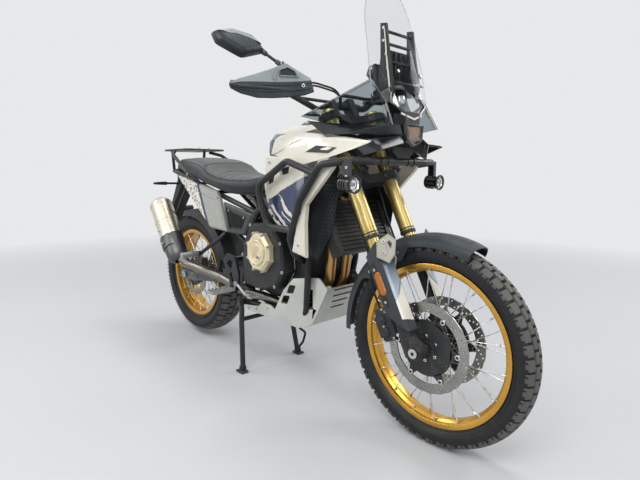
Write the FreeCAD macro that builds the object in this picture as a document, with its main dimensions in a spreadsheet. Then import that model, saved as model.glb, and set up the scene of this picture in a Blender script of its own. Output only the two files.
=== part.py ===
import FreeCAD, Part
import math
import os
import Sketcher
from FreeCAD import Placement, Rotation, Vector

# Adventure motorcycle on its centre stand, steering straight, upright.
# Frame: +X forward, +Y to the rider's left, +Z up, origin on the floor midway between the axles.
# All sizes are millimetres.

doc = FreeCAD.newDocument("adventure_motorcycle")
sheet = doc.addObject("Spreadsheet::Sheet", "dims")


# A size is a number with the spreadsheet expression that gives it, so one formula serves both.
class Size:
    def __init__(self, number, text):
        self.number = number
        self.text = text

    def __float__(self):
        return float(self.number)

    def _with(self, other, symbol, number):
        text = other.text if isinstance(other, Size) else repr(float(other))
        return Size(number, f"({self.text} {symbol} {text})")

    def __add__(self, other):
        return self._with(other, "+", self.number + float(other))

    def __sub__(self, other):
        return self._with(other, "-", self.number - float(other))

    def __mul__(self, other):
        return self._with(other, "*", self.number * float(other))

    def __truediv__(self, other):
        return self._with(other, "/", self.number / float(other))

    def __neg__(self):
        return Size(-self.number, f"(0 - {self.text})")

    def __radd__(self, other):
        return Size(float(other) + self.number, f"({float(other)!r} + {self.text})")

    def __rsub__(self, other):
        return Size(float(other) - self.number, f"({float(other)!r} - {self.text})")

    def __rmul__(self, other):
        return self * other


driving = {
    # running gear
    "wheelbase": 1530,
    "rake_angle": 27,
    "fork_offset": 60,
    "clamp_offset": 38,
    "rear_lift": 24,
    "front_tyre_r": 348,
    "front_tyre_half": 47,
    "front_bead_r": 267,
    "front_rim_half": 32,
    "rear_tyre_r": 334,
    "rear_tyre_half": 75,
    "rear_bead_r": 229,
    "rear_rim_half": 58,
    "tyre_wall": 9,
    "tread_depth": 7,
    "tread_slit": 3,
    "tread_count": 34,
    "lug_share": 0.62,
    "tyre_inner_facets": 24,
    "rim_wall": 4,
    "spoke_r": 2,
    "spoke_count": 36,
    "axle_r": 10,
    "bearing_gap": 0.3,
    "seat_gap": 0.3,
    # brakes and final drive
    "front_disc_r": 155,
    "drilling_r": 3.5,
    "drilling_count": 14,
    "rear_disc_r": 125,
    "disc_thick": 5,
    "disc_y": 52,
    "rear_disc_y": -62,
    "sprocket_r": 116,
    "sprocket_thick": 7,
    "sprocket_teeth": 45,
    "front_sprocket_r": 40,
    "front_sprocket_x": -70,
    "front_sprocket_z": 440,
    "chain_y": 105,
    "chain_wide": 14,
    "chain_half": 8,
    "chain_pitch": 15.875,
    # fork and steering
    "fork_tube_r": 27,
    "slider_r": 21.5,
    "fork_half": 105,
    "fork_bottom": 402,
    "fork_top": 885,
    "lower_clamp": 615,
    "lower_clamp_thick": 35,
    "upper_clamp": 852,
    "upper_clamp_thick": 24,
    "stem_r": 15,
    "head_tube_r": 32,
    "bar_clamp_rise": 926,
    "bar_r": 14,
    "grip_r": 17,
    "bar_half": 425,
    # chassis
    "spar_r": 17,
    "rail_r": 12,
    "rail_half": 118,
    "shock_top_x": -150,
    "shock_top_z": 700,
    "pivot_x": -150,
    "pivot_z": 430,
    "arm_deep": 54,
    "arm_thick": 24,
    "bobbin_r": 5,
    "bobbin_deep": 16,
    "plate_wall": 4,
    "guard_tube_r": 12.5,
    "stand_pivot_x": -185,
    "stand_pivot_z": 318,
    "stand_foot_x": -149,
    "stand_half": 167,
    "plate_in": 118,
    "plate_thick": 12,
    "stand_top_half": 142,
    "stand_tube_r": 12,
    "skid_z": 300,
    "skid_half": 148,
    "tank_floor": 900,
    "screen_thick": 3.5,
    "pivot_pin_r": 9,
    "stand_pin_r": 8,
    "side_pivot_x": 30,
    "side_pivot_y": 160,
    "side_pivot_z": 352,
    "side_bolt_r": 6,
    "side_eye_wide": 16,
    "side_leg": 310,
    "peg_x": -170,
    "peg_z": 398,
    # where the front axle stood when the front bodywork was laid out
    "drawn_front_x": 765,
}

dim = {}
for row, (name, value) in enumerate(driving.items(), start=1):
    sheet.set(f"A{row}", name)
    sheet.set(f"B{row}", str(value))
    sheet.setAlias(f"B{row}", name)
    dim[name] = Size(value, f"dims.{name}")
doc.recompute()


def d(name):
    return dim[name]


def n(name):
    return float(dim[name])


# Names of sub-parts in the order they are made, each with the object that holds its shape.
nodes = {}


def keep(label, obj):
    obj.Label = label
    nodes[label] = obj
    return obj


def bind(obj, **values):
    for prop, value in values.items():
        if isinstance(value, Size):
            obj.setExpression(prop, value.text)
        else:
            setattr(obj, prop, value)


# Sketch and feature helpers for the pieces that are padded, pocketed or revolved.
def new_body(name):
    return doc.addObject("PartDesign::Body", name)


def origin_part(body, role):
    return [f for f in body.Origin.OriginFeatures if f.Role == role][0]


def new_sketch(body, name, role="XY_Plane"):
    sk = body.newObject("Sketcher::SketchObject", name)
    sk.AttachmentSupport = (origin_part(body, role), [""])
    sk.MapMode = "FlatFace"
    return sk


def pin(sk, kind, item, point, value):
    index = sk.addConstraint(Sketcher.Constraint(kind, -1, 1, item, point, float(value)))
    if isinstance(value, Size):
        sk.setExpression(f"Constraints[{index}]", value.text)


def polygon(sk, points):
    first = sk.GeometryCount
    count = len(points)
    for i in range(count):
        (x1, y1), (x2, y2) = points[i], points[(i + 1) % count]
        ends = Vector(float(x1), float(y1), 0), Vector(float(x2), float(y2), 0)
        sk.addGeometry(Part.LineSegment(*ends), False)
    for i in range(count):
        sk.addConstraint(Sketcher.Constraint("Coincident", first + i, 2, first + (i + 1) % count, 1))
    for i, (x, y) in enumerate(points):
        pin(sk, "DistanceX", first + i, 1, x)
        pin(sk, "DistanceY", first + i, 1, y)


def circle(sk, x, y, radius):
    item = sk.addGeometry(Part.Circle(Vector(float(x), float(y), 0), Vector(0, 0, 1), float(radius)), False)
    pin(sk, "DistanceX", item, 3, x)
    pin(sk, "DistanceY", item, 3, y)
    index = sk.addConstraint(Sketcher.Constraint("Radius", item, float(radius)))
    if isinstance(radius, Size):
        sk.setExpression(f"Constraints[{index}]", radius.text)


def pad(body, sk, length, name):
    feature = body.newObject("PartDesign::Pad", name)
    feature.Profile = sk
    feature.SideType = "Symmetric"
    bind(feature, Length=length)
    return feature


def pocket(body, sk, length, name):
    feature = body.newObject("PartDesign::Pocket", name)
    feature.Profile = sk
    feature.SideType = "Symmetric"
    bind(feature, Length=length)
    return feature


def revolve(body, sk, name, angle=360, back=False):
    feature = body.newObject("PartDesign::Revolution", name)
    feature.Profile = sk
    feature.ReferenceAxis = (sk, ["V_Axis"])
    feature.Angle = angle
    feature.Reversed = back
    return feature


def polar(body, originals, count, name, role="Y_Axis"):
    feature = body.newObject("PartDesign::PolarPattern", name)
    feature.Originals = originals
    feature.Axis = (origin_part(body, role), [""])
    feature.Angle = 360
    bind(feature, Occurrences=count)
    body.Tip = feature
    return feature


# Primitive, boolean and path helpers.
def both_sides(name, obj):
    mirror = doc.addObject("Part::Mirroring", name + "_mirrored")
    mirror.Source = obj
    mirror.Normal = Vector(0, 1, 0)
    pair = doc.addObject("Part::Compound", name)
    pair.Links = [obj, mirror]
    return pair


def shaped(name, shape, place=None):
    obj = doc.addObject("Part::Feature", name)
    obj.Shape = shape
    if place is not None:
        obj.Placement = place
    return obj


def mirrored(shape):
    return shape.mirror(Vector(0, 0, 0), Vector(0, 1, 0))


def pair_shape(shape):
    return Part.makeCompound([shape, mirrored(shape)])


def rod(start, end, radius):
    start, end = Vector(*start), Vector(*end)
    return Part.makeCylinder(radius, (end - start).Length, start, end - start)


def block(x1, x2, y1, y2, z1, z2):
    return Part.makeBox(x2 - x1, y2 - y1, z2 - z1, Vector(x1, y1, z1))


# Straight runs joined by tangent arcs, so that a bent tube is made of cylinders and torus pieces.
def path(points, bend):
    points = [Vector(*p) for p in points]
    edges, at = [], points[0]
    for before, corner, after in zip(points, points[1:], points[2:]):
        back, ahead = (before - corner), (after - corner)
        half = (math.pi - back.getAngle(ahead)) / 2
        reach = bend * math.tan(half)
        reach = min(reach, 0.48 * back.Length, 0.48 * ahead.Length)
        radius = reach / math.tan(half)
        a = corner + back.normalize() * reach
        b = corner + ahead.normalize() * reach
        middle_dir = (a - corner).normalize() + (b - corner).normalize()
        middle_dir.normalize()
        middle = corner + middle_dir * (radius / math.cos(half) - radius)
        edges.append(Part.LineSegment(at, a).toShape())
        edges.append(Part.Arc(a, middle, b).toShape())
        at = b
    edges.append(Part.LineSegment(at, points[-1]).toShape())
    return Part.Wire(edges)


def tube(points, radius, bend=60):
    if len(points) == 2:
        return rod(points[0], points[1], radius)
    spine = path(points, bend)
    start = Vector(*points[0])
    ring = Part.Wire([Part.makeCircle(radius, start, Vector(*points[1]) - start)])
    return spine.makePipeShell([ring], True, True)


def prism(points, y1, y2):
    outline = Part.makePolygon([Vector(x, y1, z) for x, z in points + points[:1]])
    return Part.Face(outline).extrude(Vector(0, y2 - y1, 0))


def slab(points, offset):
    """A plate: a flat outline of 3-D points, thickened along offset."""
    outline = Part.makePolygon([Vector(*p) for p in points + points[:1]])
    return Part.Face(outline).extrude(Vector(*offset))


def loft(sections, ruled=True):
    wires = [Part.makePolygon([Vector(*p) for p in s + s[:1]]) for s in sections]
    return Part.makeLoft(wires, True, ruled)


def seated(shape, *others):
    """The shape with its neighbours taken out of it, so that it sits on them face to face."""
    tools = [o.Shape if hasattr(o, "Shape") else o for o in others]
    result = shape.cut(tools)
    return result.Solids[0] if len(result.Solids) == 1 else Part.makeCompound(result.Solids)


def largest(shape):
    return max(shape.Solids, key=lambda solid: solid.Volume)


# Steering frame: u forward and s up the steering axis, origin beside the front axle.
rake = math.radians(n("rake_angle"))
front_x = n("wheelbase") / 2
front_z = n("front_tyre_r")
rear_x = -front_x
rear_z = n("rear_tyre_r") + n("rear_lift")
steer_base = Vector(
    front_x - n("fork_offset") * math.cos(rake), 0, front_z - n("fork_offset") * math.sin(rake)
)
steer = Placement(steer_base, Rotation(Vector(0, 1, 0), -n("rake_angle")))
front_place = Placement(Vector(front_x, 0, front_z), Rotation())
rear_place = Placement(Vector(rear_x, 0, rear_z), Rotation())


def steered(name, shape):
    return shaped(name, shape, steer)


def to_steering(x, y, z):
    """A point of the bike's frame in the steering frame."""
    return steer.inverse().multVec(Vector(x, y, z))


def in_steering(label):
    """A sub-part's shape in the steering frame."""
    return nodes[label].Shape.transformed(steer.inverse().toMatrix())


def carried(x):
    """A place along the bike for what rides with the steering head, so that it moves with the front axle."""
    return x + front_x - n("drawn_front_x")


def from_steering(u, y, s):
    """A steering-frame point in the bike's frame."""
    p = steer.multVec(Vector(u, y, s))
    return (p.x, p.y, p.z)


# Wheels
def facet_ring(segments):
    """A closed ring of flat facets; each segment is a start angle, an end angle and a (radius, y) profile."""
    wedges = []
    for start, end, profile in segments:
        ends = [[(r * math.cos(a), y, r * math.sin(a)) for r, y in profile] for a in (start, end)]
        wedges.append(loft(ends))
    return wedges[0].multiFuse(wedges[1:]) if len(wedges) > 1 else wedges[0]


def tyre(label, place, radius, half, bead, rim_half):
    """A hollow tyre in facets: at each pitch a slit lug stands over a groove, down to the shoulders."""
    deep, wall, slit = n("tread_depth"), n("tyre_wall"), n("tread_slit")
    crown, mid = half * 0.43, (bead + radius) / 2
    side = [(bead + 0.9, rim_half - 4.4), (bead + 14, rim_half - 3.4), (mid + 10, half)]
    lug = side + [(radius - 6, half * 0.86), (radius, crown), (radius, slit), (radius - deep, slit)]
    groove = side + [(radius - deep - 3, half * 0.76)]
    profiles = [p + [(r, -y) for r, y in reversed(p)] for p in (lug, groove)]
    pitch = 2 * math.pi / n("tread_count")
    segments = []
    for k in range(int(n("tread_count"))):
        start = k * pitch
        middle = start + pitch * n("lug_share")
        segments.append((start, middle, profiles[0]))
        segments.append((middle, start + pitch, profiles[1]))
    room = [
        (bead - 6, rim_half - 12), (bead + 14, rim_half - 12), (mid + 8, half - wall),
        (radius - deep - wall, half * 0.55),
    ]
    room += [(r, -y) for r, y in reversed(room)]
    turns = int(n("tyre_inner_facets"))
    hollow = [(2 * math.pi * k / turns, 2 * math.pi * (k + 1) / turns, room) for k in range(turns)]
    shape = facet_ring(segments).cut(facet_ring(hollow))
    return keep(label, shaped(label, shape.Solids[0], place))


def rim(label, place, bead, half):
    body = new_body(label)
    wall = d("rim_wall")
    side = [
        (bead + 13, half + 1),
        (bead + 13, half - 3),
        (bead, half - 4),
        (bead, half * 0.6),
        (bead - 10, half * 0.36),
    ]
    under = [(bead - 10 - wall, half * 0.42), (bead - wall - 1, half)]
    outer = side + [(r, -y) for r, y in reversed(side)]
    inner = [(r, -y) for r, y in reversed(under)] + under
    sk = new_sketch(body, "section")
    polygon(sk, outer + inner)
    revolve(body, sk, "hoop")
    body.Placement = place
    return keep(label, body)


def hub(label, place, flange, flange_r, end_y, end_r):
    body = new_body(label)
    low, high = end_y
    sk = new_sketch(body, "section")
    bore = d("axle_r") + d("bearing_gap")
    polygon(
        sk,
        [
            (bore, low), (end_r, low), (end_r, -flange - 6), (flange_r, -flange - 3),
            (flange_r, -flange + 3), (flange_r - 18, -flange + 8), (flange_r - 18, flange - 8),
            (flange_r, flange - 3), (flange_r, flange + 3), (end_r, flange + 6), (end_r, high), (bore, high),
        ],
    )
    revolve(body, sk, "barrel")
    body.Placement = place
    return keep(label, body)


def spokes(label, place, flange, flange_r, rim_r, rim_y):
    """Crossed steel spokes from both hub flanges to the rim, in tangent pairs."""
    count = int(n("spoke_count"))
    radius = n("spoke_r")
    gap = n("seat_gap") + radius
    wires = []
    for i in range(count):
        side = 1 if i % 2 else -1
        lean = 1 if (i // 2) % 2 else -1
        at_rim = 2 * math.pi * (i + 0.5) / count
        at_hub = at_rim + lean * math.radians(48)
        hub_y = side * (flange + lean * (radius + 0.9))
        start = Vector((flange_r + gap) * math.cos(at_hub), hub_y, (flange_r + gap) * math.sin(at_hub))
        end_r = rim_r - gap * 0.5
        end = Vector(end_r * math.cos(at_rim), side * rim_y, end_r * math.sin(at_rim))
        wires.append(Part.makeCylinder(radius, (end - start).Length, start, end - start))
    obj = shaped(label, Part.makeCompound(wires), place)
    return keep(label, obj)


def disc(name, outer_r, hole_r, arms):
    """A brake disc: a drilled band on a spider of arms round the hub's bore."""
    body = new_body(name)
    sk = new_sketch(body, "outline", "XZ_Plane")
    circle(sk, 0, 0, outer_r)
    circle(sk, 0, 0, hole_r)
    pad(body, sk, d("disc_thick"), "blank")
    window = new_sketch(body, "window", "XZ_Plane")
    inner, outer = outer_r * 0.40, outer_r * 0.76
    low, high = outer_r * 0.11, outer_r * 0.29
    polygon(window, [
        (inner, -low), (outer - 10, -high), (outer, -high * 0.5), (outer, high * 0.5), (outer - 10,
        high), (inner, low),
    ])
    windows = pocket(body, window, d("disc_thick") + 2, "window_cut")
    doc.recompute()
    polar(body, [windows], arms, "windows")
    drill = new_sketch(body, "drill", "XZ_Plane")
    circle(drill, outer_r * 0.83, 0, d("drilling_r"))
    circle(drill, outer_r * 0.93, outer_r * 0.1, d("drilling_r"))
    holes = pocket(body, drill, d("disc_thick") + 2, "drill_cut")
    doc.recompute()
    polar(body, [holes], d("drilling_count"), "drillings")
    return body


def front_discs():
    body = disc("front_disc", d("front_disc_r"), d("axle_r") + 20, 6)
    body.Placement = Placement(Vector(front_x, n("disc_y") + n("disc_thick") / 2, front_z), Rotation())
    keep("front_discs", both_sides("front_discs", body))


def rear_disc():
    body = disc("rear_disc", d("rear_disc_r"), d("axle_r") + 20, 5)
    body.Placement = Placement(Vector(rear_x, n("rear_disc_y") - n("disc_thick") / 2, rear_z), Rotation())
    keep("rear_disc", body)


def sprocket():
    """The toothed ring and its arms; the teeth stand as high as the inside of the chain."""
    tip, root = n("sprocket_r") - n("chain_half") - n("seat_gap"), n("sprocket_r") - n("chain_half") - 8
    count = int(n("sprocket_teeth"))
    outline = []
    for k in range(count):
        for share, radius in ((0, root), (0.3, root), (0.52, tip), (0.78, tip)):
            a = 2 * math.pi * (k + share) / count
            outline.append((radius * math.cos(a), radius * math.sin(a)))
    half = n("sprocket_thick") / 2
    shape = prism(outline, -half, half)
    centre = rod((0, -half - 1, 0), (0, half + 1, 0), n("axle_r") + 24)
    windows = []
    for k in range(6):
        window = prism([(52, -9), (90, -21), (90, 21), (52, 9)], -half - 1, half + 1)
        windows.append(window.rotated(Vector(0, 0, 0), Vector(0, 1, 0), 60 * k))
    bolts = []
    for k in range(6):
        a = math.radians(60 * k + 30)
        x, z = 46 * math.cos(a), 46 * math.sin(a)
        bolts.append(rod((x, half - 0.5, z), (x, half + 5, z), 6))
    shape = shape.cut([centre] + windows).multiFuse(bolts)
    place = Placement(Vector(rear_x, n("chain_y"), rear_z), Rotation())
    keep("rear_sprocket", shaped("rear_sprocket", shape.Solids[0], place))


def wheels():
    front_flange, rear_flange = d("axle_r") + 18, d("axle_r") + 26
    tyre(
        "front_tyre", front_place, n("front_tyre_r"), n("front_tyre_half"), n("front_bead_r"),
            n("front_rim_half"),
    )
    rim("front_rim", front_place, d("front_bead_r"), d("front_rim_half"))
    hub("front_hub", front_place, front_flange, d("axle_r") + 38, (-d("disc_y"), d("disc_y")),
        d("axle_r") + 28)
    spokes(
        "front_spokes", front_place, float(front_flange), n("axle_r") + 38,
        n("front_bead_r") - 9.7, n("front_rim_half") - 9,
    )
    front_discs()
    tyre("rear_tyre", rear_place, n("rear_tyre_r"), n("rear_tyre_half"), n("rear_bead_r"), n("rear_rim_half"))
    rim("rear_rim", rear_place, d("rear_bead_r"), d("rear_rim_half"))
    hub(
        "rear_hub", rear_place, rear_flange, d("axle_r") + 50,
        (d("rear_disc_y"), d("chain_y") - d("sprocket_thick") / 2), d("axle_r") + 40,
    )
    spokes(
        "rear_spokes", rear_place, float(rear_flange), n("axle_r") + 50,
        n("rear_bead_r") - 9, n("rear_rim_half") - 14,
    )
    rear_disc()
    sprocket()


# Steering
def axle(label, x, z, low, high, hub_low, hub_high, stay_low, stay_high):
    """A through axle with its spacer tubes between the hub and the legs that hold it."""
    radius, gap = n("axle_r"), n("bearing_gap")
    parts = [
        Part.makeCylinder(radius, high - low, Vector(x, low, z), Vector(0, 1, 0)),
        Part.makeCylinder(radius + 6, 7, Vector(x, low - 7, z), Vector(0, 1, 0)),
        Part.makeCylinder(radius + 6, 9, Vector(x, high, z), Vector(0, 1, 0)),
        Part.makeCylinder(radius + 9, hub_low - gap - stay_low, Vector(x, stay_low, z), Vector(0, 1, 0)),
        Part.makeCylinder(radius + 9, stay_high - hub_high - gap, Vector(x, hub_high + gap, z),
            Vector(0, 1, 0)),
    ]
    shape = parts[0].multiFuse(parts[1:])
    bore = Part.makeCylinder(radius - 4, high - low + 30, Vector(x, low - 10, z), Vector(0, 1, 0))
    return keep(label, shaped(label, shape.cut(bore)))


def fork():
    half = n("fork_half")
    clamp_u = n("clamp_offset")
    tube_r, slider_r = n("fork_tube_r"), n("slider_r")
    low, length = Vector(clamp_u, half, n("fork_bottom")), n("fork_top") - n("fork_bottom")
    outer = Part.makeCylinder(tube_r, length, low)
    seal = Part.makeCylinder(tube_r + 2.5, 14, low)
    cap = Part.makeCone(tube_r - 3, tube_r - 9, 8, low + Vector(0, 0, length))
    bore = Part.makeCylinder(slider_r, length - 10, low)
    outer = outer.multiFuse([seal, cap]).cut(bore)
    keep("fork_tubes", steered("fork_tubes", pair_shape(outer)))

    foot_low, foot_high = half - slider_r, half + slider_r
    slider = Part.makeCylinder(slider_r, n("fork_bottom") + 50, Vector(clamp_u, half, 0))
    foot = Part.makeCylinder(25, foot_high - foot_low, Vector(n("fork_offset"), foot_low, 0), Vector(0, 1, 0))
    heel = prism([(clamp_u - 21, -8), (n("fork_offset") + 20, -16), (n("fork_offset") + 22, 16),
        (clamp_u + 20, 56),
                  (clamp_u - 21, 40)], foot_low + 4, foot_high - 4)
    lug = prism([(clamp_u, 46), (-34, 62), (-34, 138), (clamp_u, 154)], foot_low - 10, foot_low + 8)
    lug = lug.cut(rod((-6, foot_low - 20, 100), (-6, foot_low + 20, 100), 15))
    leg = slider.multiFuse([foot, heel, lug])
    hole = Part.makeCylinder(n("axle_r"), 100, Vector(n("fork_offset"), half - 50, 0), Vector(0, 1, 0))
    keep("fork_legs", steered("fork_legs", pair_shape(leg.cut(hole))))
    return foot_low, foot_high


def fork_guards():
    """Moulded shields over the lower legs: a folded front and side, cut on the slant above and below."""
    half, u0, r = n("fork_half"), n("clamp_offset"), n("slider_r")
    wall = n("plate_wall")
    front, side, low, high = u0 + r + 13, half + r + 11, 70, n("fork_bottom") - 16
    back, inner = u0 - 26, half - r - 4
    outline = [
        (back, side), (front - 14, side), (front, side - 14), (front, inner),
        (front - wall, inner), (front - wall, side - 14 - wall / 2),
        (front - 14 - wall / 2, side - wall), (back, side - wall),
    ]
    wire = Part.makePolygon([Vector(u, y, low) for u, y in outline + outline[:1]])
    shell = Part.Face(wire).extrude(Vector(0, 0, high - low))
    below = prism([(back - 34, low - 1), (front + 5, low - 1), (back - 34, low + 75)], 0, side + 9)
    above = prism([(back - 5, high + 1), (back - 5, high - 36), (front + 6, high + 1)], 0, side + 9)
    crease = prism([(back + 8, high - 70), (back + 26, high - 62), (back + 26, low + 90),
        (back + 8, low + 104)],
                   side - 1.5, side + 9)
    ribs = [block(u0 - 18, front - wall / 2, half - r, side - wall / 2, s, s + 8) for s in (low + 92,
        high - 44)]
    shell = shell.cut([below, above, crease]).multiFuse(ribs)
    barrel = Part.makeCylinder(r, 600, Vector(u0, half, 0))
    keep("fork_guards", steered("fork_guards", pair_shape(shell.cut(barrel))))


def triple_clamps():
    half, u0, r = n("fork_half"), n("clamp_offset"), n("fork_tube_r")
    parts = []
    for s, thick, reach in (
        (n("lower_clamp"), n("lower_clamp_thick"), 15),
        (n("upper_clamp"), n("upper_clamp_thick"), 13),
    ):
        web = [(-30, 16), (6, 74), (u0 - 20, half), (u0 + 18, half), (u0 + 14, 60), (34, 0)]
        web += [(u, -y) for u, y in reversed(web[:-1])]
        parts.append(slab([(u, y, s) for u, y in web], (0, 0, thick)))
        parts.append(Part.makeCylinder(34, thick, Vector(0, 0, s)))
        for y in (-half, half):
            parts.append(Part.makeCylinder(r + reach, thick, Vector(u0, y, s)))
    top = n("upper_clamp") + n("upper_clamp_thick")
    parts.append(Part.makeCylinder(n("stem_r"), top - n("lower_clamp"), Vector(0, 0, n("lower_clamp"))))
    parts.append(Part.makeCylinder(20, 10, Vector(0, 0, top)))
    for y in (-48, 48):
        parts.append(block(-10, 30, y - 14, y + 14, top, n("bar_clamp_rise") + n("bar_r") + 8))
    shape = parts[0].multiFuse(parts[1:])
    bores = [Part.makeCylinder(r, 400, Vector(u0, y, n("lower_clamp") - 20)) for y in (-half, half)]
    shape = shape.cut(bores + [handlebar_shape()])
    keep("triple_clamps", steered("triple_clamps", shape))


def handlebar_points():
    half, rise = n("bar_half"), n("bar_clamp_rise")
    right = [(-26, -half, rise + 86), (2, -235, rise + 64), (10, -120, rise)]
    return right + [(u, -y, s) for u, y, s in reversed(right)]


def handlebar_shape():
    """The bar: a taper from the thick middle to the thinner ends."""
    pts = handlebar_points()
    thin = tube(pts, 11, 55)
    thick = tube([(10, -92, pts[2][2]), (10, 92, pts[2][2])], n("bar_r"))
    return thin.fuse(thick)


def handlebar():
    brace_s = n("bar_clamp_rise") + 44
    brace = rod((7, -195, brace_s), (7, 195, brace_s), 6)
    keep("handlebar", steered("handlebar", handlebar_shape().fuse(brace)))


def bar_direction():
    end, inner = [Vector(*p) for p in handlebar_points()[:2]]
    return end, (end - inner).normalize()


def hand_controls():
    """Right side: throttle grip, switch block, master cylinder and lever; mirrored to the left."""
    end, along = bar_direction()
    bar = handlebar_shape()
    grip = Part.makeCylinder(n("grip_r"), 122, end - along * 128, along)
    flange = Part.makeCylinder(n("grip_r") + 5, 5, end - along * 131, along)
    switches = Part.makeCylinder(22, 40, end - along * 173, along)
    perch = Part.makeCylinder(19, 22, end - along * 196, along)
    x, y, z = end - along * 185
    master = block(x + 8, x + 44, y - 16, y + 16, z - 10, z + 40)
    root_y, tip_y = y - 4, -395
    lever = loft([
        [(x + 32, root_y, z - 4), (x + 48, root_y, z - 4), (x + 48, root_y, z + 8), (x + 32, root_y, z + 8)],
        [(x + 48, tip_y, z + 8), (x + 58, tip_y, z + 8), (x + 58, tip_y, z + 17), (x + 48, tip_y, z + 17)],
    ])
    shape = grip.multiFuse([flange, switches, perch, master, lever])
    keep("hand_controls", steered("hand_controls", pair_shape(shape.cut(bar))))


def hand_guards():
    """Wrap-round guards: a curved shield on a bar from the grip's end to the handlebar's bend."""
    end, along = bar_direction()
    tip = end + along * 14
    wall = n("plate_wall") + 1
    sections = []
    for y, low_x, low_z, high_x, high_z in (
        (-222, 392, 1192, 374, 1240), (-250, 374, 1180, 346, 1264), (-292, 350, 1172, 327, 1287),
        (-345, 326, 1166, 312, 1262), (-395, 304, 1164, 296, 1242), (-440, 276, 1176, 272, 1226),
        (-470, 262, 1190, 262, 1212),
    ):
        low, high = to_steering(carried(low_x), y, low_z), to_steering(carried(high_x), y, high_z)
        sections.append([
            (low.x, y, low.z), (high.x, y, high.z), (high.x - wall, y + wall * 0.4, high.z),
            (low.x - wall, y + wall * 0.4, low.z),
        ])
    shield = loft(sections)
    low, high = to_steering(carried(330), -300, 1240), to_steering(carried(325), -300, 1276)
    corners = [(-262, low.z), (-330, low.z), (-330, high.z - 16), (-284, high.z)]
    window = slab([(low.x + 30, y, s) for y, s in corners], (-60, 0, 0))
    inner = Vector(*handlebar_points()[1])
    arm_at = to_steering(carried(372), -240, 1212)
    bridge = tube([(inner.x + 8, inner.y + 6, inner.z - 6), (inner.x + 40, -232, inner.z - 16),
                   (arm_at.x - 2, -240, arm_at.z)], 8, 30)
    clamp = Part.makeCylinder(17, 20, inner + along * 2, along)
    bolt = Part.makeCylinder(9, 9, arm_at + Vector(-3, 0, 0), Vector(1, -0.45, 0))
    outer_at = to_steering(carried(262), -470, 1201)
    cap = Part.makeCylinder(14, 22, end + along * 0.3, along)
    strap = slab([
        (tip.x - 6, tip.y + 6, tip.z - 12), (tip.x - 6, tip.y + 6, tip.z + 12),
        (outer_at.x - 2, -471, tip.z + 12), (outer_at.x - 2, -471, tip.z - 12),
    ], (9, 0, 0))
    shape = shield.cut(window).multiFuse([bridge, clamp, cap, strap, bolt])
    shape = shape.cut([handlebar_shape(), in_steering("hand_controls")])
    keep("hand_guards", steered("hand_guards", pair_shape(largest(shape))))


def mirrors():
    """Adjustable mirrors: stem, ball joint and a shaped shell with a flat glass face."""
    end, along = bar_direction()
    base = end - along * 185
    root = (base.x + 22, base.y, base.z + 38)
    knee = (base.x + 26, base.y - 2, base.z + 92)
    reach = (-6, -285, base.z + 168)
    stalk = tube([root, knee, reach], 6.5, 18)
    ball = Part.makeSphere(12, Vector(*knee))
    foot = Part.makeCylinder(10, 14, Vector(*root) - Vector(0, 0, 4))
    centre_y, centre_s = -380, base.z + 170
    outline = [(-278, 158), (-322, 212), (-415, 220), (-482, 196), (-476, 158), (-385, 118)]
    sections = []
    for u, scale in ((-10, 0.97), (-4, 1.0), (10, 0.94), (24, 0.72)):
        sections.append([
            (u, centre_y + (y - centre_y) * scale,
            centre_s + (base.z + s - centre_s) * scale) for y, s in outline
        ])
    housing = loft(sections)
    dish = [(-11, centre_y + (y - centre_y) * 0.88, centre_s + (base.z + s - centre_s) * 0.88) for y,
        s in outline]
    housing = housing.cut(slab(dish, (3, 0, 0)))
    shape = stalk.multiFuse([ball, foot, housing])
    shape = shape.cut(in_steering("hand_controls"))
    keep("mirrors", steered("mirrors", pair_shape(largest(shape))))


def front_fender():
    """A close-fitting mudguard turned round the axle, deep at the fork and lipped at the tip."""
    inside, half, wall = n("front_tyre_r") + 14, n("front_tyre_half") + 13, n("plate_wall")
    deep = 62
    under = [(inside - deep, half), (inside - 11, half), (inside + 8, half * 0.68), (inside + 14, 0)]
    outer = [
        (inside - deep, half + wall), (inside - 10, half + wall), (inside + 8 + wall, half * 0.72),
        (inside + 14 + wall, 0),
    ]
    section = outer + [(r, -y) for r, y in reversed(outer[:-1])]
    section += [(r, -y) for r, y in under[:-1]] + list(reversed(under))
    face = Part.Face(Part.makePolygon([Vector(r, y, 0) for r, y in section + section[:1]]))
    tip, tail = 66, 184
    arch = face.revolve(Vector(0, 0, 0), Vector(0, -1, 0), tail - tip)
    arch.rotate(Vector(0, 0, 0), Vector(0, -1, 0), tip)
    skirt = inside - 24
    keep_out = []
    for corners in (
        [(tip - 8, skirt), (104, skirt), (110, inside - deep - 4), (90, 200), (tip - 8, 200)],
        [(138, inside - deep - 4), (146, skirt), (tail + 8, skirt), (tail + 8, 200), (120, 200)],
    ):
        points = []
        for (a1, r1), (a2, r2) in zip(corners, corners[1:] + corners[:1]):
            for t in (0, 0.25, 0.5, 0.75):
                a, r = math.radians(a1 + (a2 - a1) * t), r1 + (r2 - r1) * t
                points.append((r * math.cos(a), r * math.sin(a)))
        keep_out.append(prism(points, -half - 20, half + 20))
    arch = arch.cut(keep_out)
    arch.Placement = Placement(Vector(front_x, 0, front_z), Rotation())
    keep("front_fender", shaped("front_fender", largest(arch)))


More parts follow.
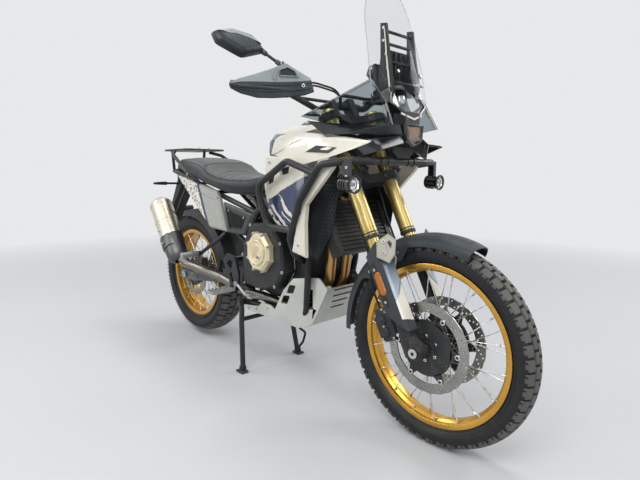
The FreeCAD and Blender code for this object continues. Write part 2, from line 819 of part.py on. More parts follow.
def fender_brackets():
    """Alloy plates that hold the fender's sides to the fork legs."""
    half, u0, r = n("fork_half"), n("clamp_offset"), n("slider_r")
    plate_y = n("front_tyre_half") + 13 + n("plate_wall") + n("seat_gap")
    outline = [(26, 300), (22, 362), (46, 392), (78, 372), (80, 312), (60, 284)]
    plate = prism(outline, plate_y, plate_y + 9)
    recess = prism([(36, 312), (34, 352), (50, 372), (66, 360), (68, 318), (56, 300)], plate_y + 6.5,
        plate_y + 10)
    arm = block(u0 - 12, u0 + 20, plate_y + 6, half, 305, 345)
    bolts = [rod((u, plate_y + 5, s), (u, plate_y + 11, s), 5) for u, s in ((58, 366), (66, 326))]
    shape = plate.cut(recess).multiFuse([arm] + bolts)
    barrel = Part.makeCylinder(r, 600, Vector(u0, half, 0))
    shape = shape.cut([barrel, in_steering("fork_guards"), in_steering("front_fender")])
    keep("fender_brackets", steered("fender_brackets", pair_shape(largest(shape))))


def front_calipers():
    """Two-part calipers straddling each front disc, on the lugs of the fork legs."""
    low, high = n("disc_y") - 14, n("fork_half") - n("slider_r") - 10
    outline = [(-105, 72), (-105, 146), (-90, 164), (-50, 164), (-34, 148), (-34, 66), (-48, 52), (-88, 54)]
    body = prism(outline, low, high)
    bosses = [rod((-72, high - 1, s), (-72, high + 5, s), 19) for s in (86, 130)]
    bolts = [rod((-72, high - 2, s), (-72, high + 7, s), 4.5) for s in (60, 108, 157)]
    body = body.multiFuse(bosses + bolts)
    clear = 1.5
    disc_room = Part.makeCylinder(
        n("front_disc_r") + 3, n("disc_thick") + 2 * clear,
        Vector(n("fork_offset"), n("disc_y") - clear, 0), Vector(0, 1, 0),
    )
    bridge_window = block(-110, -80, n("disc_y") - 6, n("disc_y") + n("disc_thick") + 6, 84, 134)
    shape = body.cut([disc_room, bridge_window])
    keep("front_calipers", steered("front_calipers", pair_shape(largest(shape))))


def control_cables():
    """Throttle and clutch cables to behind the head, and a hose from each front caliper to the clamp."""
    end, along = bar_direction()
    base = end - along * 185
    runs = []
    for side, lift in ((-1, 6), (-1, -6), (1, 0)):
        start = (base.x + 44, side * abs(base.y) * 0.97, base.z + 4 + lift)
        runs.append(tube(
            [start, (base.x + 75, side * 160, base.z - 6 + lift), (120, side * 96, base.z - 60 + lift),
             (62, side * 62, n("upper_clamp") + n("upper_clamp_thick") + 14 + lift)],
            3.5, 60,
        ))
    for side in (-1, 1):
        runs.append(tube(
            [(-66, side * 66, 158), (-62, side * 76, 240), (-16, side * 84, 380), (-14, side * 84, 520),
             (-2, side * 84, n("lower_clamp") - n("seat_gap"))],
            4, 60,
        ))
    hard = [in_steering(name) for name in ("hand_controls", "triple_clamps", "handlebar",
        "front_calipers", "fork_legs")]
    runs = [largest(seated(run, *hard)) for run in runs]
    keep("control_cables", steered("control_cables", Part.makeCompound(runs)))


# Chassis
def head_tube():
    low = n("lower_clamp") + n("lower_clamp_thick") + n("seat_gap")
    high = n("upper_clamp") - n("seat_gap")
    outer = Part.makeCylinder(n("head_tube_r"), high - low, Vector(0, 0, low))
    bore = Part.makeCylinder(n("stem_r") + n("bearing_gap"), high - low, Vector(0, 0, low))
    return outer, bore, low, high


def main_frame():
    r = n("spar_r")
    outer, bore, low, high = head_tube()
    outer.Placement = steer
    bore.Placement = steer
    top = from_steering(-16, 20, high - 75)
    lower = from_steering(-16, 20, low + 42)
    px, pz = n("pivot_x"), n("pivot_z")
    spar = tube(
        [top, (290, 50, 878), (205, 132, 864), (-50, 145, 752), (px + 15, 137, 600),
        (px - 4, 137, 490)], r, 70
    )
    cradle = r - 4
    down = tube(
        [lower, (326, 58, 806), (278, 138, 706), (268, 136, 560), (236, 118, 350), (170, 116, 330),
        (px + 30, 124, 330)],
        cradle, 60,
    )
    sx, sz = n("stand_pivot_x"), n("stand_pivot_z")
    inside, outside = n("plate_in"), n("plate_in") + n("plate_thick")
    plate = prism(
        [(sx - 18, sz - 16), (sx + 50, sz - 12), (px + 42, 400), (px + 32, 560), (px - 20, 575),
        (px - 36, 470)],
        inside, outside,
    )
    lug = prism([(238, 570), (275, 570), (275, 610), (238, 610)], 104, 136)
    cross = rod((236, -90, 862), (236, 90, 862), 11)
    right = [mirrored(s) for s in (spar, down, plate, lug)]
    pivot_tube = rod((px + 5, -inside - 2, 545), (px + 5, inside + 2, 545), 14)
    spindle_end = n("stand_top_half") + n("stand_tube_r") + n("seat_gap") + 4
    spindle = rod((sx, -spindle_end, sz), (sx, spindle_end, sz), n("stand_pin_r"))
    washer_in, washer_out = spindle_end - 2, spindle_end + 3
    washers = [rod((sx, washer_in, sz), (sx, washer_out, sz), n("stand_pin_r") + 5)]
    washers.append(mirrored(washers[0]))
    tx, tz = n("shock_top_x"), n("shock_top_z")
    shock_bar = rod((-76, -138, tz + 6), (-76, 138, tz + 6), 12)
    ear_in = 20 + n("seat_gap")
    ears = [
        prism([(-76, tz + 18), (-76, tz - 6), (tx, tz - 14), (tx - 14, tz), (tx, tz + 14)], low_y, low_y + 8)
        for low_y in (ear_in, -ear_in - 8)
    ]
    shape = outer.multiFuse([spar, down, plate, lug, cross, pivot_tube, spindle,
        shock_bar] + ears + washers + right)
    pin_hole = rod((px, -200, n("pivot_z")), (px, 200, n("pivot_z")), n("pivot_pin_r"))
    shape = shape.cut([bore, pin_hole])
    keep("main_frame", shaped("main_frame", shape))


def side_stand_frame():
    """Where the side stand turns: its local Z runs out of the bike along the pivot bolt."""
    outward = Vector(0.033, 0.950, 0.309)
    pivot = Vector(n("side_pivot_x"), n("side_pivot_y"), n("side_pivot_z"))
    return Placement(pivot, Rotation(Vector(0, 0, 1), outward))


def side_stand_mount():
    """The bracket plate on the lower frame, its bolt and the bolt's head outside the stand's eye."""
    gap = n("seat_gap")
    wide = n("side_eye_wide")
    bolt = Part.makeCylinder(n("side_bolt_r"), wide + 2 * gap + 16, Vector(0, 0, -8))
    head = Part.makeCylinder(n("side_bolt_r") + 6, 6, Vector(0, 0, wide + 2 * gap))
    boss = Part.makeCylinder(20, 62, Vector(0, 0, -62))
    shape = bolt.multiFuse([head, boss])
    shape.Placement = side_stand_frame()
    return shape


def subframe():
    r, half = n("rail_r"), n("rail_half")
    rail = tube([(-60, 136, 742), (-280, half + 6, 788), (-700, half - 8, 882), (-905, half - 28, 922)],
        r, 120)
    strut = tube([(-138, 124, 590), (-420, half, 720), (-640, half - 6, 856)], r - 2, 90)
    cross = rod((-905, -half + 28, 922), (-905, half - 28, 922), r)
    mid = rod((-420, -half, 822), (-420, half, 822), r - 3)
    shape = rail.multiFuse([strut, cross, mid, mirrored(rail), mirrored(strut)])
    keep("subframe", shaped("subframe", seated(shape, nodes["main_frame"])))


def engine():
    """A parallel twin: crankcase, finned barrels, head, side covers and the pinion of the final drive."""
    body = new_body("engine_case_body")
    sk = new_sketch(body, "side_profile", "XZ_Plane")
    polygon(sk, [
        (-120, 400), (-128, 470), (-96, 560), (-40, 628), (30, 660), (215, 668),
        (232, 610), (228, 470), (212, 400),
    ])
    pad(body, sk, 208, "crankcase")
    lower = new_sketch(body, "lower_profile", "XZ_Plane")
    polygon(lower, [(-112, 401), (-106, 384), (-60, 372), (120, 372), (200, 392), (212, 401)])
    pad(body, lower, 140, "lower_case")
    doc.recompute()
    cylinders = block(45, 225, -118, 118, 655, 800)
    for k in range(5):
        z = 690 + k * 20
        cylinders = cylinders.cut([block(30, 240, 112, 130, z, z + 8), block(30, 240, -130, -112, z, z + 8)])
    head = loft([
        [(x, y, z) for x, y in ((38 + s, -124 + s), (232 - s, -124 + s), (232 - s, 124 - s),
        (38 + s, 124 - s))]
        for z, s in ((782, 0), (836, 0), (850, 12))
    ])
    ports = [rod((228, y, 808), (240, y, 807), 30) for y in (-48, 48)]
    outline = [(-112, 430), (-122, 560), (-60, 700), (60, 716), (150, 640), (160, 520), (110, 450), (0, 420)]
    cx, cz = 20, 570
    flat = [(cx + (x - cx) * 0.94, cz + (z - cz) * 0.94) for x, z in outline]
    cover = loft([[(x, y, z) for x, z in ring] for y, ring in ((-104, outline), (-168, outline),
        (-180, flat))])
    boss_at = [(cx + (x - cx) * 0.97, cz + (z - cz) * 0.97) for x, z in outline]
    bosses = [rod((x, -104, z), (x, -176, z), 9) for x, z in boss_at]
    generator = rod((150, 104, 500), (150, 168, 500), 82)
    generator = generator.fuse(Part.makeCone(82, 70, 12, Vector(150, 168, 500), Vector(0, 1, 0)))
    plug = rod((150, 178, 500), (150, 184, 500), 24)
    filter_can = rod((222, -30, 470), (262, -30, 466), 33)
    starter = rod((-24, -90, 646), (-24, 40, 646), 30)
    fx, fz, chain_y = n("front_sprocket_x"), n("front_sprocket_z"), n("chain_y")
    room_r = n("front_sprocket_r") + n("chain_half") + 7
    chain_box = prism([(-118, 402), (-122, 500), (-20, 520), (4, 500), (0, 402)], 100, chain_y + 19)
    room = Part.makeCylinder(room_r, 24, Vector(fx, chain_y - 12, fz), Vector(0, 1, 0))
    room = room.fuse(block(-200, fx, chain_y - 12, chain_y + 12, fz - room_r - 14, fz + room_r))
    inside_r = n("front_sprocket_r") - n("chain_half")
    pinion_r = inside_r * math.cos(n("chain_pitch") / n("front_sprocket_r") / 2) - n("seat_gap")
    pinion = Part.makeCylinder(pinion_r, 8, Vector(fx, chain_y - 4, fz), Vector(0, 1, 0))
    shaft = Part.makeCylinder(13, 40, Vector(fx, chain_y - 32, fz), Vector(0, 1, 0))
    sump = block(-20, 100, -30, 62, 352, 375)
    covers = [cylinders, head, cover, generator, plug, filter_can, starter, chain_box, sump,
        side_stand_mount()]
    shape = body.Shape.multiFuse(covers + ports + bosses)
    shape = shape.cut(room).multiFuse([pinion, shaft])
    keep("engine", shaped("engine", seated(shape, nodes["main_frame"])))


def clutch_cover():
    """The cast cover on the engine's right: eight flats, a bevelled rim, bolts and a raised middle."""
    cx, cz, r = 32, 592, 82
    angles = (22, 66, 112, 158, 202, 246, 292, 338)

    def ring(radius, y):
        turns = [math.radians(a) for a in angles]
        return [(cx + radius * 0.95 * math.cos(a), y, cz + radius * 1.03 * math.sin(a)) for a in turns]

    shape = loft([ring(r, -180), ring(r, -200), ring(r - 9, -212)])
    dish = Part.makeCylinder(54, 5, Vector(cx, -212, cz), Vector(0, 1, 0))
    middle = Part.makeCylinder(44, 9, Vector(cx, -206, cz), Vector(0, -1, 0))
    bolts = [rod((x, -182, z), (x, -208, z), 7) for x, y, z in ring(r - 3, 0)]
    keep("clutch_cover", shaped("clutch_cover", shape.cut(dish).multiFuse([middle] + bolts)))


def swingarm():
    px, pz = n("pivot_x"), n("pivot_z")
    deep, thick = n("arm_deep"), n("arm_thick")
    side = [
        (px + 20, pz - 16), (px - 20, pz - deep / 2), (rear_x + 70, rear_z - deep * 0.42), (rear_x - 50,
        rear_z - 26),
        (rear_x - 62, rear_z), (rear_x - 50, rear_z + 24), (rear_x + 70, rear_z + deep * 0.42),
        (px - 20, pz + deep / 2), (px + 20, pz + 16),
    ]
    plate_in = n("plate_in") - n("seat_gap")
    right = prism(side, -119, -119 + thick)
    left = prism(side, 116, 116 + thick - 4)
    # The arms join ahead of the wheel in a box section that narrows to the pivot between the frame's plates.
    bridge = block(rear_x + n("rear_tyre_r") + 40, px - 62, -112, 128, pz - 26, pz + 14)
    nose = rod((px, -plate_in, pz), (px, plate_in, pz), 22).fuse(block(px - 80, px, -90, 90, pz - 22,
        pz + 14))
    trim_r = block(px - 60, px + 60, -160, -plate_in, pz - 80, pz + 80)
    trim_l = block(px - 60, px + 60, plate_in, 160, pz - 80, pz + 80)
    chain_room = block(px - 60, px + 60, n("chain_y") - 14, plate_in + 40, pz - 80, pz + 80)
    right = right.cut(trim_r)
    left = left.cut([trim_l, chain_room])
    shape = right.multiFuse([left, bridge, nose])
    hole = Part.makeCylinder(n("axle_r"), 400, Vector(rear_x, -200, rear_z), Vector(0, 1, 0))
    pin_hole = rod((px, -200, pz), (px, 200, pz), n("pivot_pin_r"))
    bobbin_x, bobbin_z = rear_x + 130, rear_z + 8
    bobbins = [
        rod((bobbin_x, -125, bobbin_z), (bobbin_x, -119 + n("bobbin_deep"), bobbin_z), n("bobbin_r")),
        rod((bobbin_x, 140, bobbin_z), (bobbin_x, 112 + thick - n("bobbin_deep"), bobbin_z), n("bobbin_r")),
    ]
    keep("swingarm", shaped("swingarm", shape.cut([hole, pin_hole] + bobbins)))
    ear = n("plate_in") + n("plate_thick")
    pivot_pin = rod((px, -ear - 8, pz), (px, ear + 8, pz), n("pivot_pin_r"))
    nut = rod((px, ear + n("seat_gap"), pz), (px, ear + 9, pz), n("pivot_pin_r") + 7)
    keep("swingarm_pivot", shaped("swingarm_pivot", pivot_pin.multiFuse([nut, mirrored(nut)])))


def spring_coil(coil_r, wire_r, pitch, height):
    """A coil spring in facets, its six-sided wire carried round in steps."""
    steps = int(height / pitch * 12)
    rings = []
    for i in range(steps + 1):
        a, z = 2 * math.pi * i / 12, height * i / steps
        rings.append([
            ((coil_r + wire_r * math.cos(b)) * math.cos(a), (coil_r + wire_r * math.cos(b)) * math.sin(a),
             z + wire_r * math.sin(b)) for b in (2 * math.pi * k / 6 for k in range(6))
        ])
    return loft(rings)


def rear_shock():
    top = Vector(n("shock_top_x"), 0, n("shock_top_z"))
    low = Vector(-240, 0, n("pivot_z") + 14 + 16 + n("seat_gap"))
    axis = low - top
    damper = Part.makeCylinder(18, axis.Length, top, axis)
    coil_r, wire_r, pitch, height = 34, 5.5, 23, 165
    spring = spring_coil(coil_r, wire_r, pitch, height)
    seat_low = Part.makeCylinder(42, 8, Vector(0, 0, -12))
    seat_high = Part.makeCylinder(42, 8, Vector(0, 0, height + 4))
    nut = Part.makeCylinder(30, 14, Vector(0, 0, height + 11))
    turn = Rotation(Vector(0, 0, 1), top - low)
    place = Placement(low + (top - low) * 0.16, turn)
    coil = [s.transformed(place.toMatrix()) for s in (spring, seat_low, seat_high, nut)]
    eye_top = Part.makeCylinder(16, 40, top + Vector(0, -20, 0), Vector(0, 1, 0))
    eye_low = Part.makeCylinder(16, 40, low + Vector(0, -20, 0), Vector(0, 1, 0))
    shape = damper.multiFuse(coil + [eye_top, eye_low])
    shape = seated(shape, nodes["main_frame"], nodes["swingarm"], nodes["engine"])
    keep("rear_shock", shaped("rear_shock", largest(shape)))


def drive_chain():
    """One closed loop round both sprockets, waisted between the pins of every link."""
    big, small = n("sprocket_r"), n("front_sprocket_r")
    front = Vector(n("front_sprocket_x"), 0, n("front_sprocket_z"))
    back = Vector(rear_x, 0, rear_z)
    y, wide, half = n("chain_y"), n("chain_wide"), n("chain_half")
    span = front - back
    tilt = math.atan2(span.z, span.x)
    spread = math.acos((big - small) / span.Length)
    straight = math.sqrt(span.Length ** 2 - (big - small) ** 2)
    arcs = [(2 * math.pi - 2 * spread) * big, 2 * spread * small]
    total = arcs[0] + arcs[1] + 2 * straight

    def route(s):
        """The centre line's point and outward direction at a distance along the loop."""
        s %= total
        if s < arcs[0]:
            a = tilt + spread + s / big
            return back + Vector(math.cos(a), 0, math.sin(a)) * big, a
        s -= arcs[0]
        if s < straight:
            a = tilt - spread
            share, out = s / straight, Vector(math.cos(a), 0, math.sin(a))
            return (back + out * big) * (1 - share) + (front + out * small) * share, a
        s -= straight
        if s < arcs[1]:
            a = tilt - spread + s / small
            return front + Vector(math.cos(a), 0, math.sin(a)) * small, a
        share, a = (s - arcs[1]) / straight, tilt + spread
        out = Vector(math.cos(a), 0, math.sin(a))
        return (front + out * small) * (1 - share) + (back + out * big) * share, a

    links = 2 * round(total / n("chain_pitch") / 2)
    outer, inner = [], []
    for k in range(links):
        for share, height in ((0.0, half), (0.5, half * 0.62)):
            point, a = route((k + share) * total / links)
            outer.append(point + Vector(math.cos(a), 0, math.sin(a)) * height)
        point, a = route((k + 0.5) * total / links)
        inner.append(point - Vector(math.cos(a), 0, math.sin(a)) * half)
    loop = prism([(p.x, p.z) for p in outer], y - wide / 2, y + wide / 2)
    loop = loop.cut(prism([(p.x, p.z) for p in inner], y - wide, y + wide))
    keep("drive_chain", shaped("drive_chain", loop.Solids[0]))


def rear_fender():
    """The hugger on the swingarm, close over the front and top of the rear tyre."""
    r, half, wall = n("rear_tyre_r") + 12, n("rear_tyre_half") + 10, n("plate_wall")
    pts = [(r - 26, half + wall), (r + 2 + wall, half * 0.8), (r + 8 + wall, 0)]
    ins = [(r - 26, half), (r + 2, half * 0.78), (r + 8, 0)]
    ring = pts + [(a, -b) for a, b in reversed(pts[:-1])] + [(a, -b) for a,
        b in ins[:-1]] + list(reversed(ins))
    face = Part.Face(Part.makePolygon([Vector(a, b, 0) for a, b in ring + ring[:1]]))
    arch = face.revolve(Vector(0, 0, 0), Vector(0, -1, 0), 92)
    arch.Placement = Placement(Vector(rear_x, 0, rear_z), Rotation(Vector(0, -1, 0), 12))
    stays = [
        prism([(-500, 380), (-470, 380), (-440, 470), (-455, 480)], y, y + 8)
        for y in (-(half + wall + 8), half + wall)
    ]
    shape = arch.multiFuse(stays)
    keep("rear_fender", shaped("rear_fender", seated(shape, nodes["swingarm"])))


def fuel_tank():
    """A faceted tank with a crease at the knee, a sloping deck and the filler's cap and ring."""
    floor = n("tank_floor")
    sections = []
    for x, low, side_z, side, knee_z, knee, shoulder_z, shoulder, top_z, top, crown in (
        (-24, 62, 925, 92, 950, 96, 975, 92, 1012, 45, 1016),
        (28, 72, 935, 128, 985, 122, 1040, 134, 1098, 64, 1104),
        (90, 84, 942, 160, 990, 152, 1046, 170, 1108, 74, 1115),
        (150, 90, 945, 172, 992, 164, 1048, 182, 1108, 76, 1116),
        (236, 90, 950, 176, 996, 170, 1044, 182, 1094, 64, 1102),
    ):
        half = [(low, floor), (side, side_z), (knee, knee_z), (shoulder, shoulder_z), (top, top_z),
            (0, crown)]
        sections.append([(x, y, z) for y, z in half] + [(x, -y, z) for y, z in reversed(half[:-1])])
    shape = loft(sections)
    ring = Part.makeCylinder(47, 12, Vector(140, 0, 1106), Vector(-0.05, 0, 1))
    cap = Part.makeCylinder(38, 18, Vector(140, 0, 1106), Vector(-0.05, 0, 1))
    belly = block(-20, 222, -88, 88, 856, floor + 2)
    shape = shape.multiFuse([ring, cap, belly])
    keep("fuel_tank", shaped("fuel_tank", seated(shape, nodes["main_frame"], nodes["engine"])))


def raised(outline, y_in, y_out, shrink):
    """A panel standing out from y_in to y_out whose edge is bevelled by the given shrink about its middle."""
    cx = sum(x for x, z in outline) / len(outline)
    cz = sum(z for x, z in outline) / len(outline)
    bevel = y_in + (y_out - y_in) * 0.6
    rings = [(y_in, 1.0), (bevel, 1.0), (y_out, shrink)]
    return loft([[(cx + (x - cx) * s, y, cz + (z - cz) * s) for x, z in outline] for y, s in rings])


def tank_shrouds():
    """Bodywork beside the tank: a pointed upper wing, a vented lower panel and an outer blade."""
    wall = n("plate_wall") + 1
    wing_rings = []
    for x, deck_y, deck_z, ridge_y, ridge_z, low_y, low_z in (
        (128, -162, 1062, -186, 1048, -204, 990), (236, -160, 1074, -200, 1052, -226, 968),
        (345, -160, 1060, -214, 1046, -236, 948), (470, -164, 1045, -214, 1036, -234, 970),
        (560, -180, 1032, -208, 1027, -222, 994), (630, -198, 1021, -205, 1021, -208, 1015),
    ):
        inset = min(wall, abs(ridge_y - deck_y) * 0.4)
        outer = [(deck_y, deck_z), (ridge_y, ridge_z), (low_y, low_z)]
        inner = [(low_y + inset, low_z + 1), (ridge_y + inset, ridge_z - inset * 0.8),
            (deck_y + 1, deck_z - inset)]
        wing_rings.append([(x, y, z) for y, z in outer + inner])
    wing = loft(wing_rings)
    panel = raised([
        (122, 985), (350, 972), (352, 844), (308, 793), (292, 721), (284, 672), (180, 726), (136,
        768), (112, 870),
    ], -212, -230, 0.96)
    vents = [
        slab([(x, -240, z) for x, z in corners], (0, 60, 0)) for corners in (
            [(205, 934), (268, 946), (262, 918), (214, 908)], [(126, 900), (182, 914), (172, 884),
            (128, 868)],
        )
    ]
    blade = raised([
        (452, 962), (512, 966), (500, 938), (370, 809), (363, 743), (366, 618), (292, 631), (312,
        705), (334, 800),
        (350, 850),
    ], -224, -241, 0.95)
    tie = block(420, 470, -232, -222, 940, 985)
    bosses = [
        Part.makeCylinder(9, 60, Vector(200, -206, 1030), Vector(0, 1, 0)),
        Part.makeCylinder(9, 90, Vector(300, -228, 800), Vector(0, 1, 0)),
    ]
    shape = panel.cut(vents).multiFuse([wing, blade, tie] + bosses)
    shape = largest(seated(shape, nodes["fuel_tank"], nodes["main_frame"]))
    keep("tank_shrouds", shaped("tank_shrouds", pair_shape(shape)))


def radiator():
    """The finned core with its end tanks, leaning with the fork, and its fixing ears."""
    low, high, back, thick = 395, 600, -118, 34
    core = Part.makeBox(thick, 270, high - low, Vector(back, -135, low))
    tanks = [
        prism([(back - 4, low - 4), (back + thick + 4, low - 4), (back + thick + 4, high - 12),
            (back + thick - 8, high + 4),
               (back - 4, high + 4)], y, y + 26) for y in (135, -161)
    ]
    fins = []
    count = 12
    for k in range(count):
        s = low + 8 + k * (high - low - 16) / count
        fins.append(Part.makeBox(6, 262, 6, Vector(back + thick - 5, -131, s)))
    shape = core.multiFuse(tanks).cut(fins)
    shape.Placement = Placement(steer_base - Vector(carried(0), 0, 0), steer.Rotation)
    ears = [block(300, 345, y - 6, y + 6, 742, 770) for y in (-140, 140)]
    keep("radiator", shaped("radiator", seated(shape.multiFuse(ears), nodes["main_frame"], nodes["engine"])))


def exhaust():
    r = 21
    right = [(241, -48, 808), (290, -48, 806), (318, -46, 700), (292, -42, 500), (225, -52, 350),
        (120, -62, 344)]
    left = [(241, 48, 808), (290, 48, 806), (318, 46, 700), (292, 42, 500), (225, 10, 350), (120, -46, 344)]
    header, header2 = tube(right, r, 70), tube(left, r, 70)
    flanges = [rod((240.3, y, 807), (248, y, 807), 29) for y in (-48, 48)]
    link = tube(
        [(140, -58, 344), (30, -80, 350), (-48, -126, 376), (-112, -156, 384), (-330, -160, 418),
        (-560, -205, 452),
         (-606, -222, 480)], r, 60
    )
    shape = header.multiFuse([header2, link] + flanges)
    shape = shape.cut([nodes["main_frame"].Shape, nodes["engine"].Shape])
    keep("exhaust_pipes", shaped("exhaust_pipes", largest(shape)))
    silencer()


def silencer():
    """The raised silencer: inlet cone, banded can, outlet, heat shield and hanger."""
    low, high, can_r = Vector(-628, -224, 480), Vector(-836, -216, 752), 58
    axis = (high - low).normalize()
    length = (high - low).Length
    cone = Part.makeCone(24, can_r, 70, low - axis * 18, axis)
    can = Part.makeCylinder(can_r, length - 70, low + axis * 52, axis)
    bands = [Part.makeCylinder(can_r + 2, 10, low + axis * s, axis) for s in (58, length * 0.62, length - 30)]
    end = Part.makeCone(can_r, 40, 26, low + axis * (length - 18), axis)
    sleeve = Part.makeCylinder(can_r + 6, 104, low + axis * 78, axis)
    sleeve = sleeve.cut(Part.makeCylinder(can_r + 2, 104, low + axis * 78, axis))
    outside = block(-900, -500, -300, low.y - 14, 400, 800)
    shield = sleeve.common(outside)
    studs = [Part.makeCylinder(5, 10, low + axis * s + Vector(0, -can_r - 8, 0),
        Vector(0, 1, 0)) for s in (92, 168)]
    shape = cone.multiFuse([can, end, shield] + bands + studs)
    shape = shape.cut(Part.makeCylinder(20, 60, low + axis * (length - 40), axis))
    strap_at = low + axis * (length * 0.64)
    lug = tube([(strap_at.x, strap_at.y + 40, strap_at.z + 8), (strap_at.x + 40, -112, 850)], 8)
    shape = seated(shape.fuse(lug), nodes["exhaust_pipes"], nodes["subframe"])
    keep("silencer", shaped("silencer", largest(shape)))


def skid_plate():
    """A folded alloy sump guard: floor, raked front with cut corners, side wings, windows and posts."""
    z, half, wall = n("skid_z"), n("skid_half"), n("plate_wall")
    outline = [
        (-158, z), (-158, z + 18), (-45, z + 34), (-22, z + 56), (40, z + 56), (70, z + 44), (128, z + 140),
        (192, z + 200), (300, z + 212), (344, z + 174), (262, z + 18), (236, z),
    ]
    inside = [
        (-220, z + wall), (-220, z + 240), (330, z + 240), (337 - wall * 1.2, z + 172),
        (258 - wall * 0.9, z + 20 + wall * 0.5), (235 - wall * 0.4, z + wall),
    ]
    corner_x, corner_y = 205, 40

    def plan(shrink):
        side, nose = half - shrink, 360
        edge = [(-260, side), (corner_x, side), (corner_x + 60, side - corner_y), (nose, side - corner_y - 4)]
        points = edge + [(x, -y) for x, y in reversed(edge)]
        return slab([(x, y, z - 20) for x, y in points], (0, 0, 260))

    shell = prism(outline, -half, half).common(plan(0))
    shell = shell.cut(prism(inside, -half, half).common(plan(wall)))
    cuts = []
    for points, reach in (
        ([(206, z + 152), (226, z + 156), (216, z + 120), (192, z + 110)], half + 10),
        ([(168, z + 92), (200, z + 94), (184, z + 54), (144, z + 50)], half + 10),
        ([(322, z + 168), (400, z + 168), (400, z + 160), (322, z + 160)], 62),
        ([(305, z + 140), (400, z + 140), (400, z + 132), (305, z + 132)], 62),
        ([(288, z + 112), (400, z + 112), (400, z + 104), (288, z + 104)], 62),
        ([(274, z + 84), (400, z + 84), (400, z + 76), (274, z + 76)], 62),
        ([(280, z + 240), (400, z + 240), (400, z + 172), (280, z + 172)], 78),
    ):
        cuts.append(prism(points, -reach, reach))
    shell = shell.cut(cuts)
    posts = [
        block(x, x + 24, y - 9, y + 9, z + wall / 2, z + 72) for x, y in ((30, -40), (30, 40), (190, -70),
            (190, 78))
    ]
    shape = seated(shell.multiFuse(posts), nodes["engine"], nodes["main_frame"], nodes["exhaust_pipes"])
    keep("skid_plate", shaped("skid_plate", largest(shape)))


def crash_bars():
    """Tubular guards: on each side a run up to the cross tube under the lamp, and a loop behind it."""
    r = n("guard_tube_r")
    front = carried(588)
    main = tube(
        [(232, 118, 566), (262, 200, 612), (284, 242, 680), (352, 256, 820), (455, 256, 948),
        (front - 16, 236, 962),
         (front, 150, 960), (front, 0, 960)],
        r, 45,
    )
    loop = tube([(430, 258, 920), (300, 268, 962), (112, 262, 868), (160, 250, 715), (300, 247, 712)], r, 45)
    lug = block(226, 252, 104, 132, 552, 580)
    sleeves = [rod((front, 40, 960), (front, 112, 960), r + 2.5),
        rod((front, 70, 960), (front, 76, 960), r + 5)]
    side = main.multiFuse([loop, lug] + sleeves)
    shape = side.fuse(mirrored(side))
    shape = seated(shape, nodes["engine"], nodes["main_frame"], nodes["tank_shrouds"])
    keep("crash_bars", shaped("crash_bars", largest(shape)))


def spot_lamps():
    """Round auxiliary lamps hung from the cross tube of the guards."""
    x, forward = carried(545), Vector(1, 0, -0.05)
    lamp = Part.makeCylinder(24, 46, Vector(x, 240, 888), forward)
    bezel = Part.makeCone(24, 29, 12, Vector(x + 46, 240, 885.7), forward)
    back = Part.makeCone(14, 24, 16, Vector(x - 16, 240, 888.8), forward)
    fins = [Part.makeCylinder(26.5, 3, Vector(x + s, 240, 888 - s * 0.05), forward) for s in (6, 16, 26)]
    glass_room = Part.makeCylinder(24, 8, Vector(x + 52, 240, 885.4), forward)
    stem = block(x + 7, x + 33, 232, 248, 905, 965)
    shape = lamp.multiFuse([bezel, back, stem] + fins).cut(glass_room)
    shape = largest(seated(shape, nodes["crash_bars"]))
    keep("spot_lamps", shaped("spot_lamps", pair_shape(shape)))


def fairing_stay():
    """The bracket on the head tube for the lamp, the dash, the screen tower and the guard's cross tube."""
    outer, bore, low, high = head_tube()
    beam = Part.makeBox(170, 46, 80, Vector(10, -23, low + 62))
    beam = beam.cut([Part.makeBox(34, 60, 34, Vector(u, -30, low + 85)) for u in (60, 106)])
    beam.Placement = steer
    mast = prism([(carried(x), z) for x, z in ((520, 1040), (566, 1040), (566, 1180), (536, 1190))], -20, 20)
    strap = prism([(carried(x), z) for x, z in ((560, 940), (580, 940), (560, 1060), (540, 1060))], -12, 12)
    shape = beam.multiFuse([mast, strap])
    shape = largest(seated(shape, nodes["main_frame"], nodes["crash_bars"]))
    keep("fairing_stay", shaped("fairing_stay", shape))


def lamp_ring(shift, scale):
    """The headlamp's eight-sided outline, leaning back, moved by shift and scaled about its middle."""
    front = [(0, 1102), (52, 1118), (104, 1150), (66, 1218), (0, 1232)]
    ring = front + [(-y, z) for y, z in reversed(front[1:-1])]
    return [(carried(642) - (z - 1102) * 0.42 + shift, y * scale, 1165 + (z - 1165) * scale) for y, z in ring]


def low_lamp_ring(x, wide, tall):
    ring = [(-46, 1024), (-54, 1086), (54, 1086), (46, 1024), (0, 1006)]
    return [(carried(x), y * wide, 1055 + (z - 1055) * tall) for y, z in ring]


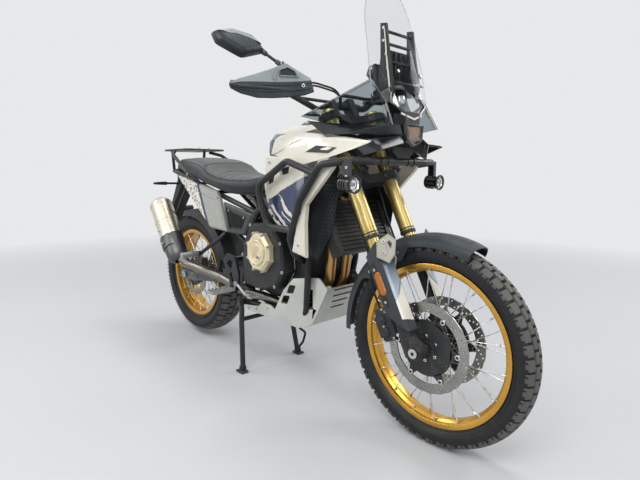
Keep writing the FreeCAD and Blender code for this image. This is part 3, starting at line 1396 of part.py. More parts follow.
def headlamp():
    """The lamp housing: an upper six-sided reflector bowl under a brow, over a small lower lamp."""
    housing = loft([lamp_ring(-50, 0.92), lamp_ring(-12, 1.0), lamp_ring(0, 0.98)])
    lens_cut = loft([lamp_ring(-26, 0.7), lamp_ring(1, 0.87)])
    lower = loft([low_lamp_ring(584, 1, 1), low_lamp_ring(652, 0.92, 0.9)])
    lower_cut = loft([low_lamp_ring(636, 0.6, 0.6), low_lamp_ring(653, 0.78, 0.74)])
    neck = block(carried(590), carried(640), -40, 40, 1080, 1125)
    brow = slab([(carried(602), -58, 1229), (carried(602), 58, 1229), (carried(628), 70, 1210),
        (carried(628), -70, 1210)],
                (1.5, 0, 4))
    projector = Part.makeCylinder(23, 20, Vector(carried(570), 0, 1176), Vector(1, 0, 0))
    shape = housing.multiFuse([lower, neck, brow]).cut([lens_cut, lower_cut]).fuse(projector)
    shape = seated(shape, nodes["fairing_stay"])
    keep("headlamp", shaped("headlamp", largest(shape)))
    glass = loft([lamp_ring(-6, 0.81), lamp_ring(-2, 0.84)])
    low_glass = loft([low_lamp_ring(646, 0.7, 0.68), low_lamp_ring(650, 0.74, 0.71)])
    keep("lamp_glass", shaped("lamp_glass", Part.makeCompound([glass, low_glass])))


def flat_panel(points, thick):
    """A sheet whose corners are dropped onto the plane through the first, second and last of them."""
    a, b, c = Vector(*points[0]), Vector(*points[1]), Vector(*points[-1])
    normal = (b - a).cross(c - a).normalize()
    flat = [Vector(*p) - normal * (Vector(*p) - a).dot(normal) for p in points]
    return slab([(p.x, p.y, p.z) for p in flat], tuple(normal * thick))


def nose():
    """A smoked pane on each side of the lamp, and the dark panel below it."""
    corners = [(302, -206, 1120), (548, -112, 1232), (612, -100, 1150), (640, -60, 1056), (520, -166, 1062)]
    pane = flat_panel([(carried(x), y, z) for x, y, z in corners], 3.5)
    peg = rod((carried(540), -136, 1150), (carried(540), -20 - n("seat_gap"), 1150), 6)
    pane = seated(pane.fuse(peg), nodes["headlamp"], nodes["fairing_stay"], nodes["screen_tower"])
    keep("side_panes", shaped("side_panes", pair_shape(largest(pane))))
    corners = [(420, -206, 1052), (636, -56, 1046), (640, -44, 985), (566, -200, 972)]
    lower = flat_panel([(carried(x), y, z) for x, y, z in corners], 5)
    around = [nodes[name] for name in ("headlamp", "fairing_stay", "side_panes", "crash_bars",
        "tank_shrouds")]
    keep("nose_panels", shaped("nose_panels", pair_shape(largest(seated(lower, *around)))))


def windscreen():
    """A tall curved sheet, a crescent in each level section."""
    thick = n("screen_thick")
    sections = []
    for z, x, half, sag in (
        (1168, 650, 148, 62), (1240, 632, 150, 56), (1330, 602, 142, 46), (1430, 566, 128, 36),
        (1495, 544, 104, 26), (1530, 533, 62, 12),
    ):
        crest = carried(x)
        front_arc = [(crest - sag * (t / 4) ** 2, half * t / 4, z) for t in (-4, -2, 0, 2, 4)]
        back_arc = [(crest - thick - sag * (t / 4) ** 2, half * t / 4, z) for t in (4, 2, 0, -2, -4)]
        a, b = Part.BSplineCurve(), Part.BSplineCurve()
        a.interpolate([Vector(*p) for p in front_arc])
        b.interpolate([Vector(*p) for p in back_arc])
        ends = [
            Part.LineSegment(Vector(*front_arc[-1]), Vector(*back_arc[0])).toShape(),
            Part.LineSegment(Vector(*back_arc[-1]), Vector(*front_arc[0])).toShape(),
        ]
        sections.append(Part.Wire([a.toShape(), ends[0], b.toShape(), ends[1]]))
    keep("windscreen", shaped("windscreen", Part.makeLoft(sections, True, False)))


def screen_tower():
    """Two upright blades with bolts and cross ties behind the screen, and the dash, on the fairing stay."""
    corners = [
        (556, 1170), (600, 1150), (612, 1210), (592, 1310), (578, 1406), (552, 1410), (556, 1300), (548,
        1240),
    ]
    blade = prism([(carried(x), z) for x, z in corners], -76, -68)
    slot = prism([(carried(x), z) for x, z in ((566, 1200), (590, 1216), (574, 1330), (562, 1330))], -80, -60)
    bolt_at = [(carried(x), z) for x, z in ((568, 1394), (570, 1352), (598, 1190), (572, 1182))]
    bolts = [rod((x, -80, z), (x, -74, z), 6) for x, z in bolt_at]
    blade = blade.cut(slot).multiFuse(bolts)
    ties = [rod((carried(x), -70, z), (carried(x), 70, z), 5) for x, z in ((566, 1385), (570, 1345))]
    foot = block(carried(540), carried(570), -74, 74, 1160, 1190)
    shape = blade.multiFuse([mirrored(blade), foot] + ties)
    shape = seated(shape, nodes["fairing_stay"], nodes["headlamp"], nodes["windscreen"], nodes["lamp_glass"])
    shape = shape.fuse(dash())
    keep("screen_tower", shaped("screen_tower", largest(shape)))


def dash():
    """The rider's display in its shallow hood, on an arm to the tower's foot."""
    def ring(low_x, high_x, low_z, high_z, half):
        corners = [(low_x, -half, low_z), (low_x, half, low_z), (high_x, half, high_z),
            (high_x, -half, high_z)]
        return [(carried(x), y, z) for x, y, z in corners]

    screen = loft([ring(540, 520, 1192, 1290, 62), ring(522, 504, 1192, 1284, 58)])
    bezel = loft([ring(524, 509, 1200, 1278, 51), ring(519, 504, 1200, 1278, 51)])
    arm = block(carried(530), carried(562), -8, 8, 1180, 1230)
    return seated(screen.cut(bezel).fuse(arm), nodes["fairing_stay"], nodes["headlamp"])


def seat():
    """Rider's saddle low in the middle, stepping up to the passenger's pad."""
    sections = []
    for x, low_z, low, side_z, side, top_z, top in (
        (-24 - n("seat_gap"), 838, 70, 880, 94, 926, 58), (-120, 818, 105, 856, 138, 903, 76), (-280, 820,
        128, 860, 168, 900, 96),
        (-420, 846, 134, 886, 172, 920, 100), (-490, 862, 134, 902, 168, 962, 102), (-570, 880, 130, 922,
        160, 984, 100),
        (-700, 908, 118, 945, 140, 990, 88), (-812, 930, 96, 958, 112, 986, 66),
    ):
        middle_z = (side_z + top_z) / 2
        half = [
            (0, low_z), (low, low_z + 2), (side * 0.97, side_z - 8), (side, side_z + 6), (side * 0.93,
            middle_z + 4),
            ((side + top) / 2, (middle_z + top_z) / 2 + 8), (top, top_z), (top * 0.5, top_z + 4), (0,
            top_z + 5),
        ]
        ring = half + [(-y, z) for y, z in reversed(half[1:-1])]
        sections.append([(x, y, z) for y, z in ring])
    shape = loft(sections)
    shape = shape.cut([nodes["subframe"].Shape, nodes["main_frame"].Shape, nodes["fuel_tank"].Shape])
    keep("seat", shaped("seat", largest(shape)))


def tail_panels():
    """Side panels under the seat, right side first: the tail blade and the mesh cover ahead of it."""
    blade = [(-722, 898), (-600, 878), (-352, 832), (-318, 792), (-268, 646), (-404, 652)]
    panel = raised(blade, -150, -172, 0.92)
    groove = slab([(x, -176, z) for x, z in ((-660, 858), (-350, 790), (-346, 782), (-650, 846))], (0, 7, 0))
    boss = Part.makeCylinder(8, 40, Vector(-480, -160, 835), Vector(0, 1, 0))
    tail_side = largest(seated(panel.cut(groove).fuse(boss), nodes["subframe"]))
    cover = raised([(-300, 780), (-62, 738), (-130, 640), (-262, 640)], -146, -162, 0.9)
    recess = slab([(x, -166, z) for x, z in ((-272, 756), (-112, 726), (-150, 662), (-246, 662))], (0, 9, 0))
    boss = Part.makeCylinder(8, 40, Vector(-180, -150, 730), Vector(0, 1, 0))
    mesh_side = largest(seated(cover.cut(recess).fuse(boss), nodes["subframe"], nodes["main_frame"]))
    panels = [tail_side, mirrored(tail_side), mesh_side, mirrored(mesh_side)]
    keep("tail_panels", shaped("tail_panels", Part.makeCompound(panels)))


def rack():
    body = new_body("rack_plate")
    sk = new_sketch(body, "outline")
    polygon(sk, [(-150, -80), (-150, 80), (-120, 112), (130, 118), (150, 96), (150, -96), (130, -118),
        (-120, -112)])
    pad(body, sk, 9, "plate")
    for name, y in (("slot_right", -62), ("slot_left", 62)):
        slot = new_sketch(body, name)
        polygon(slot, [(-100, y - 22), (100, y - 22), (100, y + 22), (-100, y + 22)])
        pocket(body, slot, 20, name + "_cut")
    drill = new_sketch(body, "drillings")
    for x in (-120, 120):
        for y in (-30, 30):
            circle(drill, x, y, 4.5)
    pocket(body, drill, 20, "drilled")
    doc.recompute()
    plate = body.Shape.copy()
    plate.Placement = Placement(Vector(-852, 0, 1036), Rotation())
    rail = tube([(-860, 108, 1028), (-800, 150, 1010), (-596, 176, 912), (-540, 122, 850)], 9, 40)
    post = tube([(-905, 100, 1034), (-905, 92, 925)], 8)
    shape = plate.multiFuse([rail, post, mirrored(rail), mirrored(post)])
    shape = seated(shape, nodes["subframe"], nodes["seat"], nodes["tail_panels"])
    keep("luggage_rack", shaped("luggage_rack", largest(shape)))


def tail():
    cowl = loft([
        [(-830, -70, 905), (-830, 70, 905), (-830, 62, 968), (-830, -62, 968)],
        [(-955, -48, 900), (-955, 48, 900), (-955, 44, 955), (-955, -44, 955)],
    ])
    arm = prism([(-905, 905), (-950, 905), (-1066, 712), (-1052, 700), (-960, 800), (-905, 880)], -42, 42)
    plate = prism([(-1066, 712), (-1052, 700), (-1086, 610), (-1094, 613)], -100, 100)
    shape = cowl.multiFuse([arm, plate])
    shape = seated(shape, nodes["subframe"], nodes["seat"], nodes["luggage_rack"])
    keep("tail_unit", shaped("tail_unit", largest(shape)))
    lamp = loft([
        [(-955.3, -44, 905), (-955.3, 44, 905), (-955.3, 40, 950), (-955.3, -40, 950)],
        [(-972, -36, 910), (-972, 36, 910), (-972, 33, 945), (-972, -33, 945)],
    ])
    return lamp


def rear_lamps():
    tail_lamp = tail()
    stalk = rod((-958, -42, 850), (-958, -120, 852), 6)
    lamp = loft([
        [(-944, -120, 842), (-944, -120, 862), (-972, -120, 862), (-972, -120, 842)],
        [(-950, -192, 846), (-950, -192, 858), (-968, -192, 858), (-968, -192, 846)],
    ])
    rear = seated(stalk.fuse(lamp), nodes["tail_unit"])
    rear = largest(rear)
    keep("rear_lamps", shaped("rear_lamps", Part.makeCompound([tail_lamp, rear, mirrored(rear)])))


def footrests():
    """The rider's serrated peg on its hanger with the windowed heel plate, right side."""
    px, pz = n("peg_x"), n("peg_z")
    inner, outer = -196, -316
    peg = block(px - 24, px + 24, outer, inner, pz - 5, pz + 8)
    peg = peg.cut([block(px - 17, px + 17, y, y + 12, pz - 10, pz + 12) for y in range(outer + 8,
        inner - 6, 19)])
    teeth = [block(px + side * 21 - 3, px + side * 21 + 3, outer + 4 + k * 17, outer + 12 + k * 17,
        pz + 7, pz + 14)
             for k in range(7) for side in (-1, 1)]
    hinge = Part.makeCylinder(9, 44, Vector(px - 22, inner + 6, pz), Vector(1, 0, 0))
    outline = [(-142, 392), (-192, 392), (-214, 440), (-256, 520), (-226, 552), (-160, 545), (-130, 470)]
    windows = [
        prism(points, -200, -180) for points in (
            [(-222, 506), (-206, 526), (-176, 522), (-190, 484)], [(-204, 460), (-186, 474), (-162, 440),
            (-182, 424)],
        )
    ]
    hanger = prism(outline, -194, -184).cut(windows)
    foot = block(px - 4, px + 22, -186, -118, 526, 544)
    return peg.multiFuse(teeth + [hinge, hanger, foot])


def foot_controls():
    shape = seated(footrests(), nodes["main_frame"], nodes["exhaust_pipes"])
    rider_side = largest(shape)
    brace = tube([(-300, 118, 664), (-310, 160, 620), (-470, 186, 520)], 9, 40)
    peg = Part.makeCylinder(13, 98, Vector(-470, 192, 520), Vector(0, 1, 0))
    tip = Part.makeCylinder(11, 8, Vector(-470, 184.5, 520), Vector(0, 1, 0))
    rings = [Part.makeCylinder(15, 4, Vector(-470, y, 520), Vector(0, 1, 0)) for y in range(206, 290, 16)]
    shape = brace.multiFuse([peg, tip] + rings)
    shape = seated(shape, nodes["subframe"], nodes["exhaust_pipes"], nodes["tail_panels"])
    rear_side = largest(shape)
    pegs = [rider_side, mirrored(rider_side), rear_side, mirrored(rear_side)]
    keep("footrests", shaped("footrests", Part.makeCompound(pegs)))


def levers():
    pedal = tube([(-150, -192, 424), (-60, -206, 392), (26, -216, 404)], 6.5, 30)
    pad_tip = block(16, 42, -252, -210, 402, 412)
    boss = Part.makeCylinder(12, 16, Vector(-150, -200, 424), Vector(0, 1, 0))
    right = pedal.multiFuse([pad_tip, boss])
    right = seated(right, nodes["footrests"], nodes["engine"])
    shift = tube([(-94, 156, 430), (-60, 190, 420), (30, 200, 418)], 5.5, 30)
    toe = Part.makeCylinder(8, 34, Vector(30, 196, 418), Vector(0, 1, 0))
    spindle = Part.makeCylinder(8, 40, Vector(-94, n("chain_y") + 19 + n("seat_gap"), 430), Vector(0, 1, 0))
    left = shift.multiFuse([toe, spindle])
    left = seated(left, nodes["footrests"], nodes["engine"])
    shapes = [largest(s) for s in (right, left)]
    keep("foot_levers", shaped("foot_levers", Part.makeCompound(shapes)))


def rear_caliper():
    y0 = n("rear_disc_y") - n("disc_thick")
    body = block(rear_x + 52, rear_x + 128, y0 - 22, n("rear_disc_y") + 9, rear_z + 38, rear_z + 100)
    room = Part.makeCylinder(
        n("rear_disc_r") + 3, n("disc_thick") + 3, Vector(rear_x, y0 - 1.5, rear_z), Vector(0, 1, 0)
    )
    stay = block(rear_x + 60, rear_x + 120, -112, y0 - 10, rear_z + 18, rear_z + 60)
    shape = body.fuse(stay).cut(room)
    shape = seated(shape, nodes["swingarm"])
    keep("rear_caliper", shaped("rear_caliper", largest(shape)))


# Stands
def centre_stand():
    """Splayed legs on a cross shaft, with feet, a brace and the foot tang on the left."""
    px, pz, r = n("stand_pivot_x"), n("stand_pivot_z"), n("stand_tube_r")
    top, half, fx = n("stand_top_half"), n("stand_half"), n("stand_foot_x")
    leg = tube([(px, top, pz), (px + 4, top + 6, pz - 90), (fx, half, 10)], r, 120)
    foot = block(fx - 24, fx + 24, half - 14, half + 22, 0, 9)
    foot = foot.fuse(block(fx - 12, fx + 12, half - 10, half + 12, 4, 30))
    boss = Part.makeCylinder(17, 18, Vector(px, top - 9, pz), Vector(0, 1, 0))
    side = leg.multiFuse([foot, boss])
    brace = rod((px + 4, -top - 4, pz - 78), (px + 4, top + 4, pz - 78), r - 2)
    tang = tube([(fx, half, 24), (fx + 4, half + 34, 52), (fx + 14, half + 44, 104),
        (fx - 18, half + 30, 122)], 6, 16)
    bore = Part.makeCylinder(n("stand_pin_r") + n("bearing_gap"), 400, Vector(px, -200, pz), Vector(0, 1, 0))
    shape = side.multiFuse([mirrored(side), brace, tang]).cut(bore)
    floor = block(fx - 300, fx + 300, -400, 400, -60, 0)
    keep("centre_stand", shaped("centre_stand", shape.cut(floor)))


def side_stand():
    """Folded back along the left side: an eye on the pivot bolt, the leg and its foot."""
    place = side_stand_frame()
    wide, gap = n("side_eye_wide"), n("seat_gap")
    eye = Part.makeCylinder(17, wide, Vector(0, 0, gap))
    hole = Part.makeCylinder(n("side_bolt_r") + n("bearing_gap"), 60, Vector(0, 0, -20))
    back = place.Rotation.inverted().multVec(Vector(-0.997, 0.058, -0.071))
    back.z = 0
    back.normalize()
    middle = Vector(0, 0, gap + wide / 2)
    tip = middle + back * n("side_leg")
    leg = Part.makeCylinder(wide / 2, n("side_leg"), middle, back)
    across = Vector(0, 0, 1).cross(back)
    foot = Part.makeBox(44, 34, 9, Vector(-22, -17, 0))
    foot.Placement = Placement(tip - back * 2, Rotation(across, Vector(0, 0, 1), back, "ZXY"))
    shape = eye.multiFuse([leg, foot]).cut(hole)
    keep("side_stand", shaped("side_stand", shape, place))


def assemble():
    wheels()
    foot_low, foot_high = fork()
    axle(
        "front_axle", front_x, front_z, -foot_high - 2, foot_high + 2,
        -n("disc_y"), n("disc_y"), -foot_low, foot_low,
    )
    axle(
        "rear_axle", rear_x, rear_z, -124, 142,
        n("rear_disc_y"), n("chain_y") - 3.5, -95, 116,
    )
    fork_guards()
    triple_clamps()
    handlebar()
    hand_controls()
    hand_guards()
    mirrors()
    front_fender()
    fender_brackets()
    front_calipers()
    control_cables()
    main_frame()
    subframe()
    engine()
    clutch_cover()
    swingarm()
    drive_chain()
    rear_shock()
    rear_fender()
    fuel_tank()
    tank_shrouds()
    radiator()
    exhaust()
    skid_plate()
    crash_bars()
    spot_lamps()
    fairing_stay()
    headlamp()
    windscreen()
    screen_tower()
    nose()
    seat()
    tail_panels()
    rack()
    rear_lamps()
    foot_controls()
    levers()
    rear_caliper()
    centre_stand()
    side_stand()


assemble()
doc.recompute()

for obj in doc.Objects:
    if "Invalid" in obj.State or "Error" in obj.State:
        raise RuntimeError(f"{obj.Name} failed: {obj.State}")

os.makedirs("parts", exist_ok=True)
for label, obj in nodes.items():
    shape = obj.Shape
    if shape.isNull() or not shape.isValid() or not shape.Solids:
        raise RuntimeError(f"{label} has no valid solid")
    whole = shape.Solids[0] if len(shape.Solids) == 1 else Part.makeCompound(shape.Solids)
    whole.exportStep(f"parts/{label}.step")
print(len(nodes), "sub-parts written")
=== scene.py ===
from math import acos, atan2, cos, exp, pi, radians, sin, sqrt, tan

import bmesh
import bpy
from mathutils import Matrix, Vector


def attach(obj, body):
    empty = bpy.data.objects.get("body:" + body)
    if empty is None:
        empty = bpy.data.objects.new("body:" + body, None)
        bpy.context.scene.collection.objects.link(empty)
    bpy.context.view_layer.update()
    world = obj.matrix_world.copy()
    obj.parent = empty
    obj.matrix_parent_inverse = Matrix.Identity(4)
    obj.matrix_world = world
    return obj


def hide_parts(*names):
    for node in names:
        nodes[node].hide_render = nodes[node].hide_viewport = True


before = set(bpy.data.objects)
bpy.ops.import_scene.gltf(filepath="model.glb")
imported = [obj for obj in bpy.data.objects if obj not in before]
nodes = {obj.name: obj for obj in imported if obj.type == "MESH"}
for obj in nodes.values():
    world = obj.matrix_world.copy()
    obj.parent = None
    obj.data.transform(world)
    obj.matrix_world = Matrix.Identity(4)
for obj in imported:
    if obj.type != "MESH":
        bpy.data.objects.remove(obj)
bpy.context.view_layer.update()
print("frame loaded:", len(nodes), "nodes")

# Lengths are millimetres in the motorcycle's frame: X forward, Y to the rider's left, Z up.
mm = 0.001
rake = radians(27)
steerBase = Vector((711.539, 0, 320.761))
frontAxle = Vector((765, 0, 348))
rearAxle = Vector((-765, 0, 358))
shift = Matrix.Translation
steerTurn = Matrix.Rotation(-rake, 4, "Y")
steerAt = shift(steerBase) @ steerTurn
steerFace = steerAt @ Matrix.Rotation(pi / 2, 4, "X")  # outlines in the plane of the fork, seen from its side
upright = Matrix.Rotation(pi / 2, 4, "X")


# A point, or only a direction, given as forward, sideways and up along the steering axis.
def steered(u, y, s):
    return steerBase + steerTurn.to_3x3() @ Vector((u, y, s))


def steeredWay(u, y, s):
    return steerTurn.to_3x3() @ Vector((u, y, s))


def place(at=(0, 0, 0), along=(0, 0, 1)):
    return shift(Vector(at)) @ Vector(along).to_track_quat("Z", "Y").to_matrix().to_4x4()


def around(radius, angle):
    return radius * cos(angle), radius * sin(angle)


def turns(count, offset=0.0):
    return [2 * pi * (k + offset) / count for k in range(count)]


def roundOutline(radius, steps=16):
    return [around(radius, a) for a in turns(steps)]


# An outline drawn larger or smaller about a point of its own.
def scaled(outline, scale, middle):
    return [tuple(m + (v - m) * scale for v, m in zip(p, middle)) for p in outline]


def averageOf(outline):
    return [sum(p[i] for p in outline) / len(outline) for i in range(len(outline[0]))]


# One row of a table, at a height or station between two rows.
def rowAt(rows, value):
    for a, b in zip(rows, rows[1:]):
        if value <= b[0]:
            t = max(0, (value - a[0]) / (b[0] - a[0]))
            return [p + (q - p) * t for p, q in zip(a, b)]
    return list(rows[-1])


# Points of a rounded path through the given corners.
def rounded(points, bend=40, steps=6):
    points = [Vector(p) for p in points]
    path = [points[0]]
    for before, corner, after in zip(points, points[1:], points[2:]):
        back, ahead = before - corner, after - corner
        half = (pi - back.angle(ahead)) / 2
        if half < 0.01:
            path.append(corner)
            continue
        reach = min(bend * tan(half), back.length * 0.48, ahead.length * 0.48)
        a, b = corner + back.normalized() * reach, corner + ahead.normalized() * reach
        for i in range(steps + 1):
            t = i / steps
            path.append(a.lerp(corner, t).lerp(corner.lerp(b, t), t))
    path.append(points[-1])
    return path


# A smooth curve through the given points.
def smoothed(points, steps=6):
    points = [Vector(p) for p in points]
    ends = [points[0] * 2 - points[1]] + points + [points[-1] * 2 - points[-2]]
    path = []
    for p0, p1, p2, p3 in zip(ends, ends[1:], ends[2:], ends[3:]):
        for i in range(steps):
            t = i / steps
            path.append((p1 * 2 + (p2 - p0) * t + (p0 * 2 - p1 * 5 + p2 * 4 - p3) * t * t
                         + (p1 * 3 - p0 - p2 * 3 + p3) * t * t * t) / 2)
    path.append(points[-1])
    return path


# A mesh being built up from turned, swept and extruded forms; mark picks the material.
class Form:
    def __init__(self):
        self.verts, self.faces, self.marks = [], [], []

    def add(self, verts, faces, mark=0, at=None):
        first = len(self.verts)
        self.verts += [(at @ Vector(v) if at else Vector(v)) for v in verts]
        self.faces += [[first + i for i in f] for f in faces]
        self.marks += [mark] * len(faces)
        return self

    def rings(self, loops, mark=0, at=None, closed=True, caps=True, wrap=False):
        count = len(loops[0])
        faces = []
        for i in range(len(loops) if wrap else len(loops) - 1):
            for j in range(count if closed else count - 1):
                a, b, k = i * count, ((i + 1) % len(loops)) * count, (j + 1) % count
                faces.append([a + j, a + k, b + k, b + j])
        if caps and not wrap:
            faces.append(list(range(count))[::-1])
            faces.append([(len(loops) - 1) * count + i for i in range(count)])
        return self.add([v for loop in loops for v in loop], faces, mark, at)

    # An outline repeated at levels along one axis. A level may be a pair, with a scale about the middle.
    def slab(self, outline, levels, mark=0, axis=1, at=None):
        loops = []
        for level in levels:
            ring = outline
            if isinstance(level, tuple):
                level, scale = level
                ring = scaled(outline, scale, averageOf(outline))
            loops.append([(*p[:axis], level, *p[axis:]) for p in ring])
        return self.rings(loops, mark, at)

    # Profile points are radius and height, turned about local Z.
    def lathe(self, profile, at=None, mark=0, steps=48, closed=False, start=0.0, sweep=2 * pi):
        whole = sweep > 2 * pi - 1e-6
        loops = []
        for i in range(steps if whole else steps + 1):
            a = start + sweep * i / steps
            loops.append([(*around(r, a), h) for r, h in profile])
        return self.rings(loops, mark, at, closed=closed, caps=closed and not whole, wrap=whole)

    # A closed profile turned round, or only through part of a turn.
    def hoop(self, profile, at=None, mark=0, steps=48, **part):
        return self.lathe(profile, at, mark, steps, closed=True, **part)

    def tube(self, path, radius, sides=12, mark=0, at=None, close=False):
        path = [Vector(p) for p in path]
        radii = radius if isinstance(radius, (list, tuple)) else [radius] * len(path)
        normal, loops = None, []
        for i, p in enumerate(path):
            if close:
                along = path[(i + 1) % len(path)] - path[i - 1]
            else:
                along = path[min(i + 1, len(path) - 1)] - path[max(i - 1, 0)]
            along.normalize()
            if normal is None:
                normal = along.orthogonal().normalized()
            normal = (normal - along * normal.dot(along)).normalized()
            side = along.cross(normal)
            loops.append([p + (normal * cos(t) + side * sin(t)) * radii[i] for t in turns(sides)])
        return self.rings(loops, mark, at, wrap=close)

    def disc(self, radius, low, high, at, mark=0, steps=32, chamfer=0.6):
        c = min(chamfer, (high - low) / 3)
        return self.lathe([(0.01, low), (radius - c, low), (radius, low + c),
                           (radius, high - c), (radius - c, high), (0.01, high)], at, mark, steps)

    # An outline in local X and Y, raised along local Z.
    def prism(self, outline, low, high, at=None, mark=0, scale=1.0):
        return self.slab(outline, (low, (high, scale)), mark, 2, at)

    def block(self, size, at=None, mark=0):
        x, y, z = (v / 2 for v in size)
        return self.prism([(-x, -y), (x, -y), (x, y), (-x, y)], -z, z, at, mark)

    def bolt(self, at, along, radius=4.0, mark=0):
        spot = place(at, along)
        self.disc(radius, 0, radius * 0.7, spot, mark, 20, 0.5)
        return self.prism(roundOutline(radius * 0.5, 6), radius * 0.7, radius * 0.72, spot, mark + 1)

    def mirrored(self):
        count = len(self.verts)
        self.verts += [Vector((v.x, -v.y, v.z)) for v in self.verts[:count]]
        self.faces += [[count + i for i in reversed(f)] for f in list(self.faces)]
        self.marks += list(self.marks)
        return self

    # Turns the form into a piece that rides on a body of the frame. The looks are names, one for each mark.
    def piece(self, name, body, looks, replaces=None, angle=38, bevel=0.0, merge=0.0):
        looks = [mats[look] for look in looks.split()]
        mesh = bpy.data.meshes.new(name)
        mesh.from_pydata([v * mm for v in self.verts], [], self.faces)
        for look in looks:
            mesh.materials.append(look)
        mesh.polygons.foreach_set("material_index", [min(m, len(looks) - 1) for m in self.marks])
        obj = bpy.data.objects.new(name, mesh)
        bpy.context.scene.collection.objects.link(obj)
        faceOut(mesh, merge * mm)
        if bevel:
            rounding = obj.modifiers.new("edges", "BEVEL")
            rounding.width = bevel * mm
            rounding.segments = 2
            rounding.limit_method = "ANGLE"
            rounding.angle_limit = radians(32)
            rounding.harden_normals = False
        for poly in mesh.polygons:
            poly.use_smooth = True
        mesh.set_sharp_from_angle(angle=radians(angle))
        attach(obj, body)
        if replaces:
            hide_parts(replaces)
        return obj


def faceOut(mesh, merge=0.0):
    tidy = bmesh.new()
    tidy.from_mesh(mesh)
    if merge:
        bmesh.ops.remove_doubles(tidy, verts=tidy.verts, dist=merge)
    bmesh.ops.recalc_face_normals(tidy, faces=tidy.faces)
    tidy.to_mesh(mesh)
    tidy.free()


# Cuts the holes of one form out of a finished piece.
def drill(obj, holes):
    mesh = bpy.data.meshes.new("holes")
    mesh.from_pydata([v * mm for v in holes.verts], [], holes.faces)
    faceOut(mesh)
    tool = bpy.data.objects.new("holes", mesh)
    bpy.context.scene.collection.objects.link(tool)
    cut = obj.modifiers.new("drilled", "BOOLEAN")
    cut.object = tool
    cut.solver = "EXACT"
    cut.use_self = False
    bpy.context.view_layer.objects.active = obj
    obj.modifiers.move(obj.modifiers.find("drilled"), 0)
    others = [(other, other.show_viewport) for other in list(obj.modifiers)[1:]]
    for other, shown in others:
        other.show_viewport = False
    shape = bpy.data.meshes.new_from_object(obj.evaluated_get(bpy.context.evaluated_depsgraph_get()))
    old = obj.data
    obj.modifiers.remove(cut)
    obj.data = shape
    shape.name = old.name + "Drilled"
    for other, shown in others:
        other.show_viewport = shown
    bpy.data.meshes.remove(old)
    bpy.data.objects.remove(tool)
    bpy.data.meshes.remove(mesh)
    for poly in shape.polygons:
        poly.use_smooth = True
    shape.set_sharp_from_angle(angle=radians(38))


# A socket gets a constant or a link.
def feed(tree, socket, value):
    if isinstance(value, bpy.types.NodeSocket):
        tree.links.new(value, socket)
    elif isinstance(value, tuple) and socket.type == "RGBA":
        socket.default_value = (*value[:3], 1.0)
    else:
        socket.default_value = value


def node(tree, kind, **values):
    made = tree.nodes.new("ShaderNode" + kind)
    for key, value in values.items():
        if hasattr(made, key):
            setattr(made, key, value)
        else:
            feed(tree, made.inputs[key.replace("_", " ")], value)
    return made


def compute(tree, operation, *values):
    made = node(tree, "Math", operation=operation)
    for socket, value in zip(made.inputs, values):
        feed(tree, socket, value)
    return made.outputs[0]


def times(tree, first, *others):
    for other in others:
        first = compute(tree, "MULTIPLY", first, other)
    return first


def plus(tree, first, *others):
    for other in others:
        first = compute(tree, "ADD", first, other)
    return first


def most(tree, first, *others):
    for other in others:
        first = compute(tree, "MAXIMUM", first, other)
    return first


def mix(tree, kind, mask, first, second):
    made = node(tree, "Mix", data_type=kind)
    start = {"FLOAT": 2, "RGBA": 6}[kind]
    for socket, value in zip((made.inputs[0], *made.inputs[start:start + 2]), (mask, first, second)):
        feed(tree, socket, value)
    return made.outputs[{"FLOAT": 0, "RGBA": 2}[kind]]


def mixColor(tree, mask, first, second):
    return mix(tree, "RGBA", mask, first, second)


def mixValue(tree, mask, first, second):
    return mix(tree, "FLOAT", mask, first, second)


def objectSpot(tree):
    return node(tree, "TexCoord").outputs["Object"]


# Object-space coordinates as separate sockets, for painted patterns.
def objectAxes(tree):
    return node(tree, "SeparateXYZ", Vector=objectSpot(tree)).outputs[:3]


def noiseAt(tree, vector, scale, detail=4.0):
    return node(tree, "TexNoise", Vector=vector, Scale=scale, Detail=detail).outputs["Fac"]


def ramp(tree, value, low, high):
    return node(tree, "MapRange", clamp=True, Value=value, From_Min=low, From_Max=high).outputs["Result"]


# A mask that is 1 between two values and soft at both ends.
def band(tree, value, low, high, soft=0.002):
    return times(tree, ramp(tree, value, low - soft, low), ramp(tree, value, high + soft, high))


def slope(tree, x, z, run, rise):
    return plus(tree, times(tree, x, run), times(tree, z, rise))


# Shader groups that several finishes share.
def newGroup(name, inputs, outputs):
    tree = bpy.data.node_groups.new(name, "ShaderNodeTree")
    for label, kind, value in inputs:
        socket = tree.interface.new_socket(name=label, in_out="INPUT", socket_type="NodeSocket" + kind)
        socket.default_value = value
    for label in outputs:
        tree.interface.new_socket(name=label, in_out="OUTPUT", socket_type="NodeSocketFloat")
    return tree, tree.nodes.new("NodeGroupInput").outputs, tree.nodes.new("NodeGroupOutput").inputs


# Two scales of noise: Tone for colour and gloss, Height for bump.
def grain():
    tree, given, out = newGroup("surfaceGrain", [("Scale", "Float", 300.0)], ("Tone", "Height"))
    spot = objectSpot(tree)
    feed(tree, out["Tone"], ramp(tree, noiseAt(tree, spot, 9.0, 5.0), 0.32, 0.68))
    feed(tree, out["Height"], noiseAt(tree, spot, given["Scale"], 3.0))
    return tree


# Convex edges, broken up by noise: where paint rubs off.
def wear():
    tree, given, out = newGroup("rubbedEdges", [("Reach", "Float", 0.5)], ("Mask",))
    raised = ramp(tree, node(tree, "NewGeometry").outputs["Pointiness"], 0.52, 0.60)
    broken = ramp(tree, noiseAt(tree, objectSpot(tree), 140.0, 5.0), 0.42, 0.62)
    feed(tree, out["Mask"], times(tree, raised, broken, given["Reach"]))
    return tree


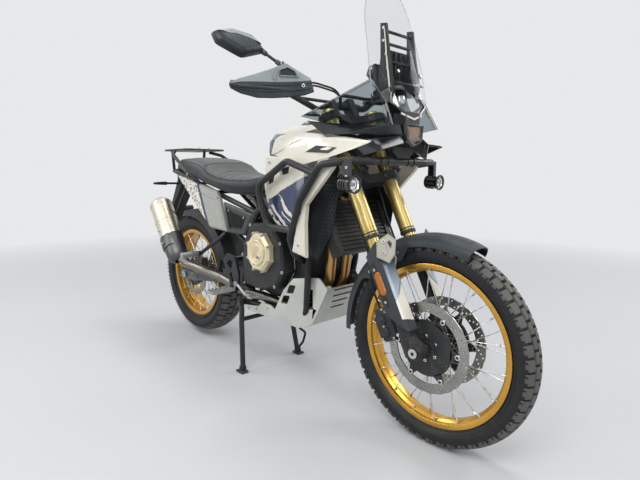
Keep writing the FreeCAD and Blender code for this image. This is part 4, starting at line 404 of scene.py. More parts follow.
# Fine dust that lies on faces turned up and in broad patches.
def dust():
    tree, given, out = newGroup("settledDust", [("Amount", "Float", 0.3)], ("Mask",))
    coords = node(tree, "TexCoord").outputs
    up = ramp(tree, node(tree, "SeparateXYZ", Vector=coords["Normal"]).outputs["Z"], -0.2, 1.0)
    patches = ramp(tree, noiseAt(tree, coords["Object"], 16.0, 8.0), 0.35, 0.75)
    feed(tree, out["Mask"], times(tree, plus(tree, up, 0.35), patches, given["Amount"]))
    return tree


# Long streaks along one axis, as a brush leaves them on metal.
def streaks():
    tree, given, out = newGroup("brushStreaks", [("Stretch", "Vector", (40.0, 400.0, 400.0))],
                                ("Tone", "Height"))
    drawn = node(tree, "Mapping", Vector=objectSpot(tree), Scale=given["Stretch"]).outputs["Vector"]
    line = noiseAt(tree, drawn, 1.0, 6.0)
    feed(tree, out["Tone"], ramp(tree, line, 0.35, 0.65))
    feed(tree, out["Height"], line)
    return tree


groups = {"grain": grain(), "wear": wear(), "dust": dust(), "streaks": streaks()}


def useGroup(tree, name, **values):
    made = tree.nodes.new("ShaderNodeGroup")
    made.node_tree = groups[name]
    for key, value in values.items():
        made.inputs[key].default_value = value
    return made.outputs


plainLook = {
    "tone": (0.5, 0.5, 0.5), "shade": None, "metal": 0.0, "gloss": (0.35, 0.5), "grain": 400.0, "bump": 0.05,
    "deep": 0.0004, "wear": 0.0, "worn": (0.55, 0.55, 0.54), "dust": 0.0, "dusty": (0.42, 0.38, 0.31),
    "coat": 0.0, "sheen": 0.0, "streaks": None, "shine": 0.5,
}


def newMaterial(name):
    material = bpy.data.materials.new(name)
    material.use_nodes = True
    return material, material.node_tree, material.node_tree.nodes["Principled BSDF"].inputs


# One finish from its settings. A paint function may give the base colour from a pattern of its own.
def makeFinish(name, look, paint=None):
    look = {**plainLook, **look}
    material, tree, into = newMaterial(name)
    if look["streaks"]:
        source = useGroup(tree, "streaks", Stretch=look["streaks"])
    else:
        source = useGroup(tree, "grain", Scale=look["grain"])
    shade = look["shade"] or tuple(c * 0.78 for c in look["tone"])
    color = mixColor(tree, source["Tone"], shade, look["tone"])
    if paint:
        color = paint(tree, color)
    rough = mixValue(tree, source["Tone"], *look["gloss"])
    metal = look["metal"]
    if look["wear"]:
        rubbed = useGroup(tree, "wear", Reach=look["wear"])["Mask"]
        color = mixColor(tree, rubbed, color, look["worn"])
        metal = mixValue(tree, rubbed, metal, 0.9)
    if look["dust"]:
        settled = useGroup(tree, "dust", Amount=look["dust"])["Mask"]
        color = mixColor(tree, settled, color, look["dusty"])
        rough = mixValue(tree, settled, rough, 0.9)
    for key, value in {
        "Base Color": color, "Roughness": rough, "Metallic": metal, "Coat Weight": look["coat"],
        "Coat Roughness": 0.08, "Sheen Weight": look["sheen"], "Specular IOR Level": look["shine"],
    }.items():
        feed(tree, into[key], value)
    if look["bump"]:
        bump = node(tree, "Bump", Strength=look["bump"], Distance=look["deep"], Height=source["Height"])
        feed(tree, into["Normal"], bump.outputs["Normal"])
    return material


def makeGlass(name, tint, rough=0.02, ior=1.45, solid=0.0):
    material, tree, into = newMaterial(name)
    tone = useGroup(tree, "grain", Scale=60.0)["Tone"]
    feed(tree, into["Base Color"], mixColor(tree, tone, tuple(c * 0.97 for c in tint), tint))
    into["Roughness"].default_value = rough
    into["IOR"].default_value = ior
    into["Transmission Weight"].default_value = 1.0 - solid
    return material


# A fine crossed lattice, as the film on the fork tubes shows.
def latticePaint(tree, color):
    turned = node(tree, "Mapping", Vector=objectSpot(tree), Rotation=(0, rake, 0)).outputs["Vector"]
    x, y, z = node(tree, "SeparateXYZ", Vector=turned).outputs[:3]
    lines = [ramp(tree, compute(tree, "SINE", times(tree, plus(tree, z, times(tree, y, sign)), 1250.0)),
                  0.55, 0.85) for sign in (1.0, -1.0)]
    return mixColor(tree, times(tree, most(tree, *lines), 0.5), color, (0.36, 0.22, 0.05))


# Black below the sliders, where the axle clamps are cast.
def legPaint(tree, color):
    x, y, z = objectAxes(tree)
    return mixColor(tree, ramp(tree, slope(tree, x, z, -sin(rake), cos(rake)), 0.342, 0.340), color,
                    (0.020, 0.021, 0.023))


# Navy below a slanting edge with pale slashes across it: a generic pattern.
slashes = ((0.945, 0.012), (0.985, 0.004), (1.022, 0.016), (1.070, 0.006), (1.105, 0.011), (1.150, 0.004),
           (1.185, 0.010))


def flashPaint(tree, color):
    x, y, z = objectAxes(tree)
    spot = objectSpot(tree)
    drift = times(tree, noiseAt(tree, spot, 14.0, 3.0), 0.060)
    low = ramp(tree, plus(tree, slope(tree, x, z, 0.42, -1.0), times(tree, drift, 0.35)), -0.752, -0.748)
    across = plus(tree, slope(tree, x, z, 1.0, 1.15), drift)
    pale = most(tree, *[band(tree, across, at - wide, at + wide, 0.0012) for at, wide in slashes])
    pale = times(tree, pale, ramp(tree, noiseAt(tree, spot, 24.0, 2.0), 0.43, 0.47))
    return mixColor(tree, times(tree, low, compute(tree, "SUBTRACT", 1.0, pale)), color, (0.012, 0.028, 0.085))


# A dark blue field on the tank's flank, above the seam, that fades forward.
def tankFadePaint(tree, color):
    x, y, z = objectAxes(tree)
    flank = ramp(tree, compute(tree, "ABSOLUTE", y), 0.085, 0.095)
    above = ramp(tree, slope(tree, x, z, -0.20, 1.0), 0.955, 0.958)
    under = ramp(tree, slope(tree, x, z, 0.05, 1.0), 1.078, 1.075)
    ahead = ramp(tree, slope(tree, x, z, 1.0, 0.6), 0.900, 0.760)
    blue = mixColor(tree, times(tree, above, under, flank, ahead), color, (0.012, 0.035, 0.085))
    rear = times(tree, band(tree, slope(tree, x, z, 1.0, 0.75), 0.728, 0.742), band(tree, z, 0.945, 0.985),
                 flank)
    return mixColor(tree, rear, blue, (0.015, 0.025, 0.05))


# Flecked white behind a navy edge, then plain grey, then the dark cover ahead of it.
def tailPaint(tree, color):
    x, y, z = objectAxes(tree)
    spot = objectSpot(tree)
    navy = (0.012, 0.030, 0.080)
    dots = node(tree, "TexVoronoi", Scale=105.0, Vector=spot).outputs["Distance"]
    flecks = times(tree, ramp(tree, dots, 0.50, 0.40), ramp(tree, noiseAt(tree, spot, 30.0, 3.0), 0.42, 0.47))
    color = mixColor(tree, flecks, color, (0.02, 0.035, 0.07))
    split = slope(tree, x, z, 1.0, 0.445)
    color = mixColor(tree, band(tree, split, -0.134, -0.100, 0.001), color, navy)
    color = mixColor(tree, band(tree, slope(tree, x, z, 0.21, 1.0), 0.753, 0.80, 0.001), color, navy)
    color = mixColor(tree, ramp(tree, split, -0.114, -0.113), color, (0.36, 0.365, 0.33))
    return mixColor(tree, ramp(tree, slope(tree, x, z, 1.0, 0.342), -0.0455, -0.0445), color,
                    (0.020, 0.023, 0.026))


# Heat colours near the ports, dull steel behind.
def pipePaint(tree, color):
    x, y, z = objectAxes(tree)
    color = mixColor(tree, times(tree, band(tree, x, 0.196, 0.222, 0.02), 0.5), color, (0.20, 0.17, 0.30))
    return mixColor(tree, ramp(tree, x, 0.14, 0.04), color, (0.20, 0.185, 0.165))


# Bright pegs on dark plates.
def pegPaint(tree, color):
    x, y, z = objectAxes(tree)
    return mixColor(tree, ramp(tree, compute(tree, "ABSOLUTE", y), 0.203, 0.202), color, (0.040, 0.046, 0.050))


# Blue that turns paler down the front face of the fork guard, over a cream patch.
def guardFadePaint(tree, color):
    x, y, z = objectAxes(tree)
    slant = plus(tree, z, times(tree, compute(tree, "ABSOLUTE", y), 0.9))
    blue = mixColor(tree, ramp(tree, z, 0.640, 0.545), (0.030, 0.055, 0.11), (0.42, 0.50, 0.57))
    return mixColor(tree, ramp(tree, slant, 0.626, 0.624), blue, (0.80, 0.76, 0.66))


finishes = {
    "rubber": dict(tone=(0.085, 0.084, 0.076), shade=(0.052, 0.052, 0.049), gloss=(0.5, 0.68), bump=0.25,
        grain=700.0, dust=0.25, dusty=(0.24, 0.23, 0.2)),
    "sidewall": dict(tone=(0.014, 0.015, 0.017), shade=(0.01, 0.01, 0.012), gloss=(0.4, 0.55), bump=0.12,
        grain=500.0, shine=0.28, dust=0.04),
    "goldRim": dict(tone=(0.66, 0.36, 0.05), shade=(0.52, 0.26, 0.03), metal=0.85, gloss=(0.22, 0.34),
        bump=0.03, coat=0.3, wear=0.25, worn=(0.9, 0.72, 0.4)),
    "goldFork": dict(tone=(0.66, 0.53, 0.22), shade=(0.48, 0.37, 0.12), metal=0.8, gloss=(0.25, 0.36),
        bump=0.03, coat=0.35),
    "goldSmooth": dict(tone=(0.7, 0.55, 0.2), shade=(0.52, 0.39, 0.12), metal=0.9, gloss=(0.16, 0.26),
        bump=0.02),
    "stainless": dict(tone=(0.72, 0.72, 0.7), shade=(0.55, 0.55, 0.54), metal=1.0, gloss=(0.18, 0.32),
        bump=0.04, streaks=(60.0, 500.0, 60.0)),
    "discSteel": dict(tone=(0.36, 0.36, 0.335), shade=(0.26, 0.26, 0.245), metal=1.0, gloss=(0.28, 0.4),
        bump=0.02),
    "boltSteel": dict(tone=(0.62, 0.62, 0.6), metal=1.0, gloss=(0.2, 0.34), bump=0.03, grain=900.0),
    "blackBolt": dict(tone=(0.035, 0.035, 0.037), metal=0.7, gloss=(0.25, 0.4), bump=0.03, grain=900.0),
    "satinBlack": dict(tone=(0.018, 0.019, 0.021), gloss=(0.3, 0.42), bump=0.1, grain=900.0, shine=0.28,
        wear=0.35, worn=(0.22, 0.22, 0.22), dust=0.05),
    "glossBlack": dict(tone=(0.01, 0.011, 0.013), gloss=(0.12, 0.2), bump=0.02, coat=0.6),
    "caseBlack": dict(tone=(0.024, 0.026, 0.029), gloss=(0.4, 0.56), bump=0.14, grain=1100.0, shine=0.28,
        wear=0.25, worn=(0.22, 0.21, 0.2), dust=0.06),
    "slatePlastic": dict(tone=(0.036, 0.045, 0.051), shade=(0.029, 0.036, 0.042), gloss=(0.4, 0.52), bump=0.22,
        grain=1200.0, shine=0.28, dust=0.05),
    "darkPlastic": dict(tone=(0.02, 0.022, 0.025), gloss=(0.42, 0.56), bump=0.25, grain=1200.0, shine=0.28,
        dust=0.05),
    "creamPaint": dict(tone=(0.74, 0.7, 0.6), shade=(0.7, 0.66, 0.56), gloss=(0.24, 0.32), bump=0.015,
        coat=0.45, dust=0.03),
    "warmGrey": dict(tone=(0.4, 0.38, 0.32), shade=(0.34, 0.325, 0.275), metal=0.3, gloss=(0.32, 0.42),
        bump=0.06, wear=0.2, dust=0.03),
    "plateAlloy": dict(tone=(0.6, 0.61, 0.56), shade=(0.5, 0.515, 0.475), metal=0.55, gloss=(0.38, 0.5),
        bump=0.1, grain=1300.0, wear=0.3, worn=(0.8, 0.8, 0.76), dust=0.1),
    "champagne": dict(tone=(0.8, 0.7, 0.48), shade=(0.68, 0.59, 0.4), metal=0.55, gloss=(0.34, 0.46), bump=0.1,
        grain=1300.0, wear=0.3, worn=(0.9, 0.82, 0.62)),
    "silencerSkin": dict(tone=(0.74, 0.68, 0.54), shade=(0.58, 0.53, 0.42), metal=0.9, gloss=(0.26, 0.42),
        bump=0.1, streaks=(500.0, 60.0, 500.0)),
    "silencerCone": dict(tone=(0.13, 0.135, 0.13), shade=(0.09, 0.093, 0.09), metal=0.8, gloss=(0.28, 0.42),
        bump=0.08),
    "heatSteel": dict(tone=(0.58, 0.34, 0.13), shade=(0.34, 0.19, 0.08), metal=0.95, gloss=(0.26, 0.42),
        bump=0.08),
    "castAlloy": dict(tone=(0.46, 0.46, 0.44), shade=(0.36, 0.36, 0.345), metal=0.85, gloss=(0.36, 0.5),
        bump=0.25, grain=700.0, dust=0.1),
    "swingArm": dict(tone=(0.06, 0.063, 0.066), metal=0.4, gloss=(0.32, 0.44), bump=0.12, grain=900.0,
        wear=0.3),
    "seatVinyl": dict(tone=(0.062, 0.074, 0.072), shade=(0.046, 0.055, 0.054), gloss=(0.42, 0.56), bump=0.5,
        grain=650.0, deep=0.0007, sheen=0.12, shine=0.4, dust=0.05),
    "seatSide": dict(tone=(0.022, 0.026, 0.028), gloss=(0.44, 0.56), bump=0.5, grain=650.0, deep=0.0007,
        sheen=0.1, shine=0.28),
    "gripRubber": dict(tone=(0.018, 0.018, 0.018), gloss=(0.6, 0.75), bump=0.35, grain=900.0, shine=0.28),
    "hose": dict(tone=(0.014, 0.014, 0.015), gloss=(0.35, 0.5), bump=0.1, shine=0.28),
    "chainSteel": dict(tone=(0.42, 0.36, 0.24), shade=(0.28, 0.24, 0.16), metal=0.95, gloss=(0.3, 0.45),
        bump=0.1),
    "coreBlack": dict(tone=(0.022, 0.023, 0.024), metal=0.5, gloss=(0.4, 0.55), bump=0.2, shine=0.28,
        dust=0.12),
    "springBlack": dict(tone=(0.03, 0.03, 0.032), gloss=(0.22, 0.32), bump=0.04, coat=0.3),
    "reflector": dict(tone=(0.93, 0.93, 0.93), shade=(0.88, 0.88, 0.87), metal=1.0, gloss=(0.06, 0.12),
        bump=0),
    "mirrorGlass": dict(tone=(0.62, 0.66, 0.7), shade=(0.6, 0.64, 0.68), metal=1.0, gloss=(0.02, 0.05),
        bump=0),
    "bronzeReflector": dict(tone=(0.15, 0.085, 0.05), shade=(0.045, 0.024, 0.016), metal=1.0,
        gloss=(0.12, 0.22), bump=0),
    # Pale grey that is a painted reflection: the light on the upper faces of the hand guards and on the mirror
    # roofs is painted into the colour; it also colours the guards' window edges and ribs
    "guardPale": dict(tone=(0.27, 0.305, 0.295), shade=(0.22, 0.25, 0.245), gloss=(0.34, 0.46), bump=0.2,
        grain=1200.0, dust=0.04),
    "guardDark": dict(tone=(0.024, 0.034, 0.042), gloss=(0.3, 0.42), bump=0.2, grain=1200.0, shine=0.28,
        dust=0.04),
    "redKey": dict(tone=(0.55, 0.03, 0.02), gloss=(0.3, 0.4)),
    "screenDark": dict(tone=(0.006, 0.007, 0.01), gloss=(0.08, 0.14), bump=0, coat=0.5),
    "labelGrey": dict(tone=(0.3, 0.32, 0.32), gloss=(0.3, 0.4), bump=0.02),
    "plateDark": dict(tone=(0.035, 0.036, 0.038), gloss=(0.35, 0.45), bump=0.1),
    "meshBlack": dict(tone=(0.012, 0.013, 0.015), gloss=(0.5, 0.62), bump=0.9, grain=520.0, deep=0.002,
        shine=0.28),
}
mats = {name: makeFinish(name, look) for name, look in finishes.items()}
for name, label, base, change, paint in (
    ("lattice", "forkLattice", "goldFork", {}, latticePaint),
    ("leg", "forkLeg", "goldSmooth", {}, legPaint),
    ("flash", "shroudFlash", "creamPaint", {}, flashPaint),
    ("tankFade", "tankFade", "creamPaint", {}, tankFadePaint),
    ("guardFade", "guardFade", "creamPaint", {"dust": 0.05}, guardFadePaint),
    ("tail", "tailPaint", "creamPaint", {"coat": 0.2}, tailPaint),
    ("pipes", "pipePaint", "heatSteel", {}, pipePaint),
    ("pegs", "pegPaint", "castAlloy", {}, pegPaint),
):
    mats[name] = makeFinish(label, {**finishes[base], **change}, paint)
mats["clear"] = makeGlass("screenClear", (0.90, 0.92, 0.93), 0.03, 1.08)
mats["smoked"] = makeGlass("paneSmoked", (0.34, 0.39, 0.41), 0.04, 1.15)
mats["edgeClear"] = makeGlass("screenEdge", (0.62, 0.68, 0.70), 0.1, 1.3, solid=0.35)
mats["lens"] = makeGlass("lampLens", (0.96, 0.97, 0.98), 0.01)
mats["redLens"] = makeGlass("redLens", (0.60, 0.02, 0.02), 0.08, solid=0.3)
mats["amber"] = makeGlass("amberLens", (0.95, 0.30, 0.02), 0.12, solid=0.45)
print("finishes made:", len(mats))

# Finishes of the nodes that come from the construction.
cadLooks = {
    "satinBlack": "main_frame subframe crash_bars fairing_stay luggage_rack handlebar rear_sprocket "
        "centre_stand side_stand",
    "caseBlack": "engine rear_caliper triple_clamps front_calipers front_hub rear_hub",
    "champagne": "clutch_cover",
    "swingArm": "swingarm",
    "boltSteel": "swingarm_pivot rear_axle front_axle",
    "chainSteel": "drive_chain",
    "springBlack": "rear_shock",
    "darkPlastic": "rear_fender screen_tower tail_unit hand_controls hand_guards",
    "creamPaint": "fuel_tank tank_shrouds nose_panels",
    "coreBlack": "radiator",
    "pipes": "exhaust_pipes",
    "silencerSkin": "silencer",
    "plateAlloy": "skid_plate",
    "glossBlack": "spot_lamps headlamp",
    "lens": "lamp_glass",
    "clear": "windscreen",
    "smoked": "side_panes",
    "seatVinyl": "seat",
    "tail": "tail_panels",
    "redLens": "rear_lamps",
    "pegs": "footrests",
    "castAlloy": "foot_levers",
    "lattice": "fork_tubes",
    "leg": "fork_legs",
    "slatePlastic": "fork_guards mirrors front_fender",
    "warmGrey": "fender_brackets",
    "hose": "control_cables",
    "rubber": "front_tyre rear_tyre",
    "goldRim": "front_rim rear_rim",
    "stainless": "front_spokes rear_spokes",
    "discSteel": "front_discs rear_disc",
}
for look, names in cadLooks.items():
    for name in names.split():
        nodes[name].data.materials.clear()
        nodes[name].data.materials.append(mats[look])
print("finishes on the carried-over nodes:", sum(len(names.split()) for names in cadLooks.values()))


# Camera at the photo's angle, floor and studio light.
shot = {"at": (1.60747, -1.34649, 0.93013), "yaw": 136.464, "pitch": -8.411, "roll": 0.319, "focal": 472.13,
        "sensor": 36, "pixels": 640}


def makeCamera():
    yaw, pitch, roll = (radians(shot[k]) for k in ("yaw", "pitch", "roll"))
    forward = Vector((cos(yaw) * cos(pitch), sin(yaw) * cos(pitch), sin(pitch)))
    right = forward.cross(Vector((0, 0, 1))).normalized()
    up = right.cross(forward)
    axes = right * cos(roll) + up * sin(roll), up * cos(roll) - right * sin(roll), -forward, Vector(shot["at"])
    camera = bpy.data.objects.new("photoCamera", bpy.data.cameras.new("photoCamera"))
    camera.data.sensor_width = shot["sensor"]
    camera.data.lens = shot["focal"] * shot["sensor"] / shot["pixels"]
    camera.data.clip_start = 0.05
    camera.matrix_world = Matrix([[axis[i] for axis in axes] for i in range(3)] + [(0, 0, 0, 1)])
    bpy.context.scene.collection.objects.link(camera)
    bpy.context.scene.camera = camera


studio = {"paper": (0.80, 0.81, 0.82), "ambient": (0.62, 0.64, 0.67), "level": 0.56, "fade": (1.7, 5.2),
          "floorHalf": 9000, "floorDrop": 0.6}
lamps = {
    "keySoft": dict(at=(1.8, -2.6, 3.4), to=(0.1, 0, 0.6), size=(2.4, 1.6), power=78),
    "sideStrip": dict(at=(-1.4, -3.2, 1.9), to=(-0.2, 0, 0.6), size=(0.5, 3.0), power=30),
    "frontStrip": dict(at=(3.6, -0.2, 1.7), to=(0.5, 0, 0.6), size=(0.6, 2.6), power=24),
    "rearFill": dict(at=(-2.9, -1.9, 3.2), to=(-0.3, 0, 0.5), size=(1.6, 1.4), power=40),
    "farFill": dict(at=(1.7, 3.4, 2.6), to=(0.2, 0, 0.6), size=(1.6, 1.2), power=40),
    "topBank": dict(at=(0.0, 0.6, 3.8), to=(0, 0, 0), size=(3.2, 1.0), power=46),
}
floorLook = dict(tone=(0.62, 0.63, 0.64), shade=(0.61, 0.62, 0.63), gloss=(0.6, 0.66), bump=0.02, grain=90.0,
                 shine=0.2)


def seenRays(tree):
    rays = node(tree, "LightPath").outputs
    return most(tree, rays["Is Camera Ray"], rays["Is Glossy Ray"], rays["Is Transmission Ray"])


# Paper floor near the object that fades into the backdrop far away.
def floorMaterial():
    material = makeFinish("floorPaper", floorLook)
    tree = material.node_tree
    x, y, z = objectAxes(tree)
    reach = ramp(tree, compute(tree, "SQRT", plus(tree, times(tree, x, x), times(tree, y, y))), *studio["fade"])
    glow = node(tree, "Emission", Color=studio["paper"])
    blend = node(tree, "MixShader")
    for socket, source in zip(blend.inputs, (
            times(tree, reach, seenRays(tree)), tree.nodes["Principled BSDF"].outputs[0], glow.outputs[0])):
        feed(tree, socket, source)
    feed(tree, tree.nodes["Material Output"].inputs["Surface"], blend.outputs[0])
    return material


def makeStage():
    world = bpy.data.worlds.new("studio")
    bpy.context.scene.world = world
    world.use_nodes = True
    tree = world.node_tree
    back = tree.nodes["Background"].inputs
    seen = seenRays(tree)
    feed(tree, back["Color"], mixColor(tree, seen, studio["ambient"], studio["paper"]))
    feed(tree, back["Strength"], mixValue(tree, seen, studio["level"], 1.0))
    half, drop = studio["floorHalf"] * mm, -studio["floorDrop"] * mm
    mesh = bpy.data.meshes.new("studioFloor")
    mesh.from_pydata([(-half, -half, drop), (half, -half, drop), (half, half, drop), (-half, half, drop)], [],
                     [[0, 1, 2, 3]])
    mesh.materials.append(floorMaterial())
    obj = bpy.data.objects.new("studioFloor", mesh)
    bpy.context.scene.collection.objects.link(obj)
    for name, lamp in lamps.items():
        data = bpy.data.lights.new(name, "AREA")
        data.shape = "RECTANGLE"
        data.size, data.size_y = lamp["size"]
        data.energy = lamp["power"]
        light = bpy.data.objects.new(name, data)
        light.location = lamp["at"]
        aim = Vector(lamp["to"]) - Vector(lamp["at"])
        light.rotation_euler = aim.to_track_quat("-Z", "Y").to_euler()
        bpy.context.scene.collection.objects.link(light)
    bpy.context.scene.view_settings.view_transform = "Standard"


makeCamera()
makeStage()
print("stage and camera set")


# Wheels: radii are from the axle, and each row of lugs is from, to and stagger.
wheels = {
    "front": dict(body="front_wheel", at=frontAxle, radius=348, half=47, bead=267, rimHalf=32, deep=7.5, arc=80,
                  pitches=50, rows=((1.5, 19.5, 0.0), (24.0, 45.0, 0.42)), flange=28, flangeR=48, spokeY=23,
                  hubEnds=(-52, 52), hubR=37),
    "rear": dict(body="rear_wheel", at=rearAxle, radius=334, half=75, bead=229, rimHalf=58, deep=8.5, arc=118,
                 pitches=44, rows=((2.0, 29.0, 0.0), (35.5, 71.0, 0.42)), flange=36, flangeR=60, spokeY=44,
                 hubEnds=(-62, 101.5), hubR=50),
}
# Reach, cut, offset and ribs are shares of a pitch; a lug's rings go from its root to its top.
tread = {"reach": 0.395, "cut": 0.10, "offset": 0.25, "steps": 160, "ribs": (0.42, 1.42), "rib": (26, 8),
         "lug": ((1.02, 2.5), (1.0, 1.0), (0.93, 0)), "tie": (0.42, 0.98, 0.35)}
spokes = {"count": 36, "cross": radians(46), "lean": 2.9, "radius": 1.7}


def makeTyre(key, wheel):
    radius, half, bead, deep, rimHalf = (wheel[k] for k in ("radius", "half", "bead", "deep", "rimHalf"))
    at = place(wheel["at"], (0, 1, 0))
    form = Form()
    crown = lambda y: radius - (wheel["arc"] - sqrt(wheel["arc"] * wheel["arc"] - y * y))
    middle = (bead + radius) / 2
    corner = [
        (bead + 1, rimHalf - 7), (bead + 4, rimHalf - 4.5), (bead + 14, rimHalf - 3), (bead + 23, half * 0.83),
        (middle - 4, half * 0.965), (middle + 12, half * 0.985), (radius - deep - 15, half * 0.93),
        *[(crown(half * share) - deep, half * share) for share in (0.80, 0.5, 0.2)],
    ]
    side = [(p.x, p.y) for p in smoothed([(r, y, 0) for r, y in corner], 5)]
    inner = [(radius - deep - 10, 0), (middle + 6, half - 9), (bead + 16, rimHalf * 0.72)]
    profile = side + [(r, -y) for r, y in reversed(side)]
    profile += [(r, -y) for r, y in reversed(inner)] + inner[1:]
    form.hoop(profile, at, 0, tread["steps"])
    for r, y in ((bead + 27, half * 0.885), (bead + 31, half * 0.915), (radius - deep - 21, half * 0.965)):
        for sign in (1, -1):
            ring = [(r - 1.1, y * sign), (r, (y + 1.1) * sign), (r + 1.1, y * sign), (r, (y - 3) * sign)]
            form.hoop(ring, at, 0, tread["steps"])

    def lug(angle, outline, tall=0.0):
        loops = []
        for (swell, drop), start in zip(tread["lug"], (deep, tall, tall)):
            loop = []
            for s, y in scaled(outline, swell, averageOf(outline)):
                y = max(-half * 0.995, min(half * 0.995, y))
                loop.append((*around(crown(y) - (start + drop), angle + s / radius), y))
            loops.append(loop)
        form.rings(loops, 1, at)

    pitch = 2 * pi * radius / wheel["pitches"]
    reach, cut = pitch * tread["reach"], tread["cut"] * pitch
    inward, outward = wheel["rows"][0][1] - 2, wheel["rows"][1][0] + 2
    near, far, lower = tread["tie"]
    tie = [(reach * near, inward), (reach * far, inward), (reach * far, outward), (reach * near, outward)]
    for base in turns(wheel["pitches"]):
        for sign in (1, -1):
            turn = base + sign * tread["offset"] * pitch / radius
            for low, high, stagger in wheel["rows"]:
                outline = [(-reach, low), (reach - cut, low), (reach, low + 4), (reach, high - 2),
                           (reach - 2, high), (-reach + 2, high), (-reach, high - 2)]
                lug(turn + stagger * pitch / radius, [(s, y * sign) for s, y in outline])
            lug(turn, [(s, y * sign) for s, y in tie], deep * lower)
            for part in tread["ribs"]:  # thin ribs down the shoulder below the lugs
                a = turn + part * pitch * 0.5 / radius
                form.rings([[(*around(radius - deep - drop, a + t), (half * 0.985 - inset + rise) * sign)
                             for t, rise in ((-0.008, 0), (-0.006, 1.0), (0.006, 1.0), (0.008, 0))]
                            for drop, inset in zip(tread["rib"], (0, 1))], 0, at)
    form.piece(key + "TyreTread", wheel["body"], "sidewall rubber", key + "_tyre", angle=30)


def makeRim(key, wheel):
    bead, half = wheel["bead"], wheel["rimHalf"]
    at = place(wheel["at"], (0, 1, 0))
    side = [
        (bead + 11.5, half - 2.6), (bead + 13, half - 1.4), (bead + 12.6, half + 0.4), (bead + 9, half + 0.9),
        (bead - 1, half + 0.2), (bead - 4.6, half - 1.2), (bead - 6, half - 5), (bead - 6.4, half * 0.66),
        (bead - 9.5, half * 0.56), (bead - 14.2, half * 0.40), (bead - 14.8, half * 0.2),
    ]
    back = [(bead - 8.5, half * 0.24), (bead - 3, half * 0.50), (bead - 1, half * 0.66),
            (bead + 0.5, half - 4.5)]
    profile = side + [(r, -y) for r, y in reversed(side)]
    profile += [(r, -y) for r, y in reversed(back)] + back
    form = Form()
    form.hoop(profile, at, 0, 144)
    form.hoop([(bead - 14.6, -1.6), (bead - 16.0, 0), (bead - 14.6, 1.6), (bead - 12, 0)], at, 0, 144)
    form.piece(key + "RimHoop", wheel["body"], "goldRim", key + "_rim", angle=34)


def makeSpokes(key, wheel):
    form = Form()
    at = place(wheel["at"], (0, 1, 0))
    for i, atRim in enumerate(turns(spokes["count"], 0.5)):
        side = 1 if i % 2 else -1
        lean = 1 if (i // 2) % 2 else -1
        start = Vector((*around(wheel["flangeR"] - 3, atRim + lean * spokes["cross"]),
                        side * (wheel["flange"] + lean * spokes["lean"])))
        end = Vector((*around(wheel["bead"] - 7.5, atRim), side * wheel["spokeY"]))
        run = (end - start).normalized()
        bulb = Vector((0, 0, side)) * 1.6 * lean
        form.tube([start, end - run * 16], spokes["radius"], 8, 0, at)
        form.tube([end - run * 17, end - run * 16, end - run * 3, end + run * 1.5],
                  [2.2, 3.0, 3.1, 3.4], 8, 1, at)
        form.tube([start - run * 2.2 + bulb, start + bulb * 0.2, start + run * 5], [3.2, 2.6, 1.75], 8, 0, at)
    form.piece(key + "SpokeSet", wheel["body"], "stainless boltSteel", key + "_spokes")


def makeHub(key, wheel):
    at = place(wheel["at"], (0, 1, 0))
    form = Form()
    f, r, e = wheel["flange"], wheel["flangeR"], wheel["hubR"]
    low, high = wheel["hubEnds"]
    waist = [(r - 2, f + 4), (r, f + 2.5), (r, f - 2.5), (r - 2, f - 4), (r - 13, f - 9), (r - 17, f - 16)]
    profile = [(10.4, low), (e - 2, low), (e, low + 2), (e, -f - 8)] + [(a, -h) for a, h in waist] + [
        (r - 18, 0)]
    profile += waist[::-1] + [(e, f + 8), (e, high - 2), (e - 2, high), (10.4, high)]
    form.hoop(profile, at, 0, 64)
    for a in turns(12):
        web = [around(r - 20, a + t) for t in (-0.06, 0.06)] + [around(r - 14, a + t) for t in (0.06, -0.06)]
        form.prism(web, -f + 8, f - 8, at)
    form.piece(key + "HubBody", wheel["body"], "caseBlack", key + "_hub", angle=34)


# Radii in millimetres; wave is how deep the wavy edge is cut, waves how often.
frontDisc = dict(outer=155, inner=121, carrier=116, bore=30, arms=6, thick=4.6, wave=1.6, waves=24, drills=24,
                 drill=3.1)
rearDisc = dict(outer=125, inner=96, carrier=92, bore=30, arms=5, thick=4.6, wave=1.6, waves=20, drills=20,
                drill=3.0)


